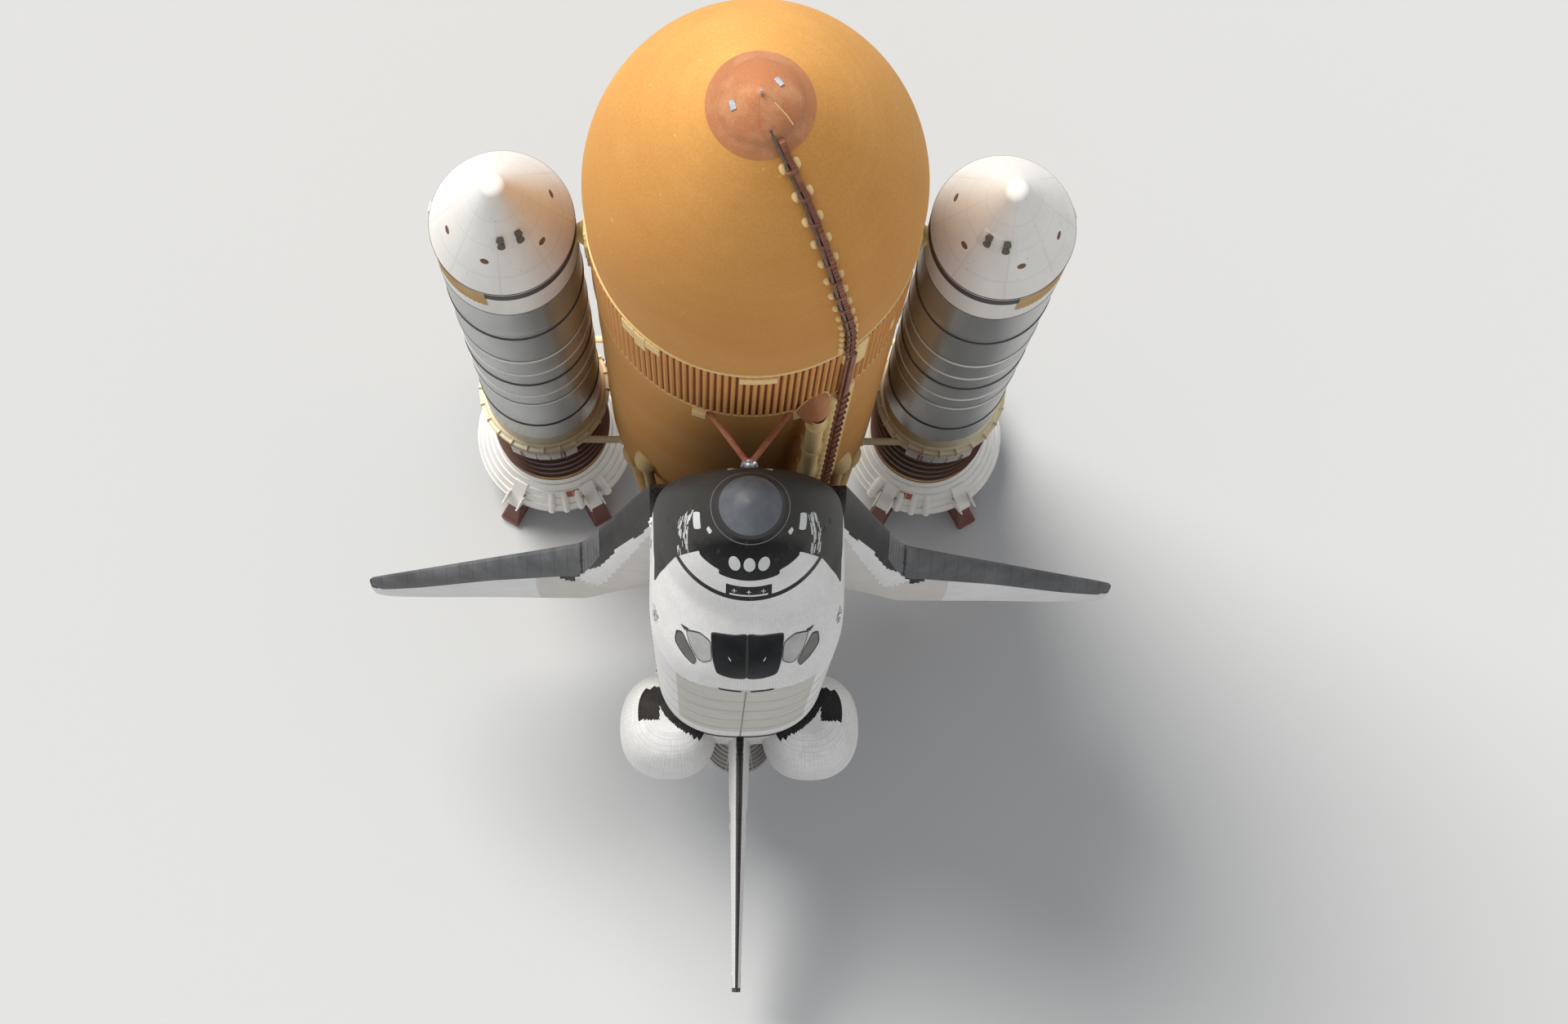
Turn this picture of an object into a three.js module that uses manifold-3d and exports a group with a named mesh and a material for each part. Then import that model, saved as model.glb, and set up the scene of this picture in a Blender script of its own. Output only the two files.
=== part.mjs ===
// A space shuttle as it stands before launch: a winged orbiter on the side of a foam covered tank,
// with a solid fuel booster on each flank, each booster standing on four cast hold-down posts.
// Sizes are real inches at the vehicle's own station numbers, which run aft from ahead of the nose.
// The last group turns the vehicle nose up and scales it to a half-size model in millimetres.
import * as THREE from "three";
import { mergeVertices } from "three/addons/utils/BufferGeometryUtils.js";
import Module from "manifold-3d";

const wasm = await Module();
wasm.setup();

// The model and its frame
const MM_PER_INCH = 25.4;
const MODEL_SCALE = 0.5;
const FLOOR_STATION = 2546; // tank station of the ground under the posts
const TANK_TO_ORIGIN = 293.55; // from the tank's axis to the middle of the whole, towards the orbiter
const SEAT_GAP = 0.03; // between fixed pieces that touch
const MOVE_GAP = 0.45; // beside a moving piece

// The tank
const TANK = { radius: 165.5, noseEnd: 371, ogiveEnd: 744.6, ogiveRadius: 612 };
const INTERTANK = { from: 852.8, to: 1123.2, ribs: 40, ribHeight: 2.6 };
const TANK_SIDES = 40;
const BOOSTER_SIDES = 28;
const HYDROGEN = { to: 2058, domeEnd: 2172 };
const LINES_ANGLE = 31; // degrees of the lines and tray, from the orbiter's side to starboard
const FEEDLINE = { x: 70, y: 167, radius: 9.5 };
const BIPOD = { station: 1131, foot: 46.5, radius: 3.2 };
const AFT_ATTACH = { station: 2058, x: 96.5, strut: 6.5, thrustFrom: 1871 };

// The boosters, at their own stations
const BOOSTER = { x: 250.5, stationOffset: 543, radius: 73 };
const BOOSTER_NOSE = { tip: 200, capEnd: 275, capRadius: 34, end: 395, tipRadius: 13 };
const BOOSTER_RING = { station: 1511, radius: 82, width: 14 };
const SKIRT = { from: 1837, to: 1930.6, radius: 106, wall: 4 };
const NOZZLE = { pivot: 1862, exit: 1990, exitRadius: 74.8, wall: 3, lug: 6 };
const POST = { angle: 30, inner: 94, depth: 20, baseDepth: 36, halfWidth: 10, baseHalfWidth: 13 };

// The orbiter, at its own stations: x to starboard, y up from the belly side, z aft
const ORBITER = { lift: -63.5, stationOffset: 741 };
const NOSE_CAP_END = 258;
const CABIN = { from: 385, to: 576, wall: 5, bottom: 300, skinX: 101.2 };
const BAY = { from: 582, to: 1307, sill: 420, radius: 97, centre: 400, doorWall: 4, hingeX: 104.8 };
const BASE_STATION = 1500;
const HATCH = { y: 350, z: 506, radius: 20, hinge: [-104.6, 327.5], pin: 1.3 };
const NOSE_DOORS = { from: 298, to: 374, halfWidth: 22, hingeInset: 2, sideGap: 1.1, wall: 2, well: 22 };
const MAIN_DOORS = { from: 1040, to: 1185, inner: 113, outer: 170, wall: 3, well: 28 };
const WING = { side: 105, bottom: 283, dihedral: 0.0612, hinge: 1387 };
const ELEVONS = [{ name: "inboard", from: 119.5, to: 311.5 }, { name: "outboard", from: 315, to: 450 }];
const FIN = { root: 503, top: 818.7, noseRoot: 1278, tailRoot: 1546.5, tailSlope: 0.4931, clip: 1309 };
const RUDDER = { from: 607, to: 793, tube: 0.6, cove: 1.25, chordShare: 0.6 };
const FLAP = { hinge: 1528, chord: 81, halfWidth: 114, shelf: 106, radius: 7.5, y: 287.5, lugX: 62 };
const MAIN_ENGINE = { length: 168, exitRadius: 45.4, throat: 13, wall: 2.4, swing: 10.5 };
const MAIN_ENGINES = [
  { name: "main_engine_top", x: 0, y: 443, z: 1445, up: 16, out: 0, ball: 64, rim: 41, mouth: 49 },
  { name: "main_engine_left", x: -53, y: 342.6, z: 1468, up: 10, out: -3.5, ball: 50, rim: 60, mouth: 38 },
  { name: "main_engine_right", x: 53, y: 342.6, z: 1468, up: 10, out: 3.5, ball: 50, rim: 60, mouth: 38 },
].map((spec) => ({ ...MAIN_ENGINE, ...spec }));
const POD_ENGINE = {
  x: 88, y: 486, z: 1512, up: 15.8, out: 6.5, ball: 24, rim: 79, mouth: 20,
  length: 77, exitRadius: 23, throat: 6, wall: 1.5, swing: 7,
};

const MATERIALS = {
  foam: { color: "#c9792c", roughness: 0.9 },
  primer: { color: "#b5623c", roughness: 0.7 },
  linefoam: { color: "#d9b36a", roughness: 0.85 },
  boosterwhite: { color: "#efeae2", roughness: 0.5 },
  boostercase: { color: "#a9aca8", roughness: 0.45 },
  post: { color: "#6b4038", roughness: 0.6 },
  nozzle: { color: "#3a3836", roughness: 0.7 },
  steel: { color: "#8d8f92", roughness: 0.35, metalness: 0.9 },
  carbon: { color: "#4c4f53", roughness: 0.5 },
  whitetile: { color: "#e9e6e1", roughness: 0.7 },
  blacktile: { color: "#1c1c1e", roughness: 0.6 },
  glass: { color: "#5a6064", roughness: 0.08 },
};

// Making solids

// A closed geometry as a solid, turned the right way out.
function toSolid(geometry) {
  const bare = new THREE.BufferGeometry();
  bare.setAttribute("position", geometry.getAttribute("position").clone());
  if (geometry.index) bare.setIndex(geometry.index.clone());
  const merged = mergeVertices(bare, 1e-4);
  const triVerts = new Uint32Array(merged.index.array);
  const vertProperties = new Float32Array(merged.attributes.position.array);
  const made = new wasm.Manifold(new wasm.Mesh({ numProp: 3, vertProperties, triVerts }));
  if (made.volume() > 0) return made;
  for (let i = 0; i < triVerts.length; i += 3) {
    [triVerts[i + 1], triVerts[i + 2]] = [triVerts[i + 2], triVerts[i + 1]];
  }
  return new wasm.Manifold(new wasm.Mesh({ numProp: 3, vertProperties, triVerts }));
}

// A solid as a three.js geometry.
function toGeometry(solid) {
  const mesh = solid.getMesh();
  const places = new Float32Array(mesh.numVert * 3);
  for (let i = 0; i < mesh.numVert; i++) {
    places.set(mesh.vertProperties.subarray(i * mesh.numProp, i * mesh.numProp + 3), i * 3);
  }
  const geometry = new THREE.BufferGeometry();
  geometry.setAttribute("position", new THREE.BufferAttribute(places, 3));
  geometry.setIndex(new THREE.BufferAttribute(new Uint32Array(mesh.triVerts), 1));
  return geometry;
}

// A solid skin through rings of points that have the same count, closed by a fan at each end.
// Its facets mirror each other about the plane x = 0 where its rings do.
function loft(rings) {
  const count = rings[0].length;
  const places = rings.flat(2);
  const triangles = [];
  for (let i = 0; i < rings.length - 1; i++) {
    for (let j = 0; j < count; j++) {
      const a = i * count + j;
      const b = i * count + ((j + 1) % count);
      const left = j >= count / 4 && j < (3 * count) / 4;
      const [c, d] = [a + count, b + count];
      triangles.push(...(left ? [a, b, c, b, d, c] : [a, b, d, a, d, c]));
    }
  }
  [0, rings.length - 1].forEach((end, side) => {
    const ring = rings[end];
    const middle = [0, 1, 2].map((k) => ring.reduce((sum, p) => sum + p[k], 0) / count);
    const hub = places.push(...middle) / 3 - 1;
    for (let j = 0; j < count; j++) {
      const a = end * count + j;
      const b = end * count + ((j + 1) % count);
      triangles.push(hub, ...(side ? [a, b] : [b, a]));
    }
  });
  const geometry = new THREE.BufferGeometry();
  geometry.setAttribute("position", new THREE.Float32BufferAttribute(places, 3));
  geometry.setIndex(triangles);
  return toSolid(geometry);
}

// A solid turned about z, from a profile of [radius, z] that ends on the axis or closes on itself.
function turned(profile, sides, matrix = new THREE.Matrix4()) {
  const geometry = new THREE.LatheGeometry(profile.map(([r, z]) => new THREE.Vector2(r, z)), sides);
  return toSolid(geometry.rotateX(Math.PI / 2).applyMatrix4(matrix));
}

// An outline drawn across one axis and run along it. The outline gives the other two axes in their order.
function slab(axis, outline, from, to) {
  const shape = new THREE.Shape(outline.map(([u, v]) => new THREE.Vector2(u, v)));
  const geometry = new THREE.ExtrudeGeometry(shape, { depth: to - from, bevelEnabled: false });
  geometry.translate(0, 0, from);
  const places = geometry.getAttribute("position");
  for (let i = 0; i < places.count; i++) {
    const [u, v, w] = [places.getX(i), places.getY(i), places.getZ(i)];
    places.setXYZ(i, ...{ x: [w, u, v], y: [u, w, v], z: [u, v, w] }[axis]);
  }
  return toSolid(geometry);
}

function box([x0, y0, z0], [x1, y1, z1]) {
  const geometry = new THREE.BoxGeometry(x1 - x0, y1 - y0, z1 - z0);
  return toSolid(geometry.translate((x0 + x1) / 2, (y0 + y1) / 2, (z0 + z1) / 2));
}

// A round bar from a to b, which may taper. Its facets can be turned by a share of one facet.
function bar(a, b, radiusA, radiusB = radiusA, sides = 12, phase = 0) {
  const [from, to] = [new THREE.Vector3(...a), new THREE.Vector3(...b)];
  const along = to.clone().sub(from);
  const start = (2 * Math.PI * phase) / sides;
  const geometry = new THREE.CylinderGeometry(radiusB, radiusA, along.length(), sides, 1, false, start);
  const direction = along.clone().normalize();
  const turn = new THREE.Quaternion().setFromUnitVectors(new THREE.Vector3(0, 1, 0), direction);
  const middle = from.add(to).multiplyScalar(0.5);
  const place = new THREE.Matrix4().compose(middle, turn, new THREE.Vector3(1, 1, 1));
  return toSolid(geometry.applyMatrix4(place));
}

function ball([x, y, z], radius, sides = 12) {
  return toSolid(new THREE.SphereGeometry(radius, sides, Math.round(sides / 2)).translate(x, y, z));
}

// A tube along a smooth path through points.
function tube(points, radius, sides, steps) {
  const path = new THREE.CatmullRomCurve3(points.map((p) => new THREE.Vector3(...p)), false, "centripetal");
  const section = Array.from({ length: sides }, (_, i) => {
    const angle = (2 * Math.PI * (i + 0.5)) / sides;
    return new THREE.Vector2(radius * Math.cos(angle), radius * Math.sin(angle));
  });
  const settings = { steps, bevelEnabled: false, extrudePath: path };
  return toSolid(new THREE.ExtrudeGeometry(new THREE.Shape(section), settings));
}

// A short journal on a hinge line, from a towards b, that ends a seat's gap short of b.
function journal(a, b, radius) {
  const [from, to] = [new THREE.Vector3(...a), new THREE.Vector3(...b)];
  const end = to.add(from.clone().sub(to).setLength(SEAT_GAP));
  return bar(a, end.toArray(), radius, radius, 8);
}

const joined = (solids) => solids.reduce((whole, solid) => whole.add(solid));
const mirrored = (outline) => outline.map(([x, ...rest]) => [-x, ...rest]).reverse();
const radians = THREE.MathUtils.degToRad;

// The vehicle's groups
const stack = new THREE.Group();
const orbiter = new THREE.Group();
orbiter.position.set(0, ORBITER.lift, ORBITER.stationOffset);
stack.add(orbiter);

// A geometry without the slivers that a cut can leave: points closer than a hair are made one point.
function withoutSlivers(geometry, hair = 0.006) {
  const { array, count } = geometry.getAttribute("position");
  const apart = (i, j) => Math.hypot(...[0, 1, 2].map((k) => array[3 * i + k] - array[3 * j + k]));
  const kept = [];
  const same = Array.from({ length: count }, (_, i) => {
    const found = kept.find((j) => apart(i, j) < hair);
    if (found === undefined) kept.push(i);
    return found ?? i;
  });
  const corners = Array.from(geometry.index.array, (i) => same[i]);
  const whole = corners.flatMap((a, i) => {
    const [b, c] = [corners[i + 1], corners[i + 2]];
    return i % 3 === 0 && a !== b && b !== c && c !== a ? [a, b, c] : [];
  });
  return geometry.setIndex(whole);
}

function addMesh(group, name, solid, material) {
  const finish = new THREE.MeshStandardMaterial(MATERIALS[material]);
  const mesh = new THREE.Mesh(withoutSlivers(toGeometry(solid)), finish);
  mesh.name = name;
  group.add(mesh);
  return mesh;
}

// The orbiter's outer form

// The body's sections.
// Columns: station, bottom, widest height, top, half width, roundness above, roundness below.
const BODY = [
  [236, 333, 338, 343, 5, 2, 2],
  [239, 322, 338, 354, 16, 2, 2],
  [246, 314, 338, 363, 25, 2, 2],
  [258, 306.5, 338, 373, 35.5, 2, 2.05],
  [276, 300, 337, 385, 48, 2, 2.15],
  [300, 295, 336, 397, 61, 2, 2.3],
  [340, 289.5, 335, 412, 76, 2, 2.7],
  [380, 286, 335, 424, 87, 2, 3.2],
  [425, 284.5, 337, 435, 95.5, 2, 3.8],
  [460, 283.8, 344, 455, 99.5, 2.2, 4.3],
  [498, 283.3, 358, 482, 102.3, 2.35, 4.8],
  [530, 283, 376, 495, 104, 2.45, 5.3],
  [582, 283, 400, 502, 105, 2.55, 6],
  [1307, 283, 400, 502, 105, 2.55, 6],
  [1400, 281, 400, 502, 107, 2.55, 6],
  [1500, 279, 400, 500, 110, 2.55, 6],
];
const BODY_POINTS = 32;

function bodySection(station) {
  const next = Math.min(Math.max(BODY.findIndex((row) => row[0] >= station), 1), BODY.length - 1);
  const [a, b] = [BODY[next - 1], BODY[next]];
  const share = (station - a[0]) / (b[0] - a[0]);
  return a.map((value, i) => value + share * (b[i] - value));
}

// One ring of the body: a superellipse half above the widest height and another below it.
function bodyRing(station, grow = 0) {
  const [, bottom, middle, top, width, roundAbove, roundBelow] = bodySection(station);
  return Array.from({ length: BODY_POINTS }, (_, i) => {
    const angle = (2 * Math.PI * i) / BODY_POINTS;
    const [c, s] = [Math.cos(angle), Math.sin(angle)];
    const power = 2 / (s >= 0 ? roundAbove : roundBelow);
    const height = (s >= 0 ? top - middle : middle - bottom) + grow;
    const [across, up] = [c, s].map((v) => Math.sign(v) * Math.abs(v) ** power);
    return [(width + grow) * across, middle + height * up, station];
  });
}

// The belly's height at a distance from the middle.
function bellyAt(x, station) {
  const [, bottom, middle, , width, , roundBelow] = bodySection(station);
  return middle - (middle - bottom) * (1 - (x / width) ** roundBelow) ** (1 / roundBelow);
}

// The body's outer form between two stations, made larger all round by grow.
function body(from, to, grow = 0) {
  const between = BODY.map((row) => row[0]).filter((station) => station > from + 0.5 && station < to - 0.5);
  return loft([from, ...between, to].map((station) => bodyRing(station, grow)));
}

// The whole body's form in the stack's frame, to trim what meets it.
function bodyInStack(grow) {
  const form = toGeometry(body(NOSE_CAP_END, BASE_STATION, grow));
  return toSolid(form.translate(0, ORBITER.lift, ORBITER.stationOffset));
}

// The tank: an ogive oxygen tank, a ribbed intertank and a long hydrogen tank, end to end

function ogiveRadiusAt(station) {
  const along = TANK.ogiveEnd - station;
  return Math.sqrt(TANK.ogiveRadius ** 2 - along ** 2) - (TANK.ogiveRadius - TANK.radius);
}

function ogive(from, grow) {
  return Array.from({ length: 7 }, (_, i) => {
    const station = from + ((TANK.ogiveEnd - from) * i) / 6;
    return [ogiveRadiusAt(station) + grow, station];
  });
}

function dome(grow) {
  return Array.from({ length: 6 }, (_, i) => {
    const angle = (Math.PI / 2) * (i / 5);
    const depth = HYDROGEN.domeEnd - HYDROGEN.to + grow;
    return [i < 5 ? (TANK.radius + grow) * Math.cos(angle) : 0, HYDROGEN.to + depth * Math.sin(angle)];
  });
}

// The intertank's skin is stiffened by ribs along it. Columns of a rib: share of its pitch, of its height.
const RIB = [[0, 0], [0.2, 1], [0.6, 1], [0.8, 0]];

function ribOutline(grow) {
  const ribAt = (i) => RIB.map(([share, height]) => {
    const angle = (2 * Math.PI * (i + share)) / INTERTANK.ribs;
    const radius = TANK.radius + height * INTERTANK.ribHeight + grow;
    return [radius * Math.cos(angle), radius * Math.sin(angle)];
  });
  return Array.from({ length: INTERTANK.ribs }, (_, i) => ribAt(i)).flat();
}

// The whole tank's form, larger by the gap that its fittings keep.
function tankForm() {
  const start = TANK.noseEnd + SEAT_GAP;
  const smooth = turned([[0, start - 40], ...ogive(start, SEAT_GAP), ...dome(SEAT_GAP)], TANK_SIDES);
  const [from, to] = [INTERTANK.from - SEAT_GAP, INTERTANK.to + SEAT_GAP];
  return smooth.add(slab("z", ribOutline(SEAT_GAP), from, to));
}

function oxygenTank() {
  const start = TANK.noseEnd + SEAT_GAP;
  const end = INTERTANK.from - SEAT_GAP;
  return turned([[0, start], ...ogive(start, 0), [TANK.radius, end], [0, end]], TANK_SIDES);
}

// The nose cap is a cone with a rod at its tip and a fairing over the end of the gas line.
function tankNoseCap() {
  const { noseEnd } = TANK;
  const radius = ogiveRadiusAt(noseEnd);
  const cone = turned([[0, noseEnd], [radius, noseEnd], [10, 342], [2, 336], [1.2, 322.5], [0, 322.5]], 32);
  const side = radians(LINES_ANGLE);
  const foot = [0.8 * radius * Math.sin(side), 0.8 * radius * Math.cos(side), noseEnd - 8];
  return cone.add(bar([0, 0, 348], foot, 4, 9, 6).subtract(box([-60, -60, noseEnd], [60, 60, noseEnd + 50])));
}

// The intertank carries the boosters' forward thrust fittings.
function intertank() {
  const skin = slab("z", ribOutline(0), INTERTANK.from, INTERTANK.to);
  const reach = BOOSTER.x - BOOSTER.radius - SEAT_GAP;
  const fitting = (side) => bar([side * 140, 0, 985], [side * reach, 0, 985], 24, 9, 8);
  return joined([skin, fitting(-1), fitting(1)]);
}

function hydrogenTank() {
  const start = INTERTANK.to + SEAT_GAP;
  return turned([[0, start], [TANK.radius, start], ...dome(0)], TANK_SIDES);
}

// A point near the tank's skin at an angle to starboard of the orbiter's side.
function besideTank(station, angle, lift) {
  const radius = (station < TANK.ogiveEnd ? ogiveRadiusAt(station) : TANK.radius) + lift;
  return [radius * Math.sin(radians(angle)), radius * Math.cos(radians(angle)), station];
}

// A rectangular tray and a round gas line side by side, carried off the skin by brackets.
function lineTray(stations, brackets, lift) {
  const route = (turn, height) => stations.map((s) => besideTank(s, LINES_ANGLE + turn, lift + height));
  const steps = stations.length * 2 - 2;
  const tray = tube(route(1.4, 6), 4.4, 4, steps);
  const line = tube(route(-1.4, 5), 1.8, 5, steps);
  const foot = (s, height) => besideTank(s, LINES_ANGLE - 0.2, height);
  const blocks = brackets.map((s) => bar(foot(s, -4), foot(s, lift + 5), 7, 6, 4));
  return joined([tray, line, ...blocks]).subtract(tankForm());
}

function upperTray() {
  const brackets = Array.from({ length: 9 }, (_, i) => 402 + i * 53);
  return lineTray([378, 440, 520, 620, 730, 850], brackets, 0);
}

function lowerTray() {
  const brackets = Array.from({ length: 11 }, (_, i) => 880 + i * 112);
  return lineTray([856, 1120, 1500, 2020], brackets, INTERTANK.ribHeight + 1);
}

// The oxygen feedline leaves the intertank in a fairing, runs down the tank and turns into the belly.
function feedline() {
  const { x, y, radius } = FEEDLINE;
  const belly = WING.bottom + ORBITER.lift - SEAT_GAP;
  const straight = bar([x, y, 1112], [x, y, 2046], radius, radius, 10);
  const bend = [[x, y, 2040], [x, y + 3, 2060], [x, y + 20, 2084], [x, belly - 6, 2094]];
  const turn = tube(bend, radius, 10, 6);
  const fairing = bar([x - 6, y - 28, 1070], [x, y + 1, 1122], 5, 15, 8);
  const collar = (s) => bar([x, y, s], [x, y, s + 8], radius + 2, radius + 2, 10);
  const collars = [1300, 1500, 1700, 1900].map(collar);
  const stands = [1400, 1800].map((s) => box([x - 5, y - 30, s], [x + 5, y - 4, s + 10]));
  const plate = box([x - 24, belly - 14, 2070], [x + 24, belly, 2132]);
  const whole = joined([straight, turn, fairing, ...collars, ...stands, plate]);
  return whole.subtract(tankForm()).subtract(bodyInStack(SEAT_GAP));
}

// Two struts meet in a yoke that holds the orbiter's nose.
function bipod() {
  const head = [0, 217, BIPOD.station - 2];
  const feet = [-1, 1].map((side) => [side * BIPOD.foot, 152, BIPOD.station]);
  const struts = feet.map((foot) => bar(foot, head, BIPOD.radius, BIPOD.radius, 8));
  const blocks = feet.map(([x, y, z]) => bar([x, y - 6, z + 6], [x, y + 14, z + 6], 11, 8, 6));
  const post = bar([0, 212, head[2]], [0, 232, head[2]], 5, 6, 8);
  const whole = joined([...struts, ...blocks, ball(head, 6.5, 8), post]);
  return whole.subtract(tankForm()).subtract(bodyInStack(SEAT_GAP));
}

// The aft attachment: thrust struts along the tank, upright struts, a crossbeam, and the hydrogen line
// with its plate.
function aftAttachment() {
  const { x, strut, thrustFrom } = AFT_ATTACH;
  const middle = AFT_ATTACH.station - 3;
  const belly = WING.bottom + ORBITER.lift - SEAT_GAP;
  const pieces = [-1, 1].flatMap((side) => [
    bar([side * 118, 116, thrustFrom], [side * x, 200, middle], strut, strut, 10),
    bar([side * 118, 112, thrustFrom - 34], [side * 118, 118, thrustFrom + 12], 12, 14, 6),
    bar([side * 138, 84, middle], [side * x, 200, middle], strut, strut, 8),
    bar([side * x, 188, middle], [side * x, belly, middle], 9, 9, 8),
  ]);
  const beam = bar([-x, 194, middle], [x, 194, middle], 7, 7, 8);
  const line = tube([[-40, 60, 2150], [-66, 120, 2160], [-70, 168, 2140], [-70, belly - 8, 2112]], 9, 10, 8);
  const plate = box([-94, belly - 14, 2070], [-46, belly, 2132]);
  const link = bar([-70, 198, middle], [-70, belly - 10, 2076], 5, 5, 6);
  const whole = joined([...pieces, beam, line, plate, link]);
  return whole.subtract(tankForm()).subtract(bodyInStack(SEAT_GAP));
}

addMesh(stack, "oxygen_tank", oxygenTank(), "foam");
addMesh(stack, "tank_nose_cap", tankNoseCap(), "primer");
addMesh(stack, "intertank", intertank(), "foam");
addMesh(stack, "hydrogen_tank", hydrogenTank(), "foam");
addMesh(stack, "upper_line_tray", upperTray(), "primer");
addMesh(stack, "lower_line_tray", lowerTray(), "linefoam");
addMesh(stack, "oxygen_feedline", feedline(), "linefoam");
addMesh(stack, "bipod", bipod(), "primer");
addMesh(stack, "aft_attachment", aftAttachment(), "linefoam");

// The boosters

function boosterNose() {
  const { tip, capEnd, capRadius, tipRadius } = BOOSTER_NOSE;
  const end = BOOSTER_NOSE.end - SEAT_GAP;
  const point = (angle) => [tipRadius * Math.sin(angle), tip + tipRadius * (1 - Math.cos(angle))];
  const round = [30, 68].map(radians).map(point);
  return turned([[0, tip], ...round, [capRadius, capEnd], [BOOSTER.radius, end], [0, end]], BOOSTER_SIDES);
}

function boosterCase() {
  const { radius } = BOOSTER;
  const end = SKIRT.from - SEAT_GAP;
  const start = BOOSTER_NOSE.end;
  const shell = turned([[0, start], [radius, start], [radius, end], [0, end]], BOOSTER_SIDES);
  const half = NOZZLE.lug - SEAT_GAP;
  return shell.add(box([-half, -10, end - 5], [half, 10, NOZZLE.pivot + 4]));
}

// The attachment ring and the three struts from it to the tank.
function boosterRing(side) {
  const { station, radius, width } = BOOSTER_RING;
  const inner = BOOSTER.radius + SEAT_GAP;
  const drum = (from, to, outer) => turned([[0, from], [outer, from], [outer, to], [0, to]], BOOSTER_SIDES);
  const disc = drum(station - width / 2, station + width / 2, radius);
  const toTank = ([x, y]) => [side * (x - BOOSTER.x), y, station];
  const ends = [[[222, 64], [146, 64]], [[222, -64], [146, -64]], [[222, 58], [152, -52]]];
  const struts = ends.map(([a, b]) => bar(toTank(a), toTank(b), 4.5, 4.5, 8));
  const ownCase = drum(station - width, station + width, inner);
  const offset = new THREE.Matrix4().makeTranslation(-side * BOOSTER.x, 0, -BOOSTER.stationOffset);
  const tank = toSolid(toGeometry(tankForm()).applyMatrix4(offset));
  return joined([disc, ...struts]).subtract(ownCase).subtract(tank);
}

// The aft skirt: a flared shell with four hold-down forgings and four separation motors, which sit on
// the side that faces the orbiter. Columns of a motor: degrees inboard of the orbiter's side, radius.
const SKIRT_MOTORS = [[-2, 5], [9, 5], [20, 5], [42, 6.4]];

function aftSkirt(side) {
  const { from, to, radius, wall } = SKIRT;
  const top = BOOSTER.radius + 1;
  const inside = [[top - wall, from], [radius - wall, to]];
  const shell = turned([inside[0], [top, from], [radius, to], ...inside.toReversed()], BOOSTER_SIDES);
  const forging = slab("x", [[96, to], [114, to], [114, to - 10], [88, to - 62], [80, to - 62]], -9, 9);
  const forgings = postAngles().map((angle) => turnedAbout(forging, angle));
  const motors = SKIRT_MOTORS.map(([degrees, thick]) => {
    const angle = radians(degrees);
    const at = (reach, z) => [-side * reach * Math.sin(angle), reach * Math.cos(angle), z];
    return bar(at(83, to - 56), at(106, to - 10), thick, thick, 8);
  });
  const profile = [[0, from - 5], [top - wall, from - 5], ...inside, [radius - wall, to + 5], [0, to + 5]];
  const hollow = turned(profile, BOOSTER_SIDES);
  const below = box([-200, -200, from], [200, 200, to + 1]);
  return joined([shell, ...forgings, ...motors]).subtract(hollow.intersect(below));
}

const postAngles = () => [POST.angle, -POST.angle, 180 - POST.angle, 180 + POST.angle];

// A solid turned about the z axis by degrees.
function turnedAbout(solid, degrees) {
  return toSolid(toGeometry(solid).rotateZ(radians(degrees)));
}

function boosterNozzle() {
  const { pivot, exit, exitRadius, wall } = NOZZLE;
  const shape = [[0, -22], [36, -20], [32, 12], [52, 64], [exitRadius, exit - pivot]];
  const inner = [[exitRadius - wall, exit - pivot], [49, 64], [26, 16], [0, 16]];
  return turned([...shape, ...inner], 24).subtract(box([-NOZZLE.lug, -20, -25], [NOZZLE.lug, 20, 10]));
}

function holdDownPost() {
  const { inner, depth, baseDepth, halfWidth, baseHalfWidth } = POST;
  const corners = (half, outer) => [[-half, inner], [half, inner], [half, outer], [-half, outer]];
  const ring = (z, deep, half) => corners(half, inner + deep).map(([x, y]) => [x, y, z]);
  const top = SKIRT.to + SEAT_GAP + BOOSTER.stationOffset;
  const head = [top, top + 14].map((z) => ring(z, depth, halfWidth));
  const base = [FLOOR_STATION - 14, FLOOR_STATION].map((z) => ring(z, baseDepth, baseHalfWidth));
  return loft([...head, ...base]);
}

[["left", -1], ["right", 1]].forEach(([name, side]) => {
  const booster = new THREE.Group();
  booster.position.set(side * BOOSTER.x, 0, BOOSTER.stationOffset);
  stack.add(booster);
  addMesh(booster, `booster_nose_${name}`, boosterNose(), "boosterwhite");
  addMesh(booster, `booster_case_${name}`, boosterCase(), "boostercase");
  addMesh(booster, `booster_ring_${name}`, boosterRing(side), "boosterwhite");
  addMesh(booster, `aft_skirt_${name}`, aftSkirt(side), "boosterwhite");
  const nozzle = addMesh(booster, `booster_nozzle_${name}`, boosterNozzle(), "nozzle");
  nozzle.position.z = NOZZLE.pivot;
  postAngles().forEach((angle, i) => {
    const post = addMesh(booster, `hold_down_post_${name}_${i + 1}`, holdDownPost(), "post");
    post.position.z = -BOOSTER.stationOffset;
    post.rotation.z = radians(angle);
  });
});

// The orbiter's body

// Window outlines in plan, as [x, z] on the starboard side, from the middle outwards.
const WINDOWS = [
  [[2, 467], [37, 463.5], [34, 515], [2, 523]],
  [[40.5, 474.5], [50, 469.5], [68, 477], [57, 493.5], [50, 507], [38.5, 497.5]],
  [[71, 484], [76.5, 491], [78, 506], [59, 520], [55.5, 509.5]],
  [[8, 549], [29, 549], [29, 568], [8, 568]],
];
// The span of stations that holds them.
const GLAZED = { from: 453, to: 574 };

// An outline drawn in or out from its middle by a distance.
function resized(outline, grow) {
  const middle = [0, 1].map((k) => outline.reduce((sum, p) => sum + p[k], 0) / outline.length);
  return outline.map((p) => {
    const away = [p[0] - middle[0], p[1] - middle[1]];
    const share = 1 + grow / Math.hypot(...away);
    return [middle[0] + away[0] * share, middle[1] + away[1] * share];
  });
}

const windowPrism = (outline, grow) => slab("y", resized(outline, grow), 340, 520);

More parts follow.
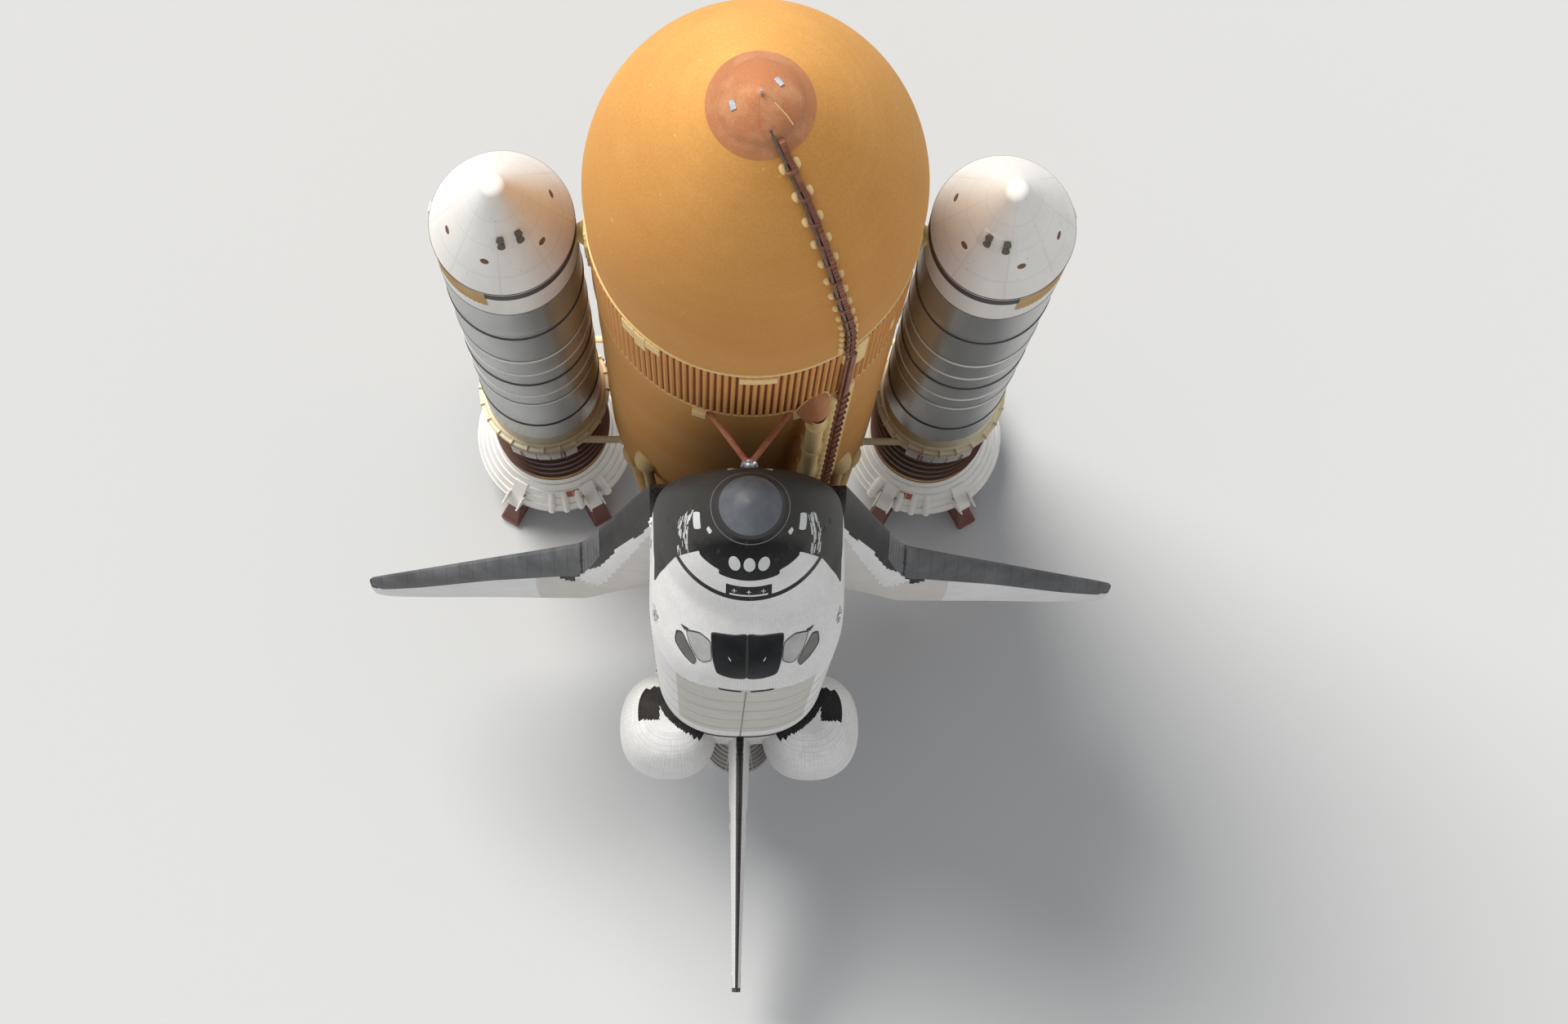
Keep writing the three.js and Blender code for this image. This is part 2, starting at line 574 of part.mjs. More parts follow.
function noseCap() {
  return body(236, NOSE_CAP_END - SEAT_GAP);
}

// The forward body is solid up to the cabin, which is hollow, with its windows, side hatch and wheel bay cut.
function forwardBody() {
  const { from, to, wall, bottom } = CABIN;
  const shell = body(NOSE_CAP_END, BAY.from - SEAT_GAP);
  const room = body(from, to, -wall).intersect(box([-120, bottom, from], [120, 520, to]));
  const openings = WINDOWS.flatMap((outline) => [outline, mirrored(outline)].map((o) => windowPrism(o, 0)));
  const hatchway = hatchDisc(HATCH.radius + MOVE_GAP);
  const [, hingeY] = HATCH.hinge;
  const recess = box([-120, hingeY - 2.2, HATCH.z - 3.5], [-CABIN.skinX, HATCH.y - 15, HATCH.z + 3.5]);
  const cutters = [room, ...openings, hatchway, noseWheelBay(), recess];
  const hollow = cutters.reduce((rest, cutter) => rest.subtract(cutter), shell);
  const spans = [[-7, -3 - SEAT_GAP], [3 + SEAT_GAP, 7]];
  const knuckles = spans.map(([a, b]) => hatchKnuckle(HATCH.z + a, HATCH.z + b, hingeY - 3));
  const journals = [...noseDoorJournals(), ...bayJournals(BAY.from - 2, BAY.from + MOVE_GAP)];
  return joined([hollow, ...knuckles, ...journals]);
}

// The outer panes of one side, with the inner pane that they share behind the skin.
function windowSet(side) {
  const outlines = WINDOWS.map((outline) => (side > 0 ? outline : mirrored(outline)));
  const reach = [[1.5, 460], [60, 468], [80, 488], [84, 530], [62, 546], [32, 572], [1.5, 572]];
  const { from, to } = GLAZED;
  const layer = (outer, inner) => body(from, to, outer).subtract(body(from - 5, to + 5, inner));
  const skin = layer(0, -CABIN.wall - 1);
  const panes = outlines.map((outline) => skin.intersect(windowPrism(outline, -0.05)));
  const behind = layer(-CABIN.wall - 0.04, -CABIN.wall - 2);
  return joined([behind.intersect(slab("y", side > 0 ? reach : mirrored(reach), 340, 520)), ...panes]);
}

// A knuckle of the hatch's hinge: a length of pin and the tab that holds it to the skin, up to the hatch
// or down to the body.
function hatchKnuckle(from, to, tabEnd) {
  const [x, y] = HATCH.hinge;
  const pin = bar([x, y, from], [x, y, to], HATCH.pin, HATCH.pin, 8);
  const upwards = tabEnd > y;
  const [low, high] = upwards ? [y, tabEnd] : [tabEnd, y];
  const [outer, inner] = upwards ? [x - 0.6, x + 2.6] : [x - 0.2, x + 3.4];
  return pin.add(box([outer, low, from], [inner, high, to]));
}

// A round cutter through the port side at the hatch.
function hatchDisc(radius) {
  return bar([-130, HATCH.y, HATCH.z], [-60, HATCH.y, HATCH.z], radius, radius, 20);
}

function hatch() {
  const { y, z, radius } = HATCH;
  const skin = body(470, 545).subtract(body(460, 550, 1 - CABIN.wall));
  return skin.intersect(hatchDisc(radius)).add(hatchKnuckle(z - 3, z + 3, y - radius + 3));
}

function noseWheelBay() {
  const { from, to, halfWidth, sideGap, well } = NOSE_DOORS;
  const half = halfWidth + sideGap;
  const roof = bodySection(from)[1] + well;
  return box([-half, 270, from - MOVE_GAP], [half, roof, to + MOVE_GAP]);
}

// The nose gear doors' hinge lines run just inside their outer edges.
function noseDoorHinge(side) {
  const { from, to, halfWidth, hingeInset } = NOSE_DOORS;
  const x = halfWidth - hingeInset;
  return [from, to].map((z) => [side * x, bellyAt(x, z) + 0.3, z]);
}

function noseDoorJournals() {
  return [-1, 1].flatMap((side) => {
    const [a, b] = noseDoorHinge(side).map((p) => new THREE.Vector3(...p));
    const along = b.clone().sub(a).normalize();
    const outwards = (p, reach) => p.clone().addScaledVector(along, reach).toArray();
    const [far, near, thick] = [1.5, 0.07, 0.6];
    const ends = [[a, -1], [b, 1]];
    return ends.map(([end, way]) => journal(outwards(end, far * way), outwards(end, near * way), thick));
  });
}

// The payload bay doors' hinge lines run along the sills, and end at journals at each end of the bay.
function bayJournals(from, to) {
  const { hingeX, sill } = BAY;
  return [-1, 1].map((side) => journal([side * hingeX, sill, from], [side * hingeX, sill, to], 1.6));
}

function noseDoor(side) {
  const { from, to, halfWidth, wall } = NOSE_DOORS;
  const skin = body(from - 10, to + 10).subtract(body(from - 12, to + 12, -wall));
  const x = [side * MOVE_GAP * 0.5, side * halfWidth].sort((a, b) => a - b);
  return skin.intersect(box([x[0], 270, from], [x[1], 306, to]));
}

// The middle body is a trough along the payload bay.
function middleBody() {
  const { from, to, sill, radius, centre } = BAY;
  const underSills = box([-140, 200, from - 5], [140, sill - MOVE_GAP, to + 5]);
  const lower = body(from, to - SEAT_GAP).intersect(underSills);
  const trough = bar([0, centre, from - 5], [0, centre, to + 5], radius, radius, 36);
  const ends = [[from - 2, from + 1], [to - 1, to + 2]];
  const around = (side, [a, b]) => bar([side * BAY.hingeX, sill, a], [side * BAY.hingeX, sill, b], 2, 2, 8);
  const aroundJournals = [-1, 1].flatMap((side) => ends.map((end) => around(side, end)));
  const open = lower.subtract(trough).subtract(box([-radius, centre, from - 5], [radius, 520, to + 5]));
  return open.subtract(joined(aroundJournals));
}

// A payload bay door: the curved panel from the sill to the middle line.
function bayDoor(side) {
  const { from, to, sill, doorWall } = BAY;
  const skin = body(from, to).subtract(body(from - 5, to + 5, -doorWall));
  const x = [side * MOVE_GAP * 0.5, side * 140].sort((a, b) => a - b);
  return skin.intersect(box([x[0], sill, from + MOVE_GAP], [x[1], 520, to - MOVE_GAP]));
}

// The line that an engine points along, as a matrix from the engine's own frame.
function engineMatrix({ x, y, z, up, out }) {
  const tilt = new THREE.Euler(-radians(up), radians(out), 0, "YXZ");
  return new THREE.Matrix4().makeRotationFromEuler(tilt).setPosition(x, y, z);
}

// An arc of a round heat shield about the z axis, from its rim to near the axis, as [radius, z].
function shieldArc(radius, rim, end, steps) {
  return Array.from({ length: steps + 1 }, (_, i) => {
    const angle = radians(rim + ((end - rim) * i) / steps);
    return [radius * Math.sin(angle), radius * Math.cos(angle)];
  });
}

// The lug that an engine swings on, and the slot in the engine's head that it fits.
function engineLug({ x, y, z, ball: round }) {
  const [half, reach] = [0.07 * round - SEAT_GAP, 0.1 * round];
  return box([x - half, y - reach, z - 16], [x + half, y + reach, z + 0.06 * round]);
}

function engineSlot({ ball: round }) {
  return box([-0.07 * round, -0.24 * round, -20], [0.07 * round, 0.24 * round, 0.16 * round]);
}

// The hollow that an engine's round heat shield turns in, and its mouth, which lets the bell swing.
function engineWell({ x, y, z, ball: round, rim, swing, mouth }) {
  const radius = round * 1.03;
  const arc = shieldArc(radius, 0, Math.min(rim + swing + 1, 90), 6);
  arc[0][0] = 0;
  const edge = arc[6][0];
  const place = new THREE.Matrix4().makeTranslation(x, y, z);
  const [inner, outer] = [0.7 * round, 1.2 * round];
  const mouthRing = turned([[0, inner], [mouth, inner], [mouth, outer], [0, outer]], 24, place);
  return turned([...arc, [edge, -14], [0, -14]], 24, place).add(mouthRing);
}

// The aft body is solid between the bay and the engines' base, with a shelf that carries the body flap.
function aftBody() {
  const { hinge, shelf: half, radius, y } = FLAP;
  const form = body(BAY.to, BASE_STATION);
  const shelf = box([-half, 279.5, BASE_STATION - 30], [half, y + 7.2, hinge - 2]);
  const cove = bar([-200, y, hinge], [200, y, hinge], radius + MOVE_GAP, radius + MOVE_GAP, 16);
  const wells = MAIN_ENGINES.map(engineWell);
  const lugs = [-1, 1].map((side) => flapLug(side * FLAP.lugX, 0));
  const hollow = wells.reduce((rest, well) => rest.subtract(well), form.add(shelf).subtract(cove));
  const journals = bayJournals(BAY.to + 2, BAY.to - MOVE_GAP);
  return joined([hollow, ...MAIN_ENGINES.map(engineLug), ...lugs, ...journals]);
}

// A lug on the flap's hinge line, or the slot for it where it is made larger.
function flapLug(x, grow) {
  const { hinge, radius, y } = FLAP;
  const half = 2.5 - (grow ? 0 : SEAT_GAP);
  const eye = bar([x - half, y, hinge], [x + half, y, hinge], radius - 3 + grow, radius - 3 + grow, 10);
  return grow ? eye : eye.add(box([x - half, y - 4, hinge - 14], [x + half, y + 4, hinge]));
}

function bodyFlap() {
  const { hinge, chord, halfWidth, radius, y } = FLAP;
  const tail = hinge + chord;
  const outline = [[y - radius, hinge], [y + radius, hinge], [y - 3.5, tail], [y - radius, tail]];
  const plate = slab("x", outline, -halfWidth, halfWidth);
  const slots = [-1, 1].map((side) => flapLug(side * FLAP.lugX, 7));
  const round = bar([-halfWidth, y, hinge], [halfWidth, y, hinge], radius, radius, 16);
  return plate.add(round).subtract(joined(slots));
}

// The wings

// The leading edge in plan: the long glove, the bend and the swept outer wing.
// Columns: x, station, thickness.
const WING_EDGE = [
  [60, 500, 54], [105, 500, 54], [120, 594, 53], [145, 751, 50.5], [168, 892, 48.5], [182, 978, 47],
  [196, 1034, 46], [215, 1058, 44], [312, 1155, 33.5], [400, 1243, 25], [450, 1293, 18.5], [464, 1312, 13],
  [468.3, 1334, 6],
];
// The section's form, with the upper side first, from the tail.
// Columns: share of the chord, share of the thickness.
const WING_UPPER = [
  [1, 0.1], [0.85, 0.42], [0.65, 0.78], [0.45, 1], [0.25, 0.93], [0.12, 0.74], [0.05, 0.52], [0.015, 0.32],
  [0, 0.15],
];
const WING_LOWER = [[0.012, 0.04], [0.05, 0], [0.45, 0], [0.85, 0], [1, 0]];

const wingTail = (x) => 1532 - 0.178 * x;
const wingBottom = (x) => WING.bottom + WING.dihedral * Math.max(0, x - WING.side);

function between(table, column, x) {
  const next = Math.min(Math.max(table.findIndex((row) => row[0] >= x), 1), table.length - 1);
  const [a, b] = [table[next - 1], table[next]];
  return a[column] + ((b[column] - a[column]) * (x - a[0])) / (b[0] - a[0]);
}

function wingRing(x) {
  const nose = between(WING_EDGE, 1, x);
  const thick = between(WING_EDGE, 2, x);
  const chord = wingTail(x) - nose;
  const point = ([along, up]) => [x, wingBottom(x) + up * thick, nose + along * chord];
  return [...WING_UPPER, ...WING_LOWER].map(point);
}

// The wing's middle height and half thickness at the elevons' hinge.
function wingAtHinge(x) {
  const nose = between(WING_EDGE, 1, x);
  const share = (WING.hinge - nose) / (wingTail(x) - nose);
  const upper = [...WING_UPPER].reverse();
  const half = (between(upper, 1, share) * between(WING_EDGE, 2, x)) / 2;
  return { x, y: wingBottom(x) + half, half };
}

const wholeWing = loft(WING_EDGE.map(([x]) => wingRing(x)));

// An elevon's hinge line: the middle of the wing at each end, the tilt between them, and points along it.
function elevonLine({ from, to }) {
  const [a, b] = [wingAtHinge(from), wingAtHinge(to)];
  const tilt = (b.y - a.y) / (b.x - a.x);
  return { a, b, tilt, height: (x) => a.y + tilt * (x - a.x) };
}

// The space an elevon works in: aft of its hinge line, and round it as far as the wing is thick there.
// Its end faces are square to the hinge line.
function elevonSpace(span, grow, sideGrow) {
  const { a, b, tilt, height } = elevonLine(span);
  const end = (p, direction) => [-60, 60].map((h) => [p.x + direction * sideGrow - h * tilt, p.y + h]);
  const outline = [...end(a, -1), ...end(b, 1).reverse()];
  const stations = [a.x - 3, ...WING_EDGE.map(([x]) => x).filter((x) => x > a.x + 1 && x < b.x - 1), b.x + 3];
  const ring = (x) => Array.from({ length: 16 }, (_, i) => {
    const angle = (2 * Math.PI * (i + 0.5)) / 16;
    const wing = wingAtHinge(x);
    const radius = (wing.half + Math.abs(wing.y - height(x))) / Math.cos(Math.PI / 16) + grow;
    return [x, height(x) + radius * Math.sin(angle), WING.hinge + radius * Math.cos(angle)];
  });
  const round = loft(stations.map(ring)).intersect(slab("z", outline, WING.hinge - 60, WING.hinge + 60));
  return { round, aft: slab("z", outline, WING.hinge, 1560) };
}

// The journals that an elevon turns on, one at each end of it.
function elevonJournals({ from, to }) {
  const { a, b, tilt } = elevonLine({ from, to });
  const point = (end, reach) => [end.x + reach, end.y + reach * tilt, WING.hinge];
  return [journal(point(a, -1), point(a, 0), 0.4 * a.half), journal(point(b, 1), point(b, 0), 0.4 * b.half)];
}

function elevon(span) {
  const { round, aft } = elevonSpace(span, 0, 0);
  return wholeWing.intersect(aft).add(round);
}

function fixedWing() {
  const coves = ELEVONS.map((span) => elevonSpace(span, 1.1, MOVE_GAP));
  const { from, to, inner, outer, well } = MAIN_DOORS;
  const roof = WING.bottom + well;
  const wheelBay = box([inner - MOVE_GAP, 270, from - MOVE_GAP], [outer + MOVE_GAP, roof, to + MOVE_GAP]);
  const cut = coves.reduce((rest, { round, aft }) => rest.subtract(round).subtract(aft), wholeWing);
  const aroundFlap = box([-1, 260, BASE_STATION - 31], [FLAP.halfWidth + MOVE_GAP, 340, 1620]);
  const trimmed = cut.subtract(wheelBay).subtract(body(400, BASE_STATION, SEAT_GAP)).subtract(aroundFlap);
  return joined([trimmed, ...ELEVONS.flatMap(elevonJournals), ...mainDoorJournals()]);
}

// The main gear door's hinge line runs along its outer edge.
function mainDoorJournals() {
  const { from, to, outer } = MAIN_DOORS;
  const point = (z) => [outer - 0.6, wingBottom(outer) + 0.1, z];
  return [journal(point(from - 2), point(from), 0.6), journal(point(to + 2), point(to), 0.6)];
}

function mainDoor() {
  const { from, to, inner, outer, wall } = MAIN_DOORS;
  const floor = (x, lift) => [x, wingBottom(x) + lift];
  return slab("z", [floor(inner, 0), floor(outer, 0), floor(outer, wall), floor(inner, wall)], from, to);
}

// A starboard solid or its port mirror image.
function onSide(solid, side) {
  return side > 0 ? solid : toSolid(toGeometry(solid).scale(-1, 1, 1));
}

// The fin and rudder

const finNose = (y) => FIN.noseRoot + (y - FIN.root);
const finTail = (y) => FIN.tailRoot + FIN.tailSlope * (y - FIN.root);
const finHinge = (y) => finNose(y) + RUDDER.chordShare * (finTail(y) - finNose(y));
const finHalf = (y) => 14 - (8.3 * (y - FIN.root)) / (FIN.top - FIN.root);

// The fin's section is a thin double wedge, thickest at the rudder's hinge.
// Columns: share of the chord, share of the half thickness.
const FIN_SIDE = [[0, 0], [0.008, 0.12], [0.3, 0.56], [0.6, 1], [1, 0.09]];

function finRing(y, grow = 0) {
  const chord = finTail(y) - finNose(y);
  const point = (sign, [along, out]) => [sign * (out * finHalf(y) + grow), y, finNose(y) + along * chord];
  const side = (sign, rows) => rows.map((row) => point(sign, row));
  return [...side(1, FIN_SIDE), ...side(-1, FIN_SIDE.slice(1).reverse())];
}

const wholeFin = loft([490, 600, 720, 812, FIN.top].map((y) => finRing(y)));

// The space aft of the rudder's hinge line, between end faces square to that line.
function rudderSpace(endGrow) {
  const slope = Math.atan((finHinge(RUDDER.to) - finHinge(RUDDER.from)) / (RUDDER.to - RUDDER.from));
  const along = [Math.cos(slope), Math.sin(slope)];
  const pushed = (y, push) => [y + push * along[0], finHinge(y) + push * along[1]];
  const [low, high] = [pushed(RUDDER.from, -endGrow), pushed(RUDDER.to, endGrow)];
  const back = ([y, z]) => [y - 260 * along[1], z + 260 * along[0]];
  return { low, high, region: slab("x", [low, high, back(high), back(low)], -40, 40) };
}

function rudderRound(endGrow, scale, grow, phase = 0) {
  const { low, high } = rudderSpace(endGrow);
  const radii = [RUDDER.from, RUDDER.to].map((y) => scale * finHalf(y) + grow);
  return bar([0, ...low], [0, ...high], ...radii, 16, phase);
}

function fin() {
  const gap = MOVE_GAP + 0.1;
  const cut = wholeFin.subtract(rudderSpace(gap).region).subtract(rudderRound(gap, RUDDER.cove, 0.3));
  const ahead = box([-40, 400, 1200], [40, 600, FIN.clip]);
  const behindFoot = [[400, 1497], [FIN.root, 1497], [585, 1558], [585, 1700], [400, 1700]];
  const underRudder = slab("x", behindFoot, -40, 40);
  const cutters = [body(1200, BASE_STATION, SEAT_GAP), ahead, underRudder];
  const tidy = cutters.reduce((rest, cutter) => rest.subtract(cutter), cut);
  const [inner, outer] = [rudderSpace(0), rudderSpace(2)];
  const lower = journal([0, ...outer.low], [0, ...inner.low], 3);
  const upper = journal([0, ...outer.high], [0, ...inner.high], 2);
  return joined([tidy, lower, upper]);
}

function rudderPanel(side) {
  const x = [side * MOVE_GAP * 0.5, side * 40].sort((a, b) => a - b);
  const half = wholeFin.intersect(rudderSpace(0).region).intersect(box([x[0], 500, 1300], [x[1], 900, 1800]));
  return half.subtract(rudderRound(2, RUDDER.tube / Math.cos(Math.PI / 16), 2 * SEAT_GAP, 0.5));
}

const rudderTube = () => rudderRound(0, RUDDER.tube, 0);

// The pods on the aft body's shoulders. Columns: station, middle x, middle y, half width, half height.
const POD_ROWS = [
  [1309.5, 84, 468, 30, 30], [1318, 86, 472, 42, 42], [1335, 88, 476, 51, 53], [1365, 89, 479, 57, 60],
  [1410, 90, 481, 61, 64], [1460, 91, 482, 62, 65], [1518, 91, 483, 60, 62],
];

function podRing([z, x, y, halfWidth, halfHeight]) {
  return Array.from({ length: 20 }, (_, i) => {
    const angle = (2 * Math.PI * i) / 20;
    const [across, up] = [Math.cos(angle), Math.sin(angle)].map((v) => Math.sign(v) * Math.abs(v) ** 0.85);
    return [x + halfWidth * across, y + halfHeight * up, z];
  });
}

function pod() {
  const hull = loft(POD_ROWS.map(podRing));
  const boxRing = ([z, low, high]) => [[122, low, z], [150, low, z], [146, high, z], [124, high, z]];
  const thrusters = loft([[1480, 455, 485], [1516, 453, 487], [1562, 455, 485]].map(boxRing));
  const trimmed = hull.add(thrusters).subtract(body(1250, BASE_STATION, SEAT_GAP));
  const behind = slab("z", bodyRing(BASE_STATION).map(([x, y]) => [x, y]), BASE_STATION - 1, 1600);
  return trimmed.subtract(behind).subtract(engineWell(POD_ENGINE)).add(engineLug(POD_ENGINE));
}

// The engines: each a power head inside a round heat shield, which faces straight aft, and a tilted bell

function engine({ ball: round, rim, up, out, length, exitRadius, throat, wall }) {
  const upright = engineMatrix({ x: 0, y: 0, z: 0, up, out }).invert();
  const shield = shieldArc(round, rim, 0, 4);
  shield[4][0] = 0;
  const slot = toSolid(toGeometry(engineSlot({ ball: round })).applyMatrix4(upright));
  const headProfile = [[0, -8], [0.3 * round, -8], [0.4 * round, 0.1 * round], ...shield];
  const head = turned(headProfile, 20, upright).subtract(slot);
  const start = round + 4;
  const radiusAt = (share) => throat + (exitRadius - throat) * share ** 0.62;
  const flare = (share, inset) => [radiusAt(share) - inset, start + (length - start) * share];
  const shares = [0.06, 0.35, 1];
  const outside = shares.map((share) => flare(share, 0));
  const inside = shares.toReversed().map((share) => flare(share, wall));
  return head.add(turned([[0, 0.8 * round], [throat, 0.8 * round], ...outside, ...inside, [0, start]], 20));
}

addMesh(orbiter, "nose_cap", noseCap(), "carbon");
addMesh(orbiter, "forward_body", forwardBody(), "whitetile");
addMesh(orbiter, "windows_left", windowSet(-1), "glass");
addMesh(orbiter, "windows_right", windowSet(1), "glass");
addMesh(orbiter, "crew_hatch", hatch(), "whitetile");
addMesh(orbiter, "middle_body", middleBody(), "whitetile");
addMesh(orbiter, "aft_body", aftBody(), "whitetile");
addMesh(orbiter, "body_flap", bodyFlap(), "blacktile");
addMesh(orbiter, "fin", fin(), "whitetile");
addMesh(orbiter, "rudder_tube", rudderTube(), "steel");
[["left", -1], ["right", 1]].forEach(([name, side]) => {
  addMesh(orbiter, `nose_gear_door_${name}`, noseDoor(side), "blacktile");
  addMesh(orbiter, `bay_door_${name}`, bayDoor(side), "whitetile");
  addMesh(orbiter, `wing_${name}`, onSide(fixedWing(), side), "whitetile");
  addMesh(orbiter, `main_gear_door_${name}`, onSide(mainDoor(), side), "blacktile");
  ELEVONS.forEach((span) => {
    addMesh(orbiter, `elevon_${span.name}_${name}`, onSide(elevon(span), side), "whitetile");
  });
  addMesh(orbiter, `rudder_panel_${name}`, rudderPanel(side), "whitetile");
  addMesh(orbiter, `pod_${name}`, onSide(pod(), side), "whitetile");
  const aim = { ...POD_ENGINE, x: side * POD_ENGINE.x, out: side * POD_ENGINE.out };
  addMesh(orbiter, `pod_engine_${name}`, engine(aim), "steel").applyMatrix4(engineMatrix(aim));
});
MAIN_ENGINES.forEach((spec) => {
  addMesh(orbiter, spec.name, engine(spec), "steel").applyMatrix4(engineMatrix(spec));
});

// Nose up on the ground, dorsal side towards -Y, in millimetres
const model = new THREE.Group();
const size = MM_PER_INCH * MODEL_SCALE;
stack.rotation.x = Math.PI;
stack.scale.setScalar(size);
stack.position.set(0, TANK_TO_ORIGIN * size, FLOOR_STATION * size);
model.add(stack);

export default model;
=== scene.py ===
import bpy
import numpy as np
from mathutils import Matrix


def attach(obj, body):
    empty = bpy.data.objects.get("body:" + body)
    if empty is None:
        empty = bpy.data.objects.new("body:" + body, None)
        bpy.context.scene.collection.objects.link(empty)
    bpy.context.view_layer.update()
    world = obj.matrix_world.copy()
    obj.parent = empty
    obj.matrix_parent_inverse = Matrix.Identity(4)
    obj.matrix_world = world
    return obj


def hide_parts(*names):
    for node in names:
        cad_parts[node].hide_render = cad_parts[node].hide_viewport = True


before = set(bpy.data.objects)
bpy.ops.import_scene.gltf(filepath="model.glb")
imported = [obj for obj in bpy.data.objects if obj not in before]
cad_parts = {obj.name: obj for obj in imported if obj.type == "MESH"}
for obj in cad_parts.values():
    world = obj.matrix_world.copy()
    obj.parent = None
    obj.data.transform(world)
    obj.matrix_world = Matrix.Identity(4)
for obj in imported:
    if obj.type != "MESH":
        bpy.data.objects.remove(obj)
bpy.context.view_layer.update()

# The camera
# It looks down past the orbiter's back from high above its nose, and was solved from nine points of the stack.
CAMERA_PLACE = (-0.556, -6.167, 72.341)
CAMERA_AZIMUTH, CAMERA_ELEVATION, CAMERA_ROLL = np.radians([8.859, 83.075, 9.246])
FOCAL_PIXELS, PICTURE_WIDTH = 5088.3, 1920

forward = np.array([np.sin(CAMERA_AZIMUTH) * np.cos(CAMERA_ELEVATION),
                    np.cos(CAMERA_AZIMUTH) * np.cos(CAMERA_ELEVATION),
                    -np.sin(CAMERA_ELEVATION)])
level = np.array([np.cos(CAMERA_AZIMUTH), -np.sin(CAMERA_AZIMUTH), 0.0])
upright = np.cross(level, forward)
rightward = np.cos(CAMERA_ROLL) * level + np.sin(CAMERA_ROLL) * upright
upward = np.cos(CAMERA_ROLL) * upright - np.sin(CAMERA_ROLL) * level
camera = bpy.data.objects.new("camera", bpy.data.cameras.new("camera"))
axes = np.stack([rightward, upward, -forward], 1)
camera.matrix_world = Matrix([[*row, place] for row, place in zip(axes, CAMERA_PLACE)] + [[0, 0, 0, 1]])
camera.data.sensor_width = 36.0
camera.data.lens = camera.data.sensor_width * FOCAL_PIXELS / PICTURE_WIDTH
camera.data.clip_end = 500.0
bpy.context.scene.collection.objects.link(camera)
bpy.context.scene.camera = camera

# The floor and the light
# A plain pale floor, a broad soft sun from behind the tank and to port, and an even pale sky.
FLOOR_HALF = 400.0
SUN_TOWARDS = np.array([0.42, -0.50, -1.0])
SUN_STRENGTH, SUN_SPREAD = 3.8, np.radians(30)
SKY_COLOUR, SKY_STRENGTH = (0.93, 0.95, 1.0, 1.0), 0.58
FLOOR_COLOUR = (0.50, 0.505, 0.50, 1.0)

floor_mesh = bpy.data.meshes.new("floor")
floor_corners = [(x * FLOOR_HALF, y * FLOOR_HALF, 0) for x, y in ((-1, -1), (1, -1), (1, 1), (-1, 1))]
floor_mesh.from_pydata(floor_corners, [], [(0, 1, 2, 3)])
floor_material = bpy.data.materials.new("floor")
floor_material.use_nodes = True
floor_shader = floor_material.node_tree.nodes["Principled BSDF"]
floor_shader.inputs["Base Color"].default_value = FLOOR_COLOUR
floor_shader.inputs["Roughness"].default_value = 0.9
floor_mesh.materials.append(floor_material)
floor_piece = bpy.data.objects.new("floor", floor_mesh)
bpy.context.scene.collection.objects.link(floor_piece)

sun = bpy.data.objects.new("sun", bpy.data.lights.new("sun", "SUN"))
sun.data.energy = SUN_STRENGTH
sun.data.angle = SUN_SPREAD
sun.data.color = (1.0, 0.975, 0.94)
aim = SUN_TOWARDS / np.linalg.norm(SUN_TOWARDS)
across = np.cross(aim, [0, 0, 1.0])
across /= np.linalg.norm(across)
axes = np.stack([across, np.cross(across, aim), -aim], 1)
sun.matrix_world = Matrix([[*row, 0] for row in axes] + [[0, 0, 0, 1]])
bpy.context.scene.collection.objects.link(sun)
sky = bpy.data.worlds.new("sky")
sky.use_nodes = True
background = sky.node_tree.nodes["Background"]
background.inputs["Color"].default_value = SKY_COLOUR
background.inputs["Strength"].default_value = SKY_STRENGTH
bpy.context.scene.world = sky
bpy.context.scene.view_settings.view_transform = "Standard"

# The oxygen tank
# An ogive of welded gores under a thick coat of sprayed foam, which the weather has darkened unevenly; painted shade
# darkens it towards the orbiter.
INCH = 0.0254 * 0.5
FLOOR_STATION, TANK_AXIS = 2546, 293.55
TANK_RADIUS, OGIVE_RADIUS, OGIVE_END, TANK_NOSE = 165.5, 612.0, 744.6, 371.0
INTERTANK_FROM, INTERTANK_TO = 852.8, 1123.2
ORBITER_LIFT, ORBITER_OFFSET = -63.5, 741.0
FOAM_LIGHT, FOAM_DARK = (0.80, 0.43, 0.125, 1), (0.60, 0.265, 0.055, 1)


def metres(points):
    """Inches [starboard, towards the orbiter, aft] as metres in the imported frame: the orbiter's side is -Y, the
    nose is up, and the floor lies at the floor's station."""
    x, up, station = np.moveaxis(np.asarray(points, float), -1, 0)
    return points_at(x * INCH, (TANK_AXIS - up) * INCH, (FLOOR_STATION - station) * INCH)


def points_at(*axes):
    """Points from their coordinates along each axis, which may be numbers or grids."""
    return np.stack(np.broadcast_arrays(*axes), -1)


def polar(radius, angle, station, across=0.0, axis=(0, 0)):
    """Points at a radius from an axis, at an angle from the orbiter's side towards starboard, and moved across
    that direction."""
    return points_at(axis[0] + radius * np.sin(angle) + across * np.cos(angle),
                     axis[1] + radius * np.cos(angle) - across * np.sin(angle), station)


def sheet_of(grid, around=False):
    """A shape from a grid of points, rows by columns: a face between each four neighbours, with the face's column
    and row as its corners' pattern coordinates. Around joins the last column to the first."""
    rows, columns = grid.shape[:2]
    r, c = np.meshgrid(np.arange(rows - 1), np.arange(columns if around else columns - 1), indexing="ij")
    d = (c + 1) % columns
    faces = np.stack([r * columns + c, r * columns + d, (r + 1) * columns + d, (r + 1) * columns + c], -1)
    corners = np.stack([points_at(c + i, r + j) for i, j in ((0, 0), (1, 0), (1, 1), (0, 1))], -2)
    return {"points": grid.reshape(-1, 3), "faces": faces.reshape(-1, 4),
            "corners": corners.reshape(-1, 4, 2).astype(float)}


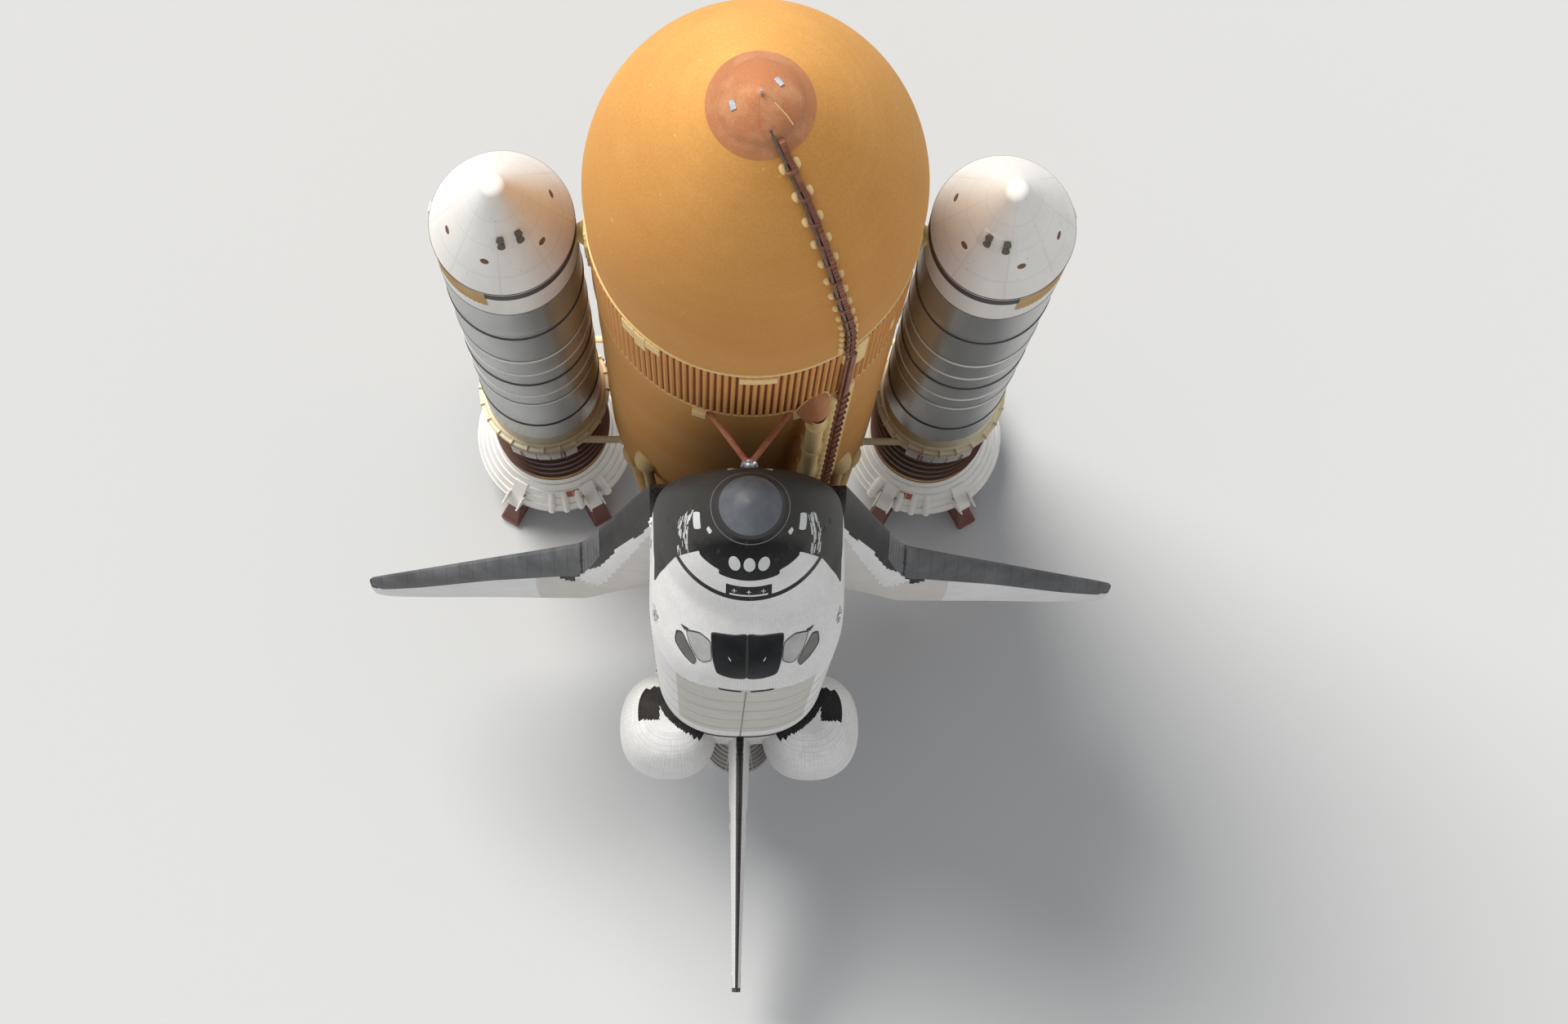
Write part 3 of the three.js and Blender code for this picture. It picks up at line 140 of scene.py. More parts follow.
def capped(grid):
    """A closed shape from a grid of closed rings: the rings joined in order, with a fan to the middle at each end."""
    middles = grid[[0, -1]].mean(axis=1, keepdims=True) * np.ones((1, grid.shape[1], 1))
    return sheet_of(np.concatenate([middles[:1], grid, middles[1:]]), around=True)


def together(shapes):
    """Several shapes as one, each with its points numbered after those before it. One shape stays as it is."""
    if isinstance(shapes, dict):
        return shapes
    starts = np.cumsum([0] + [len(shape["points"]) for shape in shapes[:-1]])
    return {"points": np.concatenate([shape["points"] for shape in shapes]),
            "faces": np.concatenate([shape["faces"] + start for shape, start in zip(shapes, starts)]),
            "corners": np.concatenate([shape["corners"] for shape in shapes])}


def flipped(shape):
    """The shape with its faces turned over."""
    return {**shape, "faces": shape["faces"][:, ::-1], "corners": shape["corners"][:, ::-1]}


def facing(shape, place, away=False):
    """The shape with its faces turned towards a place, or away from it: the sum of every face's area vector
    times its distance from the place has that sign."""
    a, b, c, d = (shape["points"][shape["faces"][:, i]] for i in range(4))
    spread = ((a + b + c + d) / 4 - place) * np.cross(c - a, d - b)
    return flipped(shape) if (spread.sum() > 0) != away else shape


def oriented(shape, inward=False):
    """The shape with its faces turned away from its middle, or towards it."""
    return facing(shape, shape["points"].mean(axis=0), away=not inward)


def piece(name, shape, finishes, slot, body="stack", hides=(), values={}, which=None, crisp=32.0):
    """Puts a shape, or several, into the scene as a piece on a body. Points that fall together are welded and
    faces that vanish are dropped, values are numbers for each point or face, and which picks a face's finish."""
    shape = together(shape)
    points = metres(shape["points"])
    _, first, merged = np.unique(np.round(points, 5), axis=0, return_index=True, return_inverse=True)
    faces = merged.reshape(-1)[shape["faces"]][:, ::-1]
    corners = shape["corners"][:, ::-1]
    kept = faces != np.roll(faces, -1, axis=1)
    whole = kept.sum(axis=1) >= 3
    kept &= whole[:, None]
    mesh = bpy.data.meshes.new(name)
    mesh.vertices.add(len(first))
    mesh.vertices.foreach_set("co", points[first].ravel())
    mesh.loops.add(int(kept.sum()))
    mesh.loops.foreach_set("vertex_index", faces[kept].astype(np.int32))
    counts = kept.sum(axis=1)[whole]
    mesh.polygons.add(len(counts))
    mesh.polygons.foreach_set("loop_start", np.concatenate([[0], np.cumsum(counts)[:-1]]).astype(np.int32))
    mesh.uv_layers.new(name="pattern").data.foreach_set("uv", corners[kept].ravel())
    for key, numbers in values.items():
        on_points = np.size(numbers) == len(points)
        layer = mesh.attributes.new(key, "FLOAT", "POINT" if on_points else "FACE")
        numbers = numbers[first] if on_points else np.broadcast_to(numbers, len(faces))[whole]
        layer.data.foreach_set("value", numbers.astype(np.float32))
    if which is not None:
        mesh.polygons.foreach_set("material_index", np.asarray(which)[whole].astype(np.int32))
    for finish in finishes if isinstance(finishes, (list, tuple)) else [finishes]:
        mesh.materials.append(finish)
    mesh.update(calc_edges=True)
    mesh.validate()
    mesh.shade_smooth()
    mesh.set_sharp_from_angle(angle=np.radians(crisp))
    made = bpy.data.objects.new(name, mesh)
    bpy.context.scene.collection.objects.link(made)
    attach(made, body)
    if hides:
        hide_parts(*hides)


def full_turn(count):
    """Even angles round a whole circle."""
    return np.radians(np.linspace(0, 360, count, endpoint=False))


def turned(profile, sides, axis=(0, 0)):
    """A profile of [radius, station] carried round an axis: each of its points draws a circle."""
    radius, station = np.asarray(profile, float).T[:, :, None]
    return oriented(sheet_of(polar(radius, full_turn(sides), station, axis=axis), around=True))


def node(tree, kind, sockets, **settings):
    """A shader node with its settings, and with each named or numbered input set, or linked from a socket."""
    made = tree.nodes.new("ShaderNode" + kind)
    for key, value in settings.items():
        setattr(made, key, value)
    for key, value in sockets.items():
        if isinstance(value, bpy.types.NodeSocket):
            tree.links.new(value, made.inputs[key])
        else:
            made.inputs[key].default_value = value
    return made


def finish_of(name, rough, metal=0.0, specular=0.5):
    """A new material, its node tree and its surface shader."""
    material = bpy.data.materials.new(name)
    material.use_nodes = True
    shader = material.node_tree.nodes["Principled BSDF"]
    shader.inputs["Roughness"].default_value = rough
    shader.inputs["Metallic"].default_value = metal
    shader.inputs["Specular IOR Level"].default_value = specular
    return material, material.node_tree, shader


def cloud(tree, scale, stretch=(1, 1, 1), detail=4.0, rough=0.55, offset=(0, 0, 0)):
    """A noise in the model's metres, drawn out by the stretch along each axis, from 0 to 1 about a half."""
    place = node(tree, "TexCoord", {}).outputs["Object"]
    mapped = node(tree, "Mapping", {"Vector": place, "Scale": stretch, "Location": offset}).outputs["Vector"]
    return node(tree, "TexNoise", {"Vector": mapped, "Scale": scale, "Detail": detail,
                                   "Roughness": rough}).outputs["Fac"]


def ranged(tree, value, low=0.0, high=1.0, first=0.0, last=1.0):
    """A value's share of the way from low to high, held at both ends and brought between first and last."""
    return node(tree, "MapRange", {"Value": value, "From Min": low, "From Max": high, "To Min": first,
                                   "To Max": last}).outputs["Result"]


def mixed(tree, share, first, second):
    """Two colours mixed by a share."""
    return node(tree, "Mix", {0: share, 6: first, 7: second}, data_type="RGBA").outputs[2]


def reckoned(tree, operation, *values):
    """The result of an operation on one to three numbers."""
    return node(tree, "Math", dict(enumerate(values)), operation=operation).outputs[0]


def weighted(tree, first, *others):
    """The sum of some values, each given with its weight."""
    total = reckoned(tree, "MULTIPLY", *first)
    for value, weight in others:
        total = reckoned(tree, "MULTIPLY_ADD", value, weight, total)
    return total


def dimmed(colour, *shares):
    """A colour with its red, green and blue cut to a share, or to one share each."""
    return (*(share * v for share, v in zip(shares * (3 // len(shares)), colour)), 1)


def mottled(name, first, second, rough, metal=0.0, specular=0.5, scale=3.0, detail=4.0, low=0.4, high=0.6):
    """A plain finish in two colours, mixed by a noise."""
    material, tree, shader = finish_of(name, rough, metal, specular)
    share = ranged(tree, cloud(tree, scale, detail=detail), low, high)
    tree.links.new(mixed(tree, share, first, second), shader.inputs["Base Color"])
    return material


def raised(tree, shader, height, depth, strength):
    """Bumps the surface by a height of that depth in metres."""
    bump = node(tree, "Bump", {"Height": height, "Distance": depth, "Strength": strength})
    tree.links.new(bump.outputs["Normal"], shader.inputs["Normal"])


def foam(name, light, dark, grain=34.0, shaded=0.0):
    """Sprayed foam: wide weathered patches, faint passes of the spray across the tank, fine speckle and an orange peel
    surface. Painted shade makes it darker and browner towards the orbiter, by the shaded share."""
    material, tree, shader = finish_of(name, 0.86, specular=0.25)
    wide = ranged(tree, cloud(tree, 0.55, (1, 1, 0.6), 5), 0.34, 0.66)
    passes = ranged(tree, cloud(tree, 1.0, (0.3, 0.3, 5.5), 3, 0.6), 0.35, 0.65)
    speckle = ranged(tree, cloud(tree, grain, detail=2), 0.36, 0.64)
    colour = mixed(tree, weighted(tree, (wide, 0.40), (passes, 0.09), (speckle, 0.34)), light, dark)
    chips = ranged(tree, cloud(tree, 11.0, detail=1, offset=(7, 3, 1)), 0.76, 0.79, 0, 0.5)
    colour = mixed(tree, chips, colour, (*(min(1.0, 1.5 * v + 0.05) for v in light[:3]), 1))
    # Painted shade: the foam turns darker and browner towards the orbiter's side.
    if shaded:
        place = node(tree, "TexCoord", {}).outputs["Object"]
        shade_towards_orbiter = ranged(tree, node(tree, "SeparateXYZ", {0: place}).outputs["Y"], 1.7, 4.9, shaded, 0.0)
        colour = mixed(tree, shade_towards_orbiter, colour, dimmed(dark, 0.72, 0.60, 0.45))
    tree.links.new(colour, shader.inputs["Base Color"])
    raised(tree, shader, cloud(tree, grain * 1.6, detail=3), 0.006, 0.35)
    return material


def ogive_at(station):
    """The tank's radius along its nose: an arc of a circle that runs into the straight side."""
    along = np.maximum(OGIVE_END - np.asarray(station, float), 0)
    return np.sqrt(OGIVE_RADIUS ** 2 - along ** 2) - (OGIVE_RADIUS - TANK_RADIUS)


# The tanks' foam carries painted shade towards the orbiter.
tank_foam = foam("sprayed_foam", FOAM_LIGHT, FOAM_DARK, shaded=0.5)
ogive_stations = TANK_NOSE + (INTERTANK_FROM - TANK_NOSE) * np.linspace(0, 1, 60) ** 1.15
ogive_profile = points_at(ogive_at(ogive_stations), ogive_stations)
ogive_profile = np.concatenate([[[0, TANK_NOSE]], ogive_profile, [[0, INTERTANK_FROM]]])
piece("oxygen_tank_foam", turned(ogive_profile, 192), tank_foam, "tank_foam", hides=["oxygen_tank"])

# The tank's nose cap
# A blunt cone in red brown ablator, with a bare rod at its tip, two vent louvres and a fairing like a wedge over
# the end of the gas line.
CAP_EDGE, CAP_LIFT = 384.0, 0.5
ROD_RADIUS, ROD_TIP = 1.2, 322.5
ABLATOR, ABLATOR_PALE = (0.50, 0.19, 0.072, 1), (0.62, 0.30, 0.14, 1)
LINES_ANGLE = 27.0
# Columns: distance from the axis, station, half width of the wedge's top.
WEDGE_TOP = [(2.0, 336.6, 1.6), (12.0, 339.4, 7.0), (24.0, 347.6, 12.0), (33.0, 356.4, 14.5), (35.0, 361.0, 14.5)]
# Columns: x, distance towards the orbiter.
LOUVRES = [(15.4, -13.0), (-24.4, 6.8)]


def ablator(name, base=ABLATOR, pale=ABLATOR_PALE, rough=0.72):
    """Brushed heat resistant coating: scuffed paler in patches, with fine grit and darker runs."""
    material, tree, shader = finish_of(name, rough)
    scuff = ranged(tree, cloud(tree, 2.6, detail=6, rough=0.65), 0.46, 0.70)
    grit = ranged(tree, cloud(tree, 60.0, detail=2), 0.35, 0.65)
    colour = mixed(tree, scuff, base, pale)
    colour = mixed(tree, ranged(tree, grit, last=0.30), colour, dimmed(base, 0.45))
    tree.links.new(colour, shader.inputs["Base Color"])
    raised(tree, shader, cloud(tree, 70.0, detail=3), 0.004, 0.3)
    return material


def corner_axis(a, b, signs):
    """The axis along which two neighbouring corners of a box differ."""
    return int(np.argmax(np.abs(signs[a] - signs[b])))


def boxes(centres, sizes, first=(1, 0, 0), second=(0, 1, 0), bevel=0.12):
    """Boxes with bevelled edges: each corner is cut back along the three edges that meet there. First and second
    are the directions of a box's first two sides, for all the boxes or for each."""
    centres = np.atleast_2d(np.asarray(centres, float))
    count = len(centres)
    half, one, two = (np.broadcast_to(np.asarray(value, float), (count, 3)) for value in (sizes, first, second))
    half = half / 2
    one = one / np.linalg.norm(one, axis=1, keepdims=True)
    two = two - (one * two).sum(axis=1, keepdims=True) * one
    two = two / np.linalg.norm(two, axis=1, keepdims=True)
    sides = np.stack([one, two, np.cross(one, two)], 1)
    signs = np.array([[i, j, k] for i in (-1, 1) for j in (-1, 1) for k in (-1, 1)], float)
    cut = half.min(axis=1)[:, None, None, None] * 2 * bevel
    local = signs[None, :, None, :] * (half[:, None, None, :] - cut * (1 - np.eye(3)[None, None]))
    points = centres[:, None] + np.einsum("nckj,njm->nckm", local, sides).reshape(count, 24, 3)
    number = {tuple(sign): i for i, sign in enumerate(signs.astype(int).tolist())}
    loop = ((-1, -1), (1, -1), (1, 1), (-1, 1))
    faces = []
    for axis in range(3):
        u, v = (axis + 1) % 3, (axis + 2) % 3
        for side in (-1, 1):
            corner = []
            for a, b in loop[::side]:
                sign = [0, 0, 0]
                sign[axis], sign[u], sign[v] = side, a, b
                corner.append(number[tuple(sign)] * 3)
            faces.append([c + axis for c in corner])
            for a, b in zip(corner, corner[1:] + corner[:1]):
                turn = u if corner_axis(a // 3, b // 3, signs) == v else v
                if axis < turn:
                    faces.append([a + axis, a + turn, b + turn, b + axis])
    for i, sign in enumerate(signs):
        faces.append([3 * i + k for k in ((0, 1, 2, 2) if sign.prod() > 0 else (0, 2, 1, 1))])
    every = (np.array(faces)[None] + 24 * np.arange(count)[:, None, None]).reshape(-1, 4)
    corners = np.tile(np.array([[0, 0], [1, 0], [1, 1], [0, 1]], float), (len(every), 1, 1))
    return {"points": points.reshape(-1, 3), "faces": every, "corners": corners}


def rod(path, radius, sides):
    """A round tube along a path: at each point a circle square to the path, whose radius may change."""
    path = np.asarray(path, float)
    along = np.gradient(path, axis=0)
    along /= np.linalg.norm(along, axis=1, keepdims=True)
    guide = np.where(np.abs(along.mean(axis=0)).argmax() == 2, [[1.0, 0, 0]], [[0, 0, 1.0]])
    left = np.cross(along, guide)
    left /= np.linalg.norm(left, axis=1, keepdims=True)
    over = np.cross(along, left)
    angle = full_turn(sides)[None, :, None]
    radii = np.broadcast_to(radius, len(path))[:, None, None]
    grid = path[:, None] + radii * (np.cos(angle) * left[:, None] + np.sin(angle) * over[:, None])
    return oriented(capped(grid))


def ways(degrees):
    """The directions outwards and across at an angle from the orbiter's side towards starboard."""
    turn = np.radians(degrees)
    return np.array([np.sin(turn), np.cos(turn), 0 * turn]), np.array([np.cos(turn), -np.sin(turn), 0 * turn])


red_coating = ablator("red_ablator")
louvre_metal = mottled("louvre", (0.70, 0.73, 0.78, 1), (0.50, 0.53, 0.60, 1), 0.35, 0.6, scale=30.0)
cap_rows = [[ogive_at(CAP_EDGE) - 0.5, CAP_EDGE + 0.4]]
cap_rows += [[ogive_at(s) + CAP_LIFT, s] for s in np.linspace(CAP_EDGE, TANK_NOSE, 6)]
cap_rows += [[37.2, 367.0], [33.0, 361.5], [26.0, 354.5], [18.0, 347.6], [11.0, 342.4], [6.0, 338.8], [3.0, 336.4],
             [ROD_RADIUS, 334.6]]
cap_rod = turned([[ROD_RADIUS, 334.7], [ROD_RADIUS, 325.0], [0.7, 323.2], [0.0, ROD_TIP]], 16)
run, flank = ways(LINES_ANGLE)
wedge = np.array([[run * r + flank * half * side + (0, 0, s)
                   for side, s in ((-1, top + 10), (-1, top), (1, top), (1, top + 10))]
                  for r, top, half in WEDGE_TOP])
wedge_edge = np.array([run * r + flank * half + (0, 0, top - 0.1) for r, top, half in WEDGE_TOP[1:4]])
piece("tank_cap_cone", [turned(cap_rows, 96), oriented(capped(wedge))], red_coating, "primer",
      hides=["tank_nose_cap"])
louvre_shapes = []
for x, up in LOUVRES:
    reach = np.hypot(x, up)
    out = np.array([x / reach, up / reach, 0])
    slope = np.array([*(out[:2] * 0.73), 0.68])
    tangent = np.array([-out[1], out[0], 0])
    centre = out * reach + (0, 0, np.interp(reach, (18.0, 26.0), (346.9, 353.8)))
    louvre_shapes += [boxes(centre, (6.0, 8.5, 1.6), slope, tangent)]
    louvre_shapes += [boxes(centre + slope * step + (0, 0, -0.9), (0.5, 7.6, 0.5), slope, tangent)
                      for step in (-1.8, 0.0, 1.8)]
piece("tank_cap_louvres", louvre_shapes + [cap_rod], louvre_metal, "primer")
trim_foam = foam("poured_foam", (0.88, 0.66, 0.32, 1), (0.70, 0.46, 0.18, 1), grain=26.0)
piece("tank_cap_wedge_edge", rod(wedge_edge, np.full(3, 0.55), 8), trim_foam, "foam_trim")

# The intertank
# A barrel of riveted panels with a stringer every seven inches, foamed over, with painted shade in the hollows
# between the stringers. Its thrust panels, under the boosters' fittings, are plainer and finely ribbed.
STRINGERS, STRINGER_HEIGHT, RIBS_TO_A_STRINGER = 144, 2.45, 8
THRUST_HALF, THRUST_RIB_HEIGHT = 20.0, 0.9
THRUST_STATION, THRUST_REACH = 985.0, 177.4

steps_round = STRINGERS * RIBS_TO_A_STRINGER
rib_phase = (np.arange(steps_round) % RIBS_TO_A_STRINGER) / RIBS_TO_A_STRINGER
rib_height = np.interp(rib_phase, [0, 0.12, 0.25, 0.5, 0.625, 0.75, 1], [0, 0.1, 1, 1, 0.9, 0.1, 0])
round_angle = 360.0 * np.arange(steps_round) / steps_round
from_thrust = np.minimum(np.abs(round_angle - 90), np.abs(round_angle - 270))
height = np.where(from_thrust < THRUST_HALF, THRUST_RIB_HEIGHT, STRINGER_HEIGHT) * rib_height
barrel_stations = np.array([INTERTANK_FROM, 855.5, 858.0, 864.0, 985.0, 1112.0, 1118.0, 1120.5, INTERTANK_TO])
barrel_share = np.array([0, 0, 0.75, 1, 1, 1, 0.75, 0, 0])
barrel = polar(TANK_RADIUS + 0.02 + barrel_share[:, None] * height, np.radians(round_angle), barrel_stations[:, None])
# The hollows between the ribs are marked for painted shade.
hollow_shade_mask = np.tile((rib_height + np.roll(rib_height, -1)) / 2 < 0.5, len(barrel_stations) - 1)


def foam_with_hollow_shade(name, light, dark):
    """The foam of the stringers: as the tank's, with painted shade, darker and redder, in the hollows
    that the hollow value marks.
    """
    material = foam(name, light, dark)
    tree = material.node_tree
    shader = tree.nodes["Principled BSDF"]
    plain = shader.inputs["Base Color"].links[0].from_socket
    hollow = node(tree, "Attribute", {}, attribute_name="hollow").outputs["Fac"]
    # Painted shade in the hollows: a dark red brown.
    tree.links.new(mixed(tree, hollow, plain, (0.17, 0.045, 0.012, 1)), shader.inputs["Base Color"])
    return material


piece("intertank_stringers", oriented(sheet_of(barrel, around=True)),
      foam_with_hollow_shade("stringer_foam", (0.74, 0.36, 0.10, 1), (0.52, 0.21, 0.05, 1)), "tank_foam", hides=["intertank"],
      values={"hollow": hollow_shade_mask * 0.95}, crisp=60)


def band(radius, start, end, lift, sides=192):
    """A raised strip round a cylinder, with its edges rounded off."""
    edge = min(lift, (end - start) / 2) * 0.7
    profile = [[radius - 0.3, start], [radius + lift * 0.6, start + edge * 0.2], [radius + lift, start + edge],
               [radius + lift, end - edge], [radius + lift * 0.6, end - edge * 0.2], [radius - 0.3, end]]
    return turned(profile, sides)


flanges = [band(TANK_RADIUS, INTERTANK_FROM - 3.5, INTERTANK_FROM + 3.2, 1.6),
           band(TANK_RADIUS, INTERTANK_TO - 2.2, INTERTANK_TO + 3.0, 1.3)]
piece("tank_flange_foam", flanges, trim_foam, "foam_trim")


def drum_patch(span, stations, lift):
    """A raised patch that follows the tank: a grid between two angles and two stations, with its edge brought
    down to the skin."""
    angle = np.radians([span[0], *np.linspace(span[0] + 0.12, span[1] - 0.12, 10), span[1]])
    station = np.array([stations[0], stations[0] + 0.4, stations[1] - 0.4, stations[1]])
    lifts = np.zeros((4, len(angle)))
    lifts[1:-1, 1:-1] = lift
    return sheet_of(polar(TANK_RADIUS + lifts, angle, station[:, None]))


# Columns: first angle, last angle, first station, last station, lift.
INTERTANK_PATCHES = [(-4.5, 8.5, 862.5, 892.0, 3.0), (35.5, 42.5, 858.0, 985.0, 3.2),
                     (-50.0, -44.0, 858.0, 905.0, 3.0), (-44.0, -39.0, 858.0, 925.0, 3.2),
                     (-39.0, -33.0, 858.0, 893.0, 3.0), (56.0, 58.5, 960.0, 1010.0, 3.0), (160, 172, 900, 960, 3.0),
                     (186, 190, 880, 1000, 3.0)]
patches = [drum_patch(row[:2], row[2:4], row[4]) for row in INTERTANK_PATCHES]
for side in (-1, 1):
    patches.append(rod([[side * x, 0, THRUST_STATION] for x in (150, 168.5, 170.5, THRUST_REACH)], [22, 20, 13, 9],
                       32))
    patches.append(boxes([side * 166.6, 0, THRUST_STATION], (5.0, 44, 62), bevel=0.3))
    patches += [boxes([side * 166.2, 0, THRUST_STATION + shift], (4.4, 40, 7), bevel=0.3)
                for shift in (-82, -60, 60, 82)]
piece("intertank_fittings", patches, trim_foam, "foam_trim")

# The hydrogen tank
# A long straight barrel and a flattened dome under the same foam. Its weld lands show as faint bands.
HYDROGEN_END, DOME_END = 2058.0, 2172.0
WELD_LANDS = (1377.3, 1624.0, 1871.0)

barrel_rows = [[0, INTERTANK_TO], [TANK_RADIUS, INTERTANK_TO]]
for station in WELD_LANDS:
    barrel_rows += [[TANK_RADIUS + lift, station + aside] for aside, lift in ((-5, 0), (-3, 0.35), (3, 0.35), (5, 0))]
dome_angle = np.radians(np.linspace(0, 90, 24))
dome_rows = points_at(TANK_RADIUS * np.cos(dome_angle),
                      HYDROGEN_END + (DOME_END - HYDROGEN_END) * np.sin(dome_angle))
dome_rows[-1, 0] = 0
piece("hydrogen_tank_foam", turned(np.concatenate([barrel_rows, dome_rows]), 192), tank_foam, "tank_foam",
      hides=["hydrogen_tank"])
manholes = [turned([[26, 2166.0], [25, 2173.5], [12, 2174.5], [0, 2174.6]], 48, (0, -8)),
            turned([[5, 2160.0], [5, 2177.0], [0, 2177.0]], 24, (-48, 18))]
piece("hydrogen_tank_manhole", manholes, trim_foam, "foam_trim")

# The gas line and the cable tray on the oxygen tank
# A thin bare line and a tray of folded sheet in brown primer. Straps carry them off the foam every 33 inches, and
# each strap stands between two ramps of poured foam.
TRAY_STATIONS = [346, 362, 387, 430, 505, 605, 730, 868]
TRAY_ANGLES = [25.0, 27.0, 28.5, 30.3, 30.8, 31.2, 33.2, 34.4]
TRAY_HALF, TRAY_LOW, TRAY_HIGH, LINE_ASIDE, GAS_LINE_RADIUS = 2.6, 2.6, 7.4, 5.0, 1.5
STRAPS_FROM, STRAP_PITCH, STRAPS = 396, 33, 14


def along_tank(stations, angles, outline):
    """An outline of [across, lift] carried along the tank's skin past the stations, at an angle for each."""
    station = np.asarray(stations, float)[:, None]
    angle = np.radians(np.broadcast_to(angles, len(stations)))[:, None]
    across, lift = np.asarray(outline, float).T
    return oriented(capped(polar(ogive_at(station) + lift, angle, station, across)))


def circle(radius, middle):
    """A circle's points as [across, lift]."""
    angle = full_turn(14)
    return points_at(middle[0] + radius * np.cos(angle), middle[1] + radius * np.sin(angle))


def rounded(left, right, low, high, corner):
    """A rectangle of [across, lift] with each corner cut in two steps, near enough an arc."""
    cuts = np.array([[0, 1], [0.3, 0.3], [1, 0]]) * corner
    rows = [(left, low, 1, 1), (right, low, -1, 1), (right, high, -1, -1), (left, high, 1, -1)]
    return np.concatenate([(np.array([x, y]) + cuts[::sx * sy] * (sx, sy)) for x, y, sx, sy in rows])


def mound(angle, station, across, along, height, lean=0.0):
    """A foam ramp on the tank's skin: an ellipse in plan whose height falls off as a dome's, with the top moved
    along by a lean."""
    share = np.sin(np.linspace(0, np.pi / 2, 7))[:, None]
    turn = full_turn(28)[None]
    rise = np.sqrt(np.maximum(1 - share ** 2, 0))
    s = station + along * (share * np.sin(turn) + lean * rise)
    sideways = across * share * np.cos(turn)
    radius = np.sqrt(np.maximum(ogive_at(s) ** 2 - sideways ** 2, 0)) - 0.3 + (height + 0.3) * rise
    return oriented(sheet_of(polar(radius, np.radians(angle), s, sideways), around=True))


def tray_angle(station):
    """The angle of the cable tray on the nose, which the tray's table gives between its stations."""
    return np.interp(station, TRAY_STATIONS, TRAY_ANGLES)


def beside(station, inches):
    """The tray's angle there, less the turn that a distance in inches takes up on the skin."""
    return tray_angle(station) - np.degrees(inches / np.maximum(ogive_at(station) + 5, 20))


tray_primer = ablator("brown_primer", (0.20, 0.060, 0.026, 1), (0.40, 0.15, 0.06, 1), 0.6)
line_metal = mottled("dark_line", (0.10, 0.060, 0.045, 1), (0.19, 0.12, 0.09, 1), 0.52, 0.3, scale=14.0, low=0.35,
                     high=0.65)
tray_run = np.linspace(366, 868, 46)
straps = STRAPS_FROM + STRAP_PITCH * np.arange(STRAPS)
tray_shapes = [along_tank(tray_run, tray_angle(tray_run), rounded(-TRAY_HALF, TRAY_HALF, TRAY_LOW, TRAY_HIGH, 0.8))]
for s in straps:
    hoop = np.array([s - 1.5, s + 1.5])
    tray_shapes.append(along_tank(hoop, tray_angle(hoop), rounded(-3.3, 3.3, -0.5, 8.1, 0.8)))
    tray_shapes.append(along_tank(hoop, beside(hoop, LINE_ASIDE), rounded(-2.5, 2.5, -0.5, 8.0, 1.2)))
ladder = np.arange(390, 860, 7.6)
rungs = polar(ogive_at(ladder) + TRAY_HIGH + 0.15, np.radians(tray_angle(ladder)), ladder)
over, beside_tray = (way.T for way in ways(tray_angle(ladder)))
tray_shapes.append(boxes(rungs, (4.4, 0.7, 0.8), beside_tray, over))
piece("tray_on_oxygen_tank", tray_shapes, tray_primer, "primer", hides=["upper_line_tray"])
line_run = np.linspace(352, 868, 60)
gas_line = along_tank(line_run, beside(line_run, LINE_ASIDE), circle(GAS_LINE_RADIUS, (0, 5.6)))
piece("gas_line_on_oxygen_tank", gas_line, line_metal, "primer")
ramps = []
for s in np.concatenate([straps, [820.0, 842.0]]):
    ramps += [mound(beside(s, aside), s, 3.4, 5.0, 3.4, 0.3) for aside in (-5.6, 9.4)]
    ramps.append(mound(beside(s, 2.5), s + 4, 7.0, 3.4, 2.0))
piece("ramps_on_oxygen_tank", ramps, trim_foam, "foam_trim")

# The tray on the hydrogen tank
# The same tray and line go on down the barrel in brown primer. A ramp of foam swells round each of the brackets,
# and a long low strip of foam lies on the tray's far side.
LOWER_ANGLE, LOWER_FROM, LOWER_TO = 35.0, 868.0, 2022.0
BRACKETS_FROM, BRACKET_PITCH, BRACKETS = 1140.0, 44.0, 20

lower_run = np.array([LOWER_FROM, 900, 1100, 1126, 1160, 1600, LOWER_TO])
lower_tray = [along_tank(lower_run, LOWER_ANGLE, rounded(-2.4, 4.2, 2.6, 8.0, 0.8)),
              along_tank(lower_run, LOWER_ANGLE, circle(1.7, (-7.4, 6.6)))]
swells = []
for s in BRACKETS_FROM + BRACKET_PITCH * np.arange(BRACKETS):
    lower_tray.append(along_tank([s - 1.4, s + 1.4], LOWER_ANGLE, rounded(-9.6, 6.2, -0.5, 10.0, 1.2)))
    swells += [mound(LOWER_ANGLE - 4.6, s, 8.0, 9.5, 10.5, 0.3), mound(LOWER_ANGLE + 3.0, s, 4.5, 8.0, 5.0, 0.3)]
piece("tray_on_hydrogen_tank", lower_tray, tray_primer, "primer", hides=["lower_line_tray"])
strip_run = np.array([1126, 1160, 1400, 1700, LOWER_TO])
strip = [along_tank(strip_run, LOWER_ANGLE + 4.6, rounded(-3.4, 3.4, -0.5, 2.8, 0.8)),
         along_tank(np.array([862, 866, 906, 912]), LOWER_ANGLE - 0.3, rounded(-8.5, 8.5, -0.5, 4.6, 1.0))]
piece("ramps_on_hydrogen_tank", swells + strip, trim_foam, "foam_trim")

# The oxygen feedline
# A wide pipe in poured foam, with a bellows collar and bracket at each joint. It comes out of the intertank under
# a rounded hood of ablator, and ends in a bend into the orbiter's belly.
FEED_X, FEED_UP, FEED_RADIUS, BELLY = 70.0, 167.0, 9.5, 283.0 + ORBITER_LIFT
FEED_JOINTS = (1158.0, 1345.0, 1532.0, 1719.0, 1906.0)
# Columns: distance aft of the joint's middle, lift of the collar there.
COLLAR = [(-9, 0), (-7, 2.2), (-2.5, 2.2), (-2, 0.9), (2, 0.9), (2.5, 2.2), (7, 2.2), (9, 0)]
HOOD_HIGH, HOOD_HALF, HOOD_ANGLE, HOOD_SWEEP = 24.0, 17.5, 24.5, 2.0

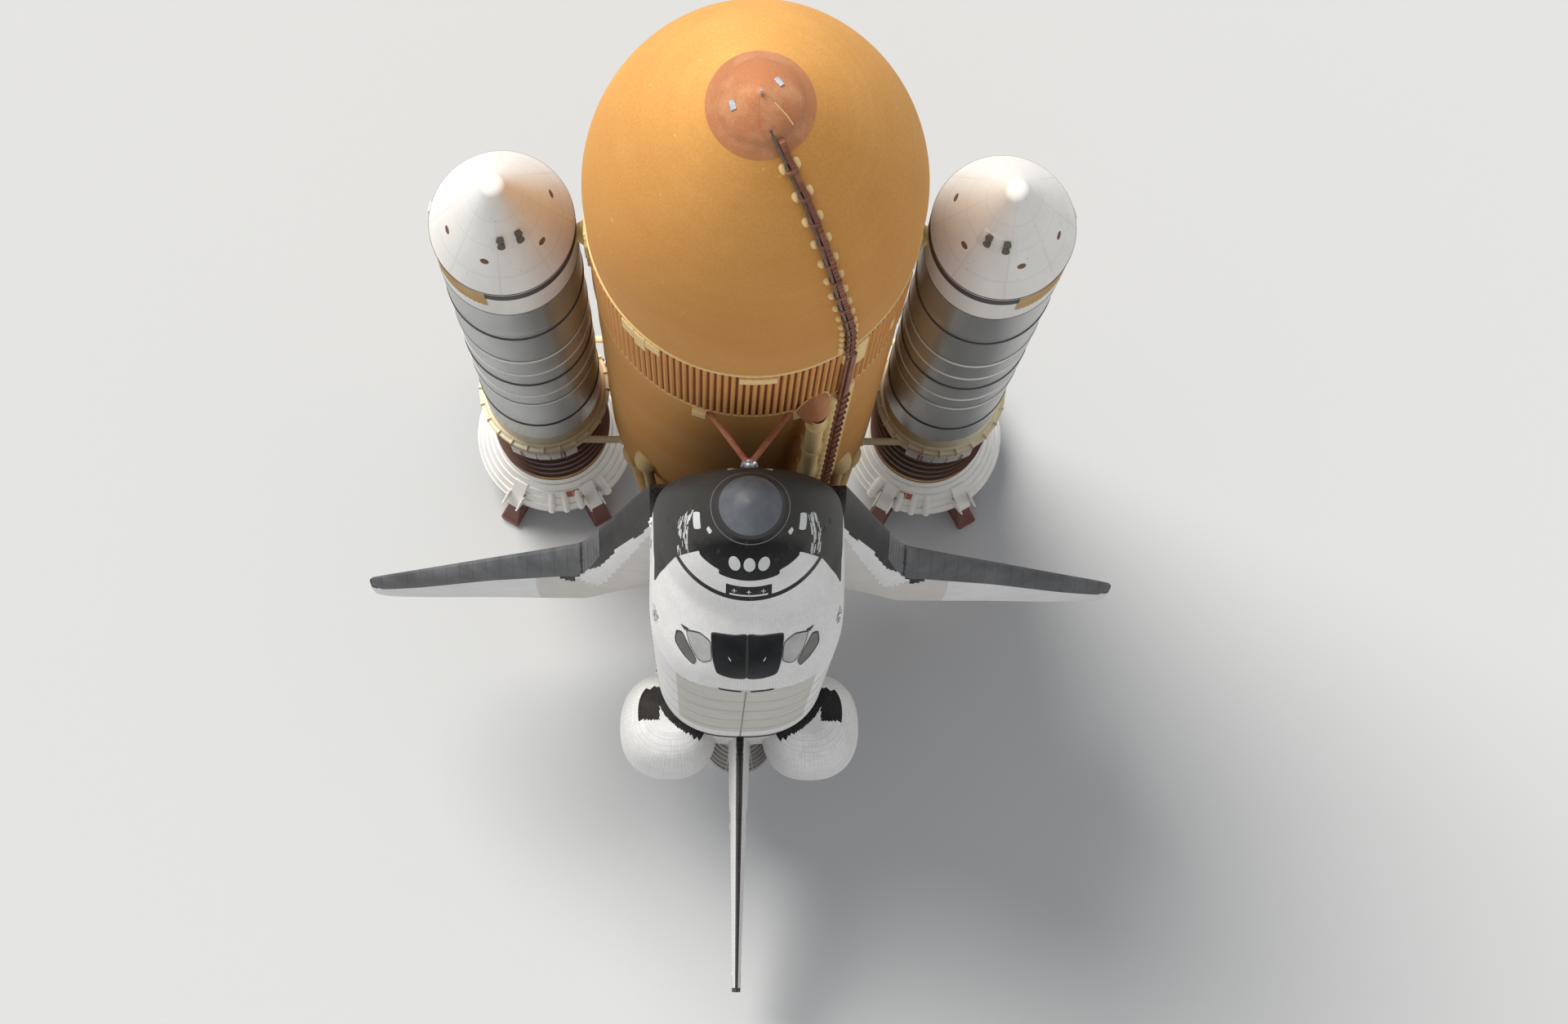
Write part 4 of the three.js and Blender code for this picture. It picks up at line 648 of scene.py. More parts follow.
pipe_rows = [[FEED_RADIUS, 1104.0]]
for s in FEED_JOINTS:
    pipe_rows += [[FEED_RADIUS + lift, s + aside] for aside, lift in COLLAR]
pipe = turned([*pipe_rows, [FEED_RADIUS, 2046.0]], 40, (FEED_X, FEED_UP))
bend_turn = np.radians(np.linspace(0, 90, 10))
bend_path = points_at(FEED_X, FEED_UP + 38 * (1 - np.cos(bend_turn)), 2046 + 50 * np.sin(bend_turn))
bend_path = [[FEED_X, FEED_UP, 2040.0], *bend_path, [FEED_X, BELLY - 4, 2096]]
stands = []
for s in FEED_JOINTS:
    stands += [boxes([FEED_X + 9 * k - 2, FEED_UP - 12, s], (3.4, 26, 7), (0.93, -0.36, 0)) for k in (-1, 1)]
belly_plates = boxes([[side * 70, BELLY - 7, 2101] for side in (-1, 1)], (47, 13.6, 62), bevel=0.1)
piece("oxygen_feedline_foam", [pipe, rod(bend_path, FEED_RADIUS + 0.2, 32), *stands, belly_plates], trim_foam,
      "foam_trim", hides=["oxygen_feedline"])


def hood_of(grow, nose_at, tail_at):
    """The hood over the feedline's root: half a teardrop that widens and rises aft."""
    share = np.linspace(0, 1, 12)[:, None]
    turn = np.radians(np.linspace(-100, 100, 26)[None])
    swell = np.sqrt(1 - (1 - share) ** 2)
    lift = (HOOD_HIGH + grow) * swell ** 1.3 * np.maximum(np.cos(turn), -0.1)
    return polar(TANK_RADIUS + lift, np.radians(HOOD_ANGLE - HOOD_SWEEP * share),
                 nose_at + (tail_at - nose_at) * share, (HOOD_HALF + grow) * swell * np.sin(turn))


piece("feedline_hood", oriented(capped(hood_of(0.0, 1062, 1117))), red_coating, "primer")
hood_edge = hood_of(0.6, 1061.2, 1117.0)
hood_edge = np.concatenate([hood_edge[:0:-1, 2], hood_edge[1:, -3]])
piece("feedline_hood_rim", [rod(hood_edge, np.full(len(hood_edge), 0.9), 8), mound(24.0, 1120, 19.0, 3.0, 1.2)],
      trim_foam, "foam_trim")

# The bipod
# Two struts in ablator, from foam ramps on the tank to a bare metal yoke with a ball under the orbiter's nose.
BIPOD_STATION, BIPOD_FOOT, BIPOD_HEAD, BALL_RADIUS = 1131.0, 46.5, 217.0, 6.6

feet = [np.array([side * BIPOD_FOOT, 155.0, BIPOD_STATION + 2]) for side in (-1, 1)]
head = np.array([0, BIPOD_HEAD, BIPOD_STATION - 2])
bipod_shapes = []
for foot in feet:
    path = foot + (head - foot) * np.array([[0], [0.08], [0.12], [0.5], [0.88], [0.92], [1.0]])
    bipod_shapes.append(rod(path, [4.4, 4.4, 3.2, 3.2, 3.2, 4.4, 4.4], 20))
    bipod_shapes.append(rod([foot - (5, 0, 0), foot + (5, 0, 0)], 5.4, 20))
ball_turn = np.radians(np.linspace(-90, 90, 15))
ball_rows = points_at(BALL_RADIUS * np.cos(ball_turn), head[2] + BALL_RADIUS * np.sin(ball_turn))
yoke = [turned(ball_rows, 28, (0, BIPOD_HEAD)), rod([[0, up, head[2]] for up in (212, 222, 226, 233)],
                                                    [5.0, 5.2, 7.4, 7.4], 28)]
bipod_ramps = [drum_patch((side * 18.0 - 2.6, side * 18.0 + 2.6), (1124, 1150), 7.0) for side in (-1, 1)]
for side in (-1, 1):
    yoke.append(rod([[side * 7.5, BIPOD_HEAD - 2, head[2] - 1], [side * 2, BIPOD_HEAD, head[2]]], 4.6, 20))
    bipod_ramps.append(mound(side * 18.0, BIPOD_STATION + 14, 8, 16, 5.0, -0.1))
piece("bipod_yoke", yoke, louvre_metal, "primer")
piece("bipod_struts", bipod_shapes, ablator("strut_coating", (0.42, 0.12, 0.06, 1)), "primer", hides=["bipod"])
piece("bipod_ramps", bipod_ramps, trim_foam, "foam_trim")

# The aft attachment
# Foamed struts on each side, a crossbeam, and the hydrogen line, which curves up from under the tank into the
# orbiter's belly.
AFT_STATION, AFT_X, STRUT_RADIUS = 2055.0, 96.5, 6.5


def strut_of(first, last, radius, collar=1.35, sides=24):
    """A strut with a thicker socket at each end."""
    first, last = np.asarray(first, float), np.asarray(last, float)
    shares = np.array([0, 0.07, 0.10, 0.9, 0.93, 1.0])[:, None]
    return rod(first + (last - first) * shares, radius * np.array([collar, collar, 1, 1, collar, collar]), sides)


aft_shapes = []
for side in (-1, 1):
    aft_shapes += [
        strut_of([side * 118, 116, 1871], [side * AFT_X, 200, AFT_STATION], STRUT_RADIUS, 1.25),
        strut_of([side * 138, 84, AFT_STATION], [side * AFT_X, 200, AFT_STATION], STRUT_RADIUS, 1.25),
        rod([[side * AFT_X, up, AFT_STATION] for up in (186, 206, 209, BELLY - 0.1)], [9.2, 9.2, 7.2, 9.0], 28),
        mound(side * 45.5, 1862, 16, 30, 13.0, 0.3),
        mound(side * 58.5, AFT_STATION, 16, 18, 7.0),
    ]
aft_shapes.append(strut_of([-AFT_X, 194, AFT_STATION], [AFT_X, 194, AFT_STATION], 7.2, 1.15))
hydrogen_path = [[-40, 60, 2150], [-54, 92, 2157], [-66, 120, 2159], [-70, 146, 2154], [-70, 170, 2140],
                 [-70, 192, 2124], [-70, BELLY - 8, 2112]]
aft_shapes += [rod(hydrogen_path, 9.2, 24), strut_of([-70, 198, AFT_STATION], [-70, BELLY - 10, 2076], 5)]
piece("aft_attachment_foam", aft_shapes, trim_foam, "foam_trim", hides=["aft_attachment"])

# The boosters' shells
# Painted steel, put together from rolled cylinders: a nose cone, the motor case with its joints, bands and
# stiffener rings, and a long tunnel for cables. Both are drawn for port, with x to inboard.
BOOSTER_X, BOOSTER_OFFSET, CASE_RADIUS = 250.5, 543.0, 73.0
NOSE_TIP, NOSE_BREAK, NOSE_BREAK_RADIUS, CASE_FROM, CASE_TO = 200.0, 275.0, 34.0, 395.0, 1837.0
TIP_RADIUS, CASE_SIDES, CORK_FROM = 13.0, 96, 1822.0
SIDES = {"left": -1, "right": 1}
# Columns: station, half width, lift of the case's own joints and bands.
BLACK_RINGS = [(516, 1.0, 0.25), (674, 3.2, 0.9), (998, 3.2, 0.9), (1326, 3.2, 0.9)]
WHITE_RINGS = [(831, 5.0, 0.8), (925, 2.8, 0.6), (1085, 2.8, 0.6), (1154, 5.0, 0.8)]
STIFFENERS = (1612, 1658, 1704, 1750, 1796)
CREAM_FROM, CREAM_TO = 1440, 1600
# Columns: distance aft of a stiffener's middle, lift.
STIFFENER_ROWS = [(-3.2, 0), (-3.0, 3.6), (-1.6, 3.6), (0, 1), (1.6, 3.6), (3.0, 3.6), (3.2, 0)]
TUNNEL_ANGLE = -104.0
# Columns: degrees inboard from the orbiter's side, station.
SEPARATION_NOZZLES = [(6, 285), (6.5, 297), (34, 284), (33, 296)]
CORK_SPOTS = [(110, 337), (55, 332), (-15, 332), (-70, 337)]


def painted(name, base, worn, rough, metal=0.0, streak=0.35, seam=0.0, drawn=(1, 1, 0.05), dull=0.18, specular=0.5):
    """Painted sheet: faint runs drawn out along an axis, small smudges, and where seam is above nothing a fine
    panel line every few of its corners' pattern steps."""
    material, tree, shader = finish_of(name, rough, metal, specular)
    runs = ranged(tree, cloud(tree, 3.0, drawn, 5, 0.6), 0.40, 0.70)
    smudges = ranged(tree, cloud(tree, 0.9, detail=7, rough=0.7), 0.52, 0.72)
    colour = mixed(tree, weighted(tree, (runs, streak), (smudges, 0.5 * streak)), base, worn)
    specks = ranged(tree, cloud(tree, 16.0, detail=2, offset=(5, 2, 9)), 0.70, 0.74)
    colour = mixed(tree, ranged(tree, specks, last=0.5), colour, dimmed(worn, 0.45))
    if seam:
        colour = mixed(tree, ranged(tree, seam_lines(tree, seam), last=0.17), colour, dimmed(base, 0.55))
    tree.links.new(colour, shader.inputs["Base Color"])
    rougher = ranged(tree, runs, first=rough, last=min(1.0, rough + dull))
    tree.links.new(rougher, shader.inputs["Roughness"])
    raised(tree, shader, cloud(tree, 9.0, detail=3), 0.002, 0.25)
    return material


def seam_lines(tree, width, steps=(1.0, 1.0)):
    """A mask of thin lines where either pattern coordinate, counted in steps, is near a whole number."""
    place = node(tree, "UVMap", {}, uv_map="pattern").outputs["UV"]
    parts = node(tree, "SeparateXYZ", {0: place})
    lines = []
    for axis, step in zip("XY", steps):
        near = reckoned(tree, "PINGPONG", reckoned(tree, "MULTIPLY", parts.outputs[axis], 1.0 / step), 1.0)
        away = reckoned(tree, "ABSOLUTE", reckoned(tree, "SUBTRACT", near, 0.5))
        lines.append(ranged(tree, away, 0.5 - width, 0.5 - 0.5 * width))
    return reckoned(tree, "MAXIMUM", *lines)


def booster_piece(name, shape, side, *finish_and_slot, **settings):
    """A piece of a booster, in its own inches: [to inboard, towards the orbiter, its own station]. It is drawn
    for port, and turned over when it is mirrored on to starboard."""
    shape = together(shape)
    shape = {**shape, "points": shape["points"] * (-side, 1, 1) + (side * BOOSTER_X, 0, BOOSTER_OFFSET)}
    piece(name, shape if side < 0 else flipped(shape), *finish_and_slot, **settings)


def nose_radius(station):
    """The booster's radius along its cone."""
    return np.interp(station, [NOSE_TIP, NOSE_BREAK, CASE_FROM], [9.0, NOSE_BREAK_RADIUS, CASE_RADIUS])


white_paint = painted("booster_white", (0.80, 0.775, 0.72, 1), (0.60, 0.56, 0.50, 1), 0.45)
panel_paint = painted("nose_white", (0.82, 0.80, 0.75, 1), (0.66, 0.62, 0.56, 1), 0.45, streak=0.3, seam=0.035)
case_paint = painted("case_grey", (0.25, 0.255, 0.24, 1), (0.21, 0.21, 0.195, 1), 0.24, metal=0.2, streak=0.3,
                     drawn=(1, 1, 0.3), dull=0.03, specular=0.3)
dark_rubber = painted("black_joint", (0.028, 0.026, 0.025, 1), (0.07, 0.06, 0.055, 1), 0.6)
brown_ring = painted("brown_stiffener", (0.115, 0.045, 0.025, 1), (0.20, 0.10, 0.06, 1), 0.6)
motor_grey = painted("motor_grey", (0.10, 0.088, 0.07, 1), (0.16, 0.145, 0.12, 1), 0.6)
ring_cream = painted("ring_cream", (0.80, 0.71, 0.50, 1), (0.66, 0.53, 0.32, 1), 0.7)
ochre = ablator("ochre_cork", (0.50, 0.30, 0.10, 1), (0.62, 0.42, 0.18, 1), 0.85)
cork_brown = ablator("brown_cork", (0.17, 0.075, 0.035, 1), (0.25, 0.13, 0.07, 1), 0.85)

tip_angle = np.radians(np.linspace(0, 72, 9))
tip_rows = points_at(TIP_RADIUS * np.sin(tip_angle), NOSE_TIP + TIP_RADIUS * (1 - np.cos(tip_angle)))
# Cone rows in even steps, so that the pattern's lines fall on every seventh of them.
cone_stations = np.concatenate([np.linspace(215, NOSE_BREAK, 9), np.linspace(NOSE_BREAK + 0.5, CASE_FROM, 15)])
cone_rows = points_at(nose_radius(cone_stations), cone_stations)
nose_shell = turned(np.concatenate([tip_rows, cone_rows]), CASE_SIDES)
nose_shell["corners"] = nose_shell["corners"] / (12.0, 7.0)
case_rows = [[CASE_RADIUS, CASE_FROM]]
for s, half, lift in sorted(BLACK_RINGS + WHITE_RINGS):
    case_rows += [[CASE_RADIUS, s - half - 0.6], [CASE_RADIUS + lift, s - half], [CASE_RADIUS + lift, s + half],
                  [CASE_RADIUS, s + half + 0.6]]
case_rows += [[CASE_RADIUS, s] for s in (1332.0, CREAM_FROM, CREAM_TO)]
case_rows += [[CASE_RADIUS + lift, s + aside] for s in STIFFENERS for aside, lift in STIFFENER_ROWS]
case_rows += [[CASE_RADIUS, CORK_FROM], [CASE_RADIUS + 1.6, CORK_FROM + 2], [CASE_RADIUS + 1.6, CASE_TO],
              [60.0, CASE_TO]]
case_rows = np.array(case_rows)
lifted, middle = np.repeat((case_rows[:-1] + case_rows[1:]) / 2, CASE_SIDES, axis=0).T
lifted = lifted > CASE_RADIUS + 0.1
black_ring, white_ring = (lifted & np.any([np.abs(middle - s) < 5 for s, _, _ in rings], axis=0)
                          for rings in (BLACK_RINGS, WHITE_RINGS))
case_which = np.select([middle > CORK_FROM, black_ring, white_ring | (middle < 516),
                        (middle > CREAM_FROM) & (middle < CREAM_TO), (middle > CREAM_TO) & lifted], [4, 2, 1, 5, 3],
                       default=0)
tunnel = np.stack([polar(np.array([72.5, 76.5, 76.5, 72.5]), np.radians(TUNNEL_ANGLE), s,
                         np.array([-6.5, -5.0, 5.0, 6.5])) for s in (404.0, 408.0, 1100.0, 1500.0, 1815.0, 1819.0)])
tunnel[[0, -1]] *= (0.965, 0.965, 1)

separation = []
for angle, station in SEPARATION_NOZZLES:
    base = polar(nose_radius(station) - 3, np.radians(angle), station)
    out = ways(angle)[0] + (0, 0, -0.62)
    out /= np.linalg.norm(out)
    separation.append(rod([base, base + 4.6 * out, base + 7.0 * out, base + 6.9 * out, base + 2.0 * out],
                          [3.0, 3.5, 4.2, 3.6, 2.0], 20))
plate_stations = np.array([276.0, 277.0, 307.0, 308.0])
plate_radius = nose_radius(plate_stations) + np.array([0.0, 0.5, 0.5, 0.0])
separation_plate = sheet_of(polar(plate_radius[:, None], np.radians(np.linspace(-8, 48, 14)),
                                  plate_stations[:, None]))


def cone_spot(angle, station):
    """An oval patch of cork that lies on the booster's cone."""
    share = np.linspace(0, 1, 4)[:, None]
    turn = full_turn(20)[None]
    s = station + 5.5 * share * np.sin(turn)
    across = 5.0 * share * np.cos(turn) / nose_radius(station)
    return oriented(sheet_of(polar(nose_radius(s) + 0.35 * (share < 0.99) - 0.1, np.radians(angle) + across, s),
                             around=True))


jagged = np.linspace(-62, -13, 26)
# A raised dark band where the case has a recess: it is painted shade of the recess, in the joints' black.
recess_shade = [polar(CASE_RADIUS + lift, np.radians(np.linspace(-14, 170, 90)), s)
          for s, lift in ((404.0, -0.3), (404.5, 0.35), (427.5, 0.35), (428.0, -0.3))]
ochre_strip = [polar(CASE_RADIUS + 0.3, np.radians(jagged), s) for s in (406, 414, 468 + 3 * np.sin(jagged * 1.7))]
for name, side in SIDES.items():
    booster_piece(f"booster_nose_shell_{name}", nose_shell, side, panel_paint, "booster_white",
                  hides=[f"booster_nose_{name}"])
    booster_piece(f"booster_nose_plate_{name}", separation_plate, side, white_paint, "booster_white")
    booster_piece(f"booster_nose_motors_{name}", separation, side, motor_grey, "booster_white")
    booster_piece(f"booster_nose_spots_{name}", [cone_spot(*spot) for spot in CORK_SPOTS], side, cork_brown,
                  "booster_white")
    booster_piece(f"booster_case_shell_{name}", turned(case_rows, CASE_SIDES), side,
                  [case_paint, white_paint, dark_rubber, brown_ring, ochre, ring_cream], "booster_casing",
                  hides=[f"booster_case_{name}"], which=case_which)
    booster_piece(f"booster_case_band_{name}", [band(CASE_RADIUS, 396, 399, 0.5, 96),
                                                band(CASE_RADIUS, 1829, 1836, 2.4, 96)], side, brown_ring,
                  "booster_casing")
    booster_piece(f"booster_case_recess_shade_{name}", oriented(sheet_of(np.stack(recess_shade))), side, dark_rubber,
                  "booster_casing")
    booster_piece(f"booster_cable_tunnel_{name}", oriented(capped(tunnel)), side, white_paint, "booster_casing")
    booster_piece(f"booster_cork_strip_{name}", oriented(sheet_of(np.stack(ochre_strip))), side, ochre,
                  "booster_casing")

# The boosters' attachment rings
# A box ring round the case with three struts to the tank, and the electronics' housings on the orbiter's side.
RING_STATION, RING_RADIUS = 1511.0, 82.0
HOUSING_ANGLES, HOUSING_FROM, HOUSING_TO, HOUSING_LIFT = (-24, -12, 0, 12, 24), 1520.0, 1562.0, 11.0
RED_LINE_ANGLES = (-20, 15, 18)
# Columns: radius, distance from the ring's middle, from its rim inwards.
RING_ROWS = [(RING_RADIUS, 6.2), (81.2, 7), (78, 7.4), (76, 12), (72.9, 13)]

ring_rows = [[r, RING_STATION + way * aft] for way in (-1, 1) for r, aft in RING_ROWS[::way]]
ring_struts = [strut_of([BOOSTER_X - a[0], a[1], RING_STATION], [BOOSTER_X - b[0], b[1], RING_STATION], 4.5, 1.35, 20)
               for a, b in (((222, 64), (147, 64)), ((222, -64), (147, -64)), ((222, 58), (152, -52)))]
ring_struts += [boxes([BOOSTER_X - x, y, RING_STATION], (13, 15, 16), (1, 0, 0), bevel=0.2)
                for x, y in ((214, 62), (214, -62))]
gussets = [boxes(polar(78.6, np.radians(a), RING_STATION), (1.6, 8.6, 22), ways(a)[1]) for a in np.arange(0, 360, 15)]
housing_middle, housing_long = (HOUSING_FROM + HOUSING_TO) / 2, HOUSING_TO - HOUSING_FROM
housings = [boxes(polar(CASE_RADIUS + HOUSING_LIFT / 2 - 0.5, np.radians(a), housing_middle),
                  (17.2, HOUSING_LIFT + 1, housing_long), *ways(a)[::-1]) for a in HOUSING_ANGLES]
red_lines = [boxes(polar(CASE_RADIUS + HOUSING_LIFT + 0.3, np.radians(a), housing_middle),
                   (1.8, 1.0, housing_long + 0.4), ways(a)[1]) for a in RED_LINE_ANGLES]
red_paint = ablator("red_sealant", (0.36, 0.075, 0.045, 1), (0.45, 0.14, 0.08, 1), 0.7)
for name, side in SIDES.items():
    booster_piece(f"booster_ring_band_{name}", [turned(ring_rows, 96), *gussets, *ring_struts], side, ring_cream,
                  "booster_white", hides=[f"booster_ring_{name}"])
    booster_piece(f"booster_housings_{name}", housings, side, white_paint, "booster_white")
    booster_piece(f"booster_red_lines_{name}", red_lines, side, red_paint, "booster_white")

# The boosters' skirts, nozzles and posts
# A flared skirt with ribs and four forgings bolted to the posts' heads, four separation motors towards the
# orbiter, and in it a swivelled nozzle in a cloth boot. The posts are heavy castings with a foot plate.
SKIRT_TO, SKIRT_RADIUS, NOZZLE_EXIT = 1930.6, 106.0, 1990.0
FORGING_ANGLES, SKIRT_MOTORS = (30, -30, 150, 210), ((-2, 5.0), (9, 5.0), (20, 5.0), (42, 6.4))
POST_TOP = SKIRT_TO + 0.03
# Columns: radius, distance ahead of the skirt's end, round the outline of a forging.
FORGING = [(80, 64), (86.5, 64), (112.4, 12), (114, 9), (114, 0), (94, 0)]
# Columns: station, depth, half width, inner radius of a post's casting, whose corners are cut.
POST_ROWS = [(POST_TOP, 20, 10, 94), (POST_TOP + 5, 20, 10, 94), (POST_TOP + 6, 17.5, 7.5, 95),
             (POST_TOP + 14, 18, 8.5, 94.5), (1989.0, 33, 12, 94.5), (1990.0, 36, 13, 94), (2002.99, 36, 13, 94)]
BELL = [[30, 1842], [36.4, 1843], [36.4, 1846], [34, 1856], [32.4, 1870], [33.4, 1880], [38.5, 1892], [46, 1910],
        [54, 1930], [62, 1952], [69.5, 1973], [74.4, 1986], [74.8, 1987], [74.8, NOZZLE_EXIT], [71.6, NOZZLE_EXIT]]
BELL_INSIDE = [[71.6, NOZZLE_EXIT], [66.0, 1972.0], [57.0, 1947.0], [47.0, 1920.0], [35.0, 1895.0], [27.0, 1878.0],
               [27.0, 1864.0], [0.0, 1864.0]]
# Columns: radius, station.
BOOT = [[68.5, 1846], [66, 1852], [60, 1850], [57, 1856], [52, 1853], [49, 1860], [44, 1857], [41, 1866], [36, 1868]]
WINDOW_STATION, POST_CUT = 1880.0, 1.2


def skirt_radius(station):
    """The skirt's outer radius."""
    return np.interp(station, [CASE_TO, SKIRT_TO], [CASE_RADIUS + 1, SKIRT_RADIUS])


skirt_rows = [[70.0, CASE_TO], [74.6, CASE_TO]]
for s in (1852.0, 1872.0, 1892.0, 1912.0):
    skirt_rows += [[skirt_radius(s) + lift, s + aft] for lift, aft in ((-0.7, -2), (1.2, -1.6), (1.8, 1.6), (0.7, 2))]
skirt_rows += [[104.8, 1927.0], [106.0, 1927.4], [106.0, SKIRT_TO], [102.0, SKIRT_TO], [70.0, CASE_TO]]
forgings, motors, posts, window = [], [], [], []
for a in FORGING_ANGLES:
    out, along = ways(a)
    forgings.append(oriented(capped(np.array([[out * r + along * half + (0, 0, SKIRT_TO - ahead)
                                               for r, ahead in FORGING] for half in (-9, -8.4, 8.4, 9)]))))
    forgings += [boxes(out * 104 + along * aside + (0, 0, SKIRT_TO - 26), (2.0, 18, 40), along, out + (0, 0, 0.55))
                 for aside in (-10.5, 10.5)]
    rings = []
    for station, deep, half, inner in POST_ROWS:
        outline = [(inner, POST_CUT - half), (inner + POST_CUT, -half), (inner + deep - POST_CUT, -half),
                   (inner + deep, POST_CUT - half)]
        outline += [(r, -aside) for r, aside in outline[::-1]]
        rings.append([out * r + along * aside + (0, 0, station) for r, aside in outline])
    lugs = [boxes(out * (98.5 + 22 * i) + along * 11.2 * k + (0, 0, 1988.0), (2.4, 5, 9), along, out)
            for i in (0, 1) for k in (-1, 1)]
    stud = turned([[3.0, POST_TOP - 1], [3.0, POST_TOP + 6]], 12, tuple(out[:2] * 104))
    posts.append([oriented(capped(np.array(rings))), *lugs, stud])
for a, thick in SKIRT_MOTORS:
    out, along = ways(a)
    first, last = out * 83 + (0, 0, SKIRT_TO - 56), out * 106 + (0, 0, SKIRT_TO - 10)
    share = np.array([-0.06, 0.0, 0.1, 0.8, 0.86, 1.0, 1.0, 0.9])[:, None]
    motors.append(rod(first + (last - first) * share, thick * np.array([0.2, 0.8, 1, 1, 0.8, 0.95, 0.8, 0.4]), 24))
    motors.append(boxes(out * 92 + (0, 0, SKIRT_TO - 33), (2 * thick + 4, 3, 5), along, out + (0, 0, 0.5)))
for a in (13.5, 19.5):
    out, along = ways(a)
    window.append(boxes(out * (skirt_radius(WINDOW_STATION) + 0.6) + (0, 0, WINDOW_STATION), (8.0, 1.6, 20), along,
                        out * 0.945 + (0, 0, -0.33)))
nozzle_outer = painted("nozzle_shell", (0.085, 0.078, 0.072, 1), (0.16, 0.145, 0.13, 1), 0.72, drawn=(3, 3, 0.2))
nozzle_inner = painted("nozzle_liner", (0.018, 0.018, 0.018, 1), (0.05, 0.046, 0.042, 1), 0.85, drawn=(3, 3, 0.2))
boot_cloth = painted("boot_cloth", (0.42, 0.39, 0.34, 1), (0.28, 0.25, 0.21, 1), 0.9)
bell_which = np.repeat([0, 1], [96 * (len(BELL) - 1), 96 * (len(BELL_INSIDE) - 1)])
post_red = painted("cast_post", (0.13, 0.040, 0.028, 1), (0.21, 0.09, 0.06, 1), 0.55, streak=0.6)
for name, side in SIDES.items():
    booster_piece(f"skirt_shell_{name}", [turned(skirt_rows, 112), *forgings], side, white_paint, "booster_white",
                  hides=[f"aft_skirt_{name}"])
    booster_piece(f"skirt_motors_{name}", motors, side, white_paint, "booster_white")
    booster_piece(f"skirt_panel_{name}", window, side, red_paint, "booster_white")
    booster_piece(f"nozzle_bell_{name}", [turned(BELL, 96), oriented(turned(BELL_INSIDE, 96), inward=True)], side,
                  [nozzle_outer, nozzle_inner], "booster_nozzle", body=f"booster_nozzle_{name}",
                  hides=[f"booster_nozzle_{name}"], which=bell_which)
    booster_piece(f"nozzle_boot_{name}", turned(BOOT, 96), side, boot_cloth, "booster_nozzle")
    for i, post in enumerate(posts):
        booster_piece(f"post_casting_{name}_{i + 1}", post, side, post_red, "cast_post",
                      hides=[f"hold_down_post_{name}_{i + 1}"])

# The orbiter's nose cap
# A blunt shell of reinforced carbon with a glassy coat and a black rim, set in the tiles with a grey seal behind
# it.
# Columns: station, bottom, widest height, top, half width, roundness above, roundness below.
BODY = np.array([[235.2, 337, 338, 339, 1, 2, 2], [236, 333, 338, 343, 5, 2, 2], [239, 322, 338, 354, 16, 2, 2],
                 [246, 314, 338, 363, 25, 2, 2], [258, 306.5, 338, 373, 35.5, 2, 2.05],
                 [276, 300, 337, 385, 48, 2, 2.15], [300, 295, 336, 397, 61, 2, 2.3],
                 [340, 289.5, 335, 412, 76, 2, 2.7], [380, 286, 335, 424, 87, 2, 3.2],
                 [425, 284.5, 337, 435, 95.5, 2, 3.8], [460, 283.8, 344, 455, 99.5, 2.2, 4.3],
                 [498, 283.3, 358, 482, 102.3, 2.35, 4.8], [530, 283, 376, 495, 104, 2.45, 5.3],
                 [582, 283, 400, 502, 105, 2.55, 6], [1307, 283, 400, 502, 105, 2.55, 6],
                 [1400, 281, 400, 502, 107, 2.55, 6], [1500, 279, 400, 500, 110, 2.55, 6]])
NOSE_TIP_STATION, NOSE_CAP_END, CAP_PAINT_END = 235.2, 258.0, 253.0
CARBON, CARBON_WORN = (0.070, 0.078, 0.094, 1), (0.135, 0.15, 0.16, 1)


def smooth(table, at):
    """A table's columns at places between its rows: a cubic through the rows that never overshoots them, with
    each row's slope the harmonic mean of those beside it."""
    at = np.atleast_1d(np.asarray(at, float))
    x, y = table[:, 0], table[:, 1:]
    step = np.diff(x)[:, None]
    rise = np.diff(y, axis=0) / step
    both = rise[:-1] * rise[1:]
    slope = np.concatenate([rise[:1], np.where(both > 0, 2 * both / (rise[:-1] + rise[1:] + (both <= 0)), 0),
                            rise[-1:]])
    i = np.clip(np.searchsorted(x, at, side="right") - 1, 0, len(x) - 2)
    t, h = ((at - x[i]) / step[i, 0])[:, None], step[i]
    return ((2 * t ** 3 - 3 * t ** 2 + 1) * y[i] + (t ** 3 - 2 * t ** 2 + t) * h * slope[i]
            + (3 * t ** 2 - 2 * t ** 3) * y[i + 1] + (t ** 3 - t ** 2) * h * slope[i + 1])


def half_section(stations, grow):
    """The starboard half of the body's sections, from the belly's middle to the back's: a superellipse about
    the widest height, whose roundness differs above and below it."""
    bottom, middle, top, width, above, below = smooth(BODY, stations).T[..., None]
    angle = np.radians(np.linspace(-90, 90, 901))[None]
    low = angle < 0
    power = 2 / np.where(low, below, above)
    x = (width + grow) * np.maximum(np.cos(angle), 0) ** power
    y = middle + np.where(low, bottom - middle - grow, top - middle + grow) * np.abs(np.sin(angle)) ** power
    return x, y


def body_grid(stations, marks, counts, grow=0.0, first=0):
    """A grid of points round the starboard half of the body, spaced evenly between marks. A mark is ("x", inches
    from the belly's middle) or ("y", height)."""
    stations = np.asarray(stations, float)
    x, y = half_section(stations, grow)
    run = np.concatenate([np.zeros((len(x), 1)), np.cumsum(np.hypot(np.diff(x), np.diff(y)), axis=1)], 1)
    rows = []
    for i, station in enumerate(stations):
        ends = [0.0]
        for kind, value in marks:
            widest = np.argmax(x[i])
            ends.append(np.interp(value, x[i][:widest], run[i][:widest])
                        if kind == "x" else np.interp(value, y[i], run[i]))
        ends = np.array(ends + [run[i][-1]])[first:first + len(counts) + 1]
        at = np.concatenate([np.linspace(a, b, n + 1)[:-1] for a, b, n in zip(ends, ends[1:], counts)] + [ends[-1:]])
        rows.append(points_at(np.interp(at, run[i], x[i]), np.interp(at, run[i], y[i]), np.full(len(at), station)))
    return np.array(rows)


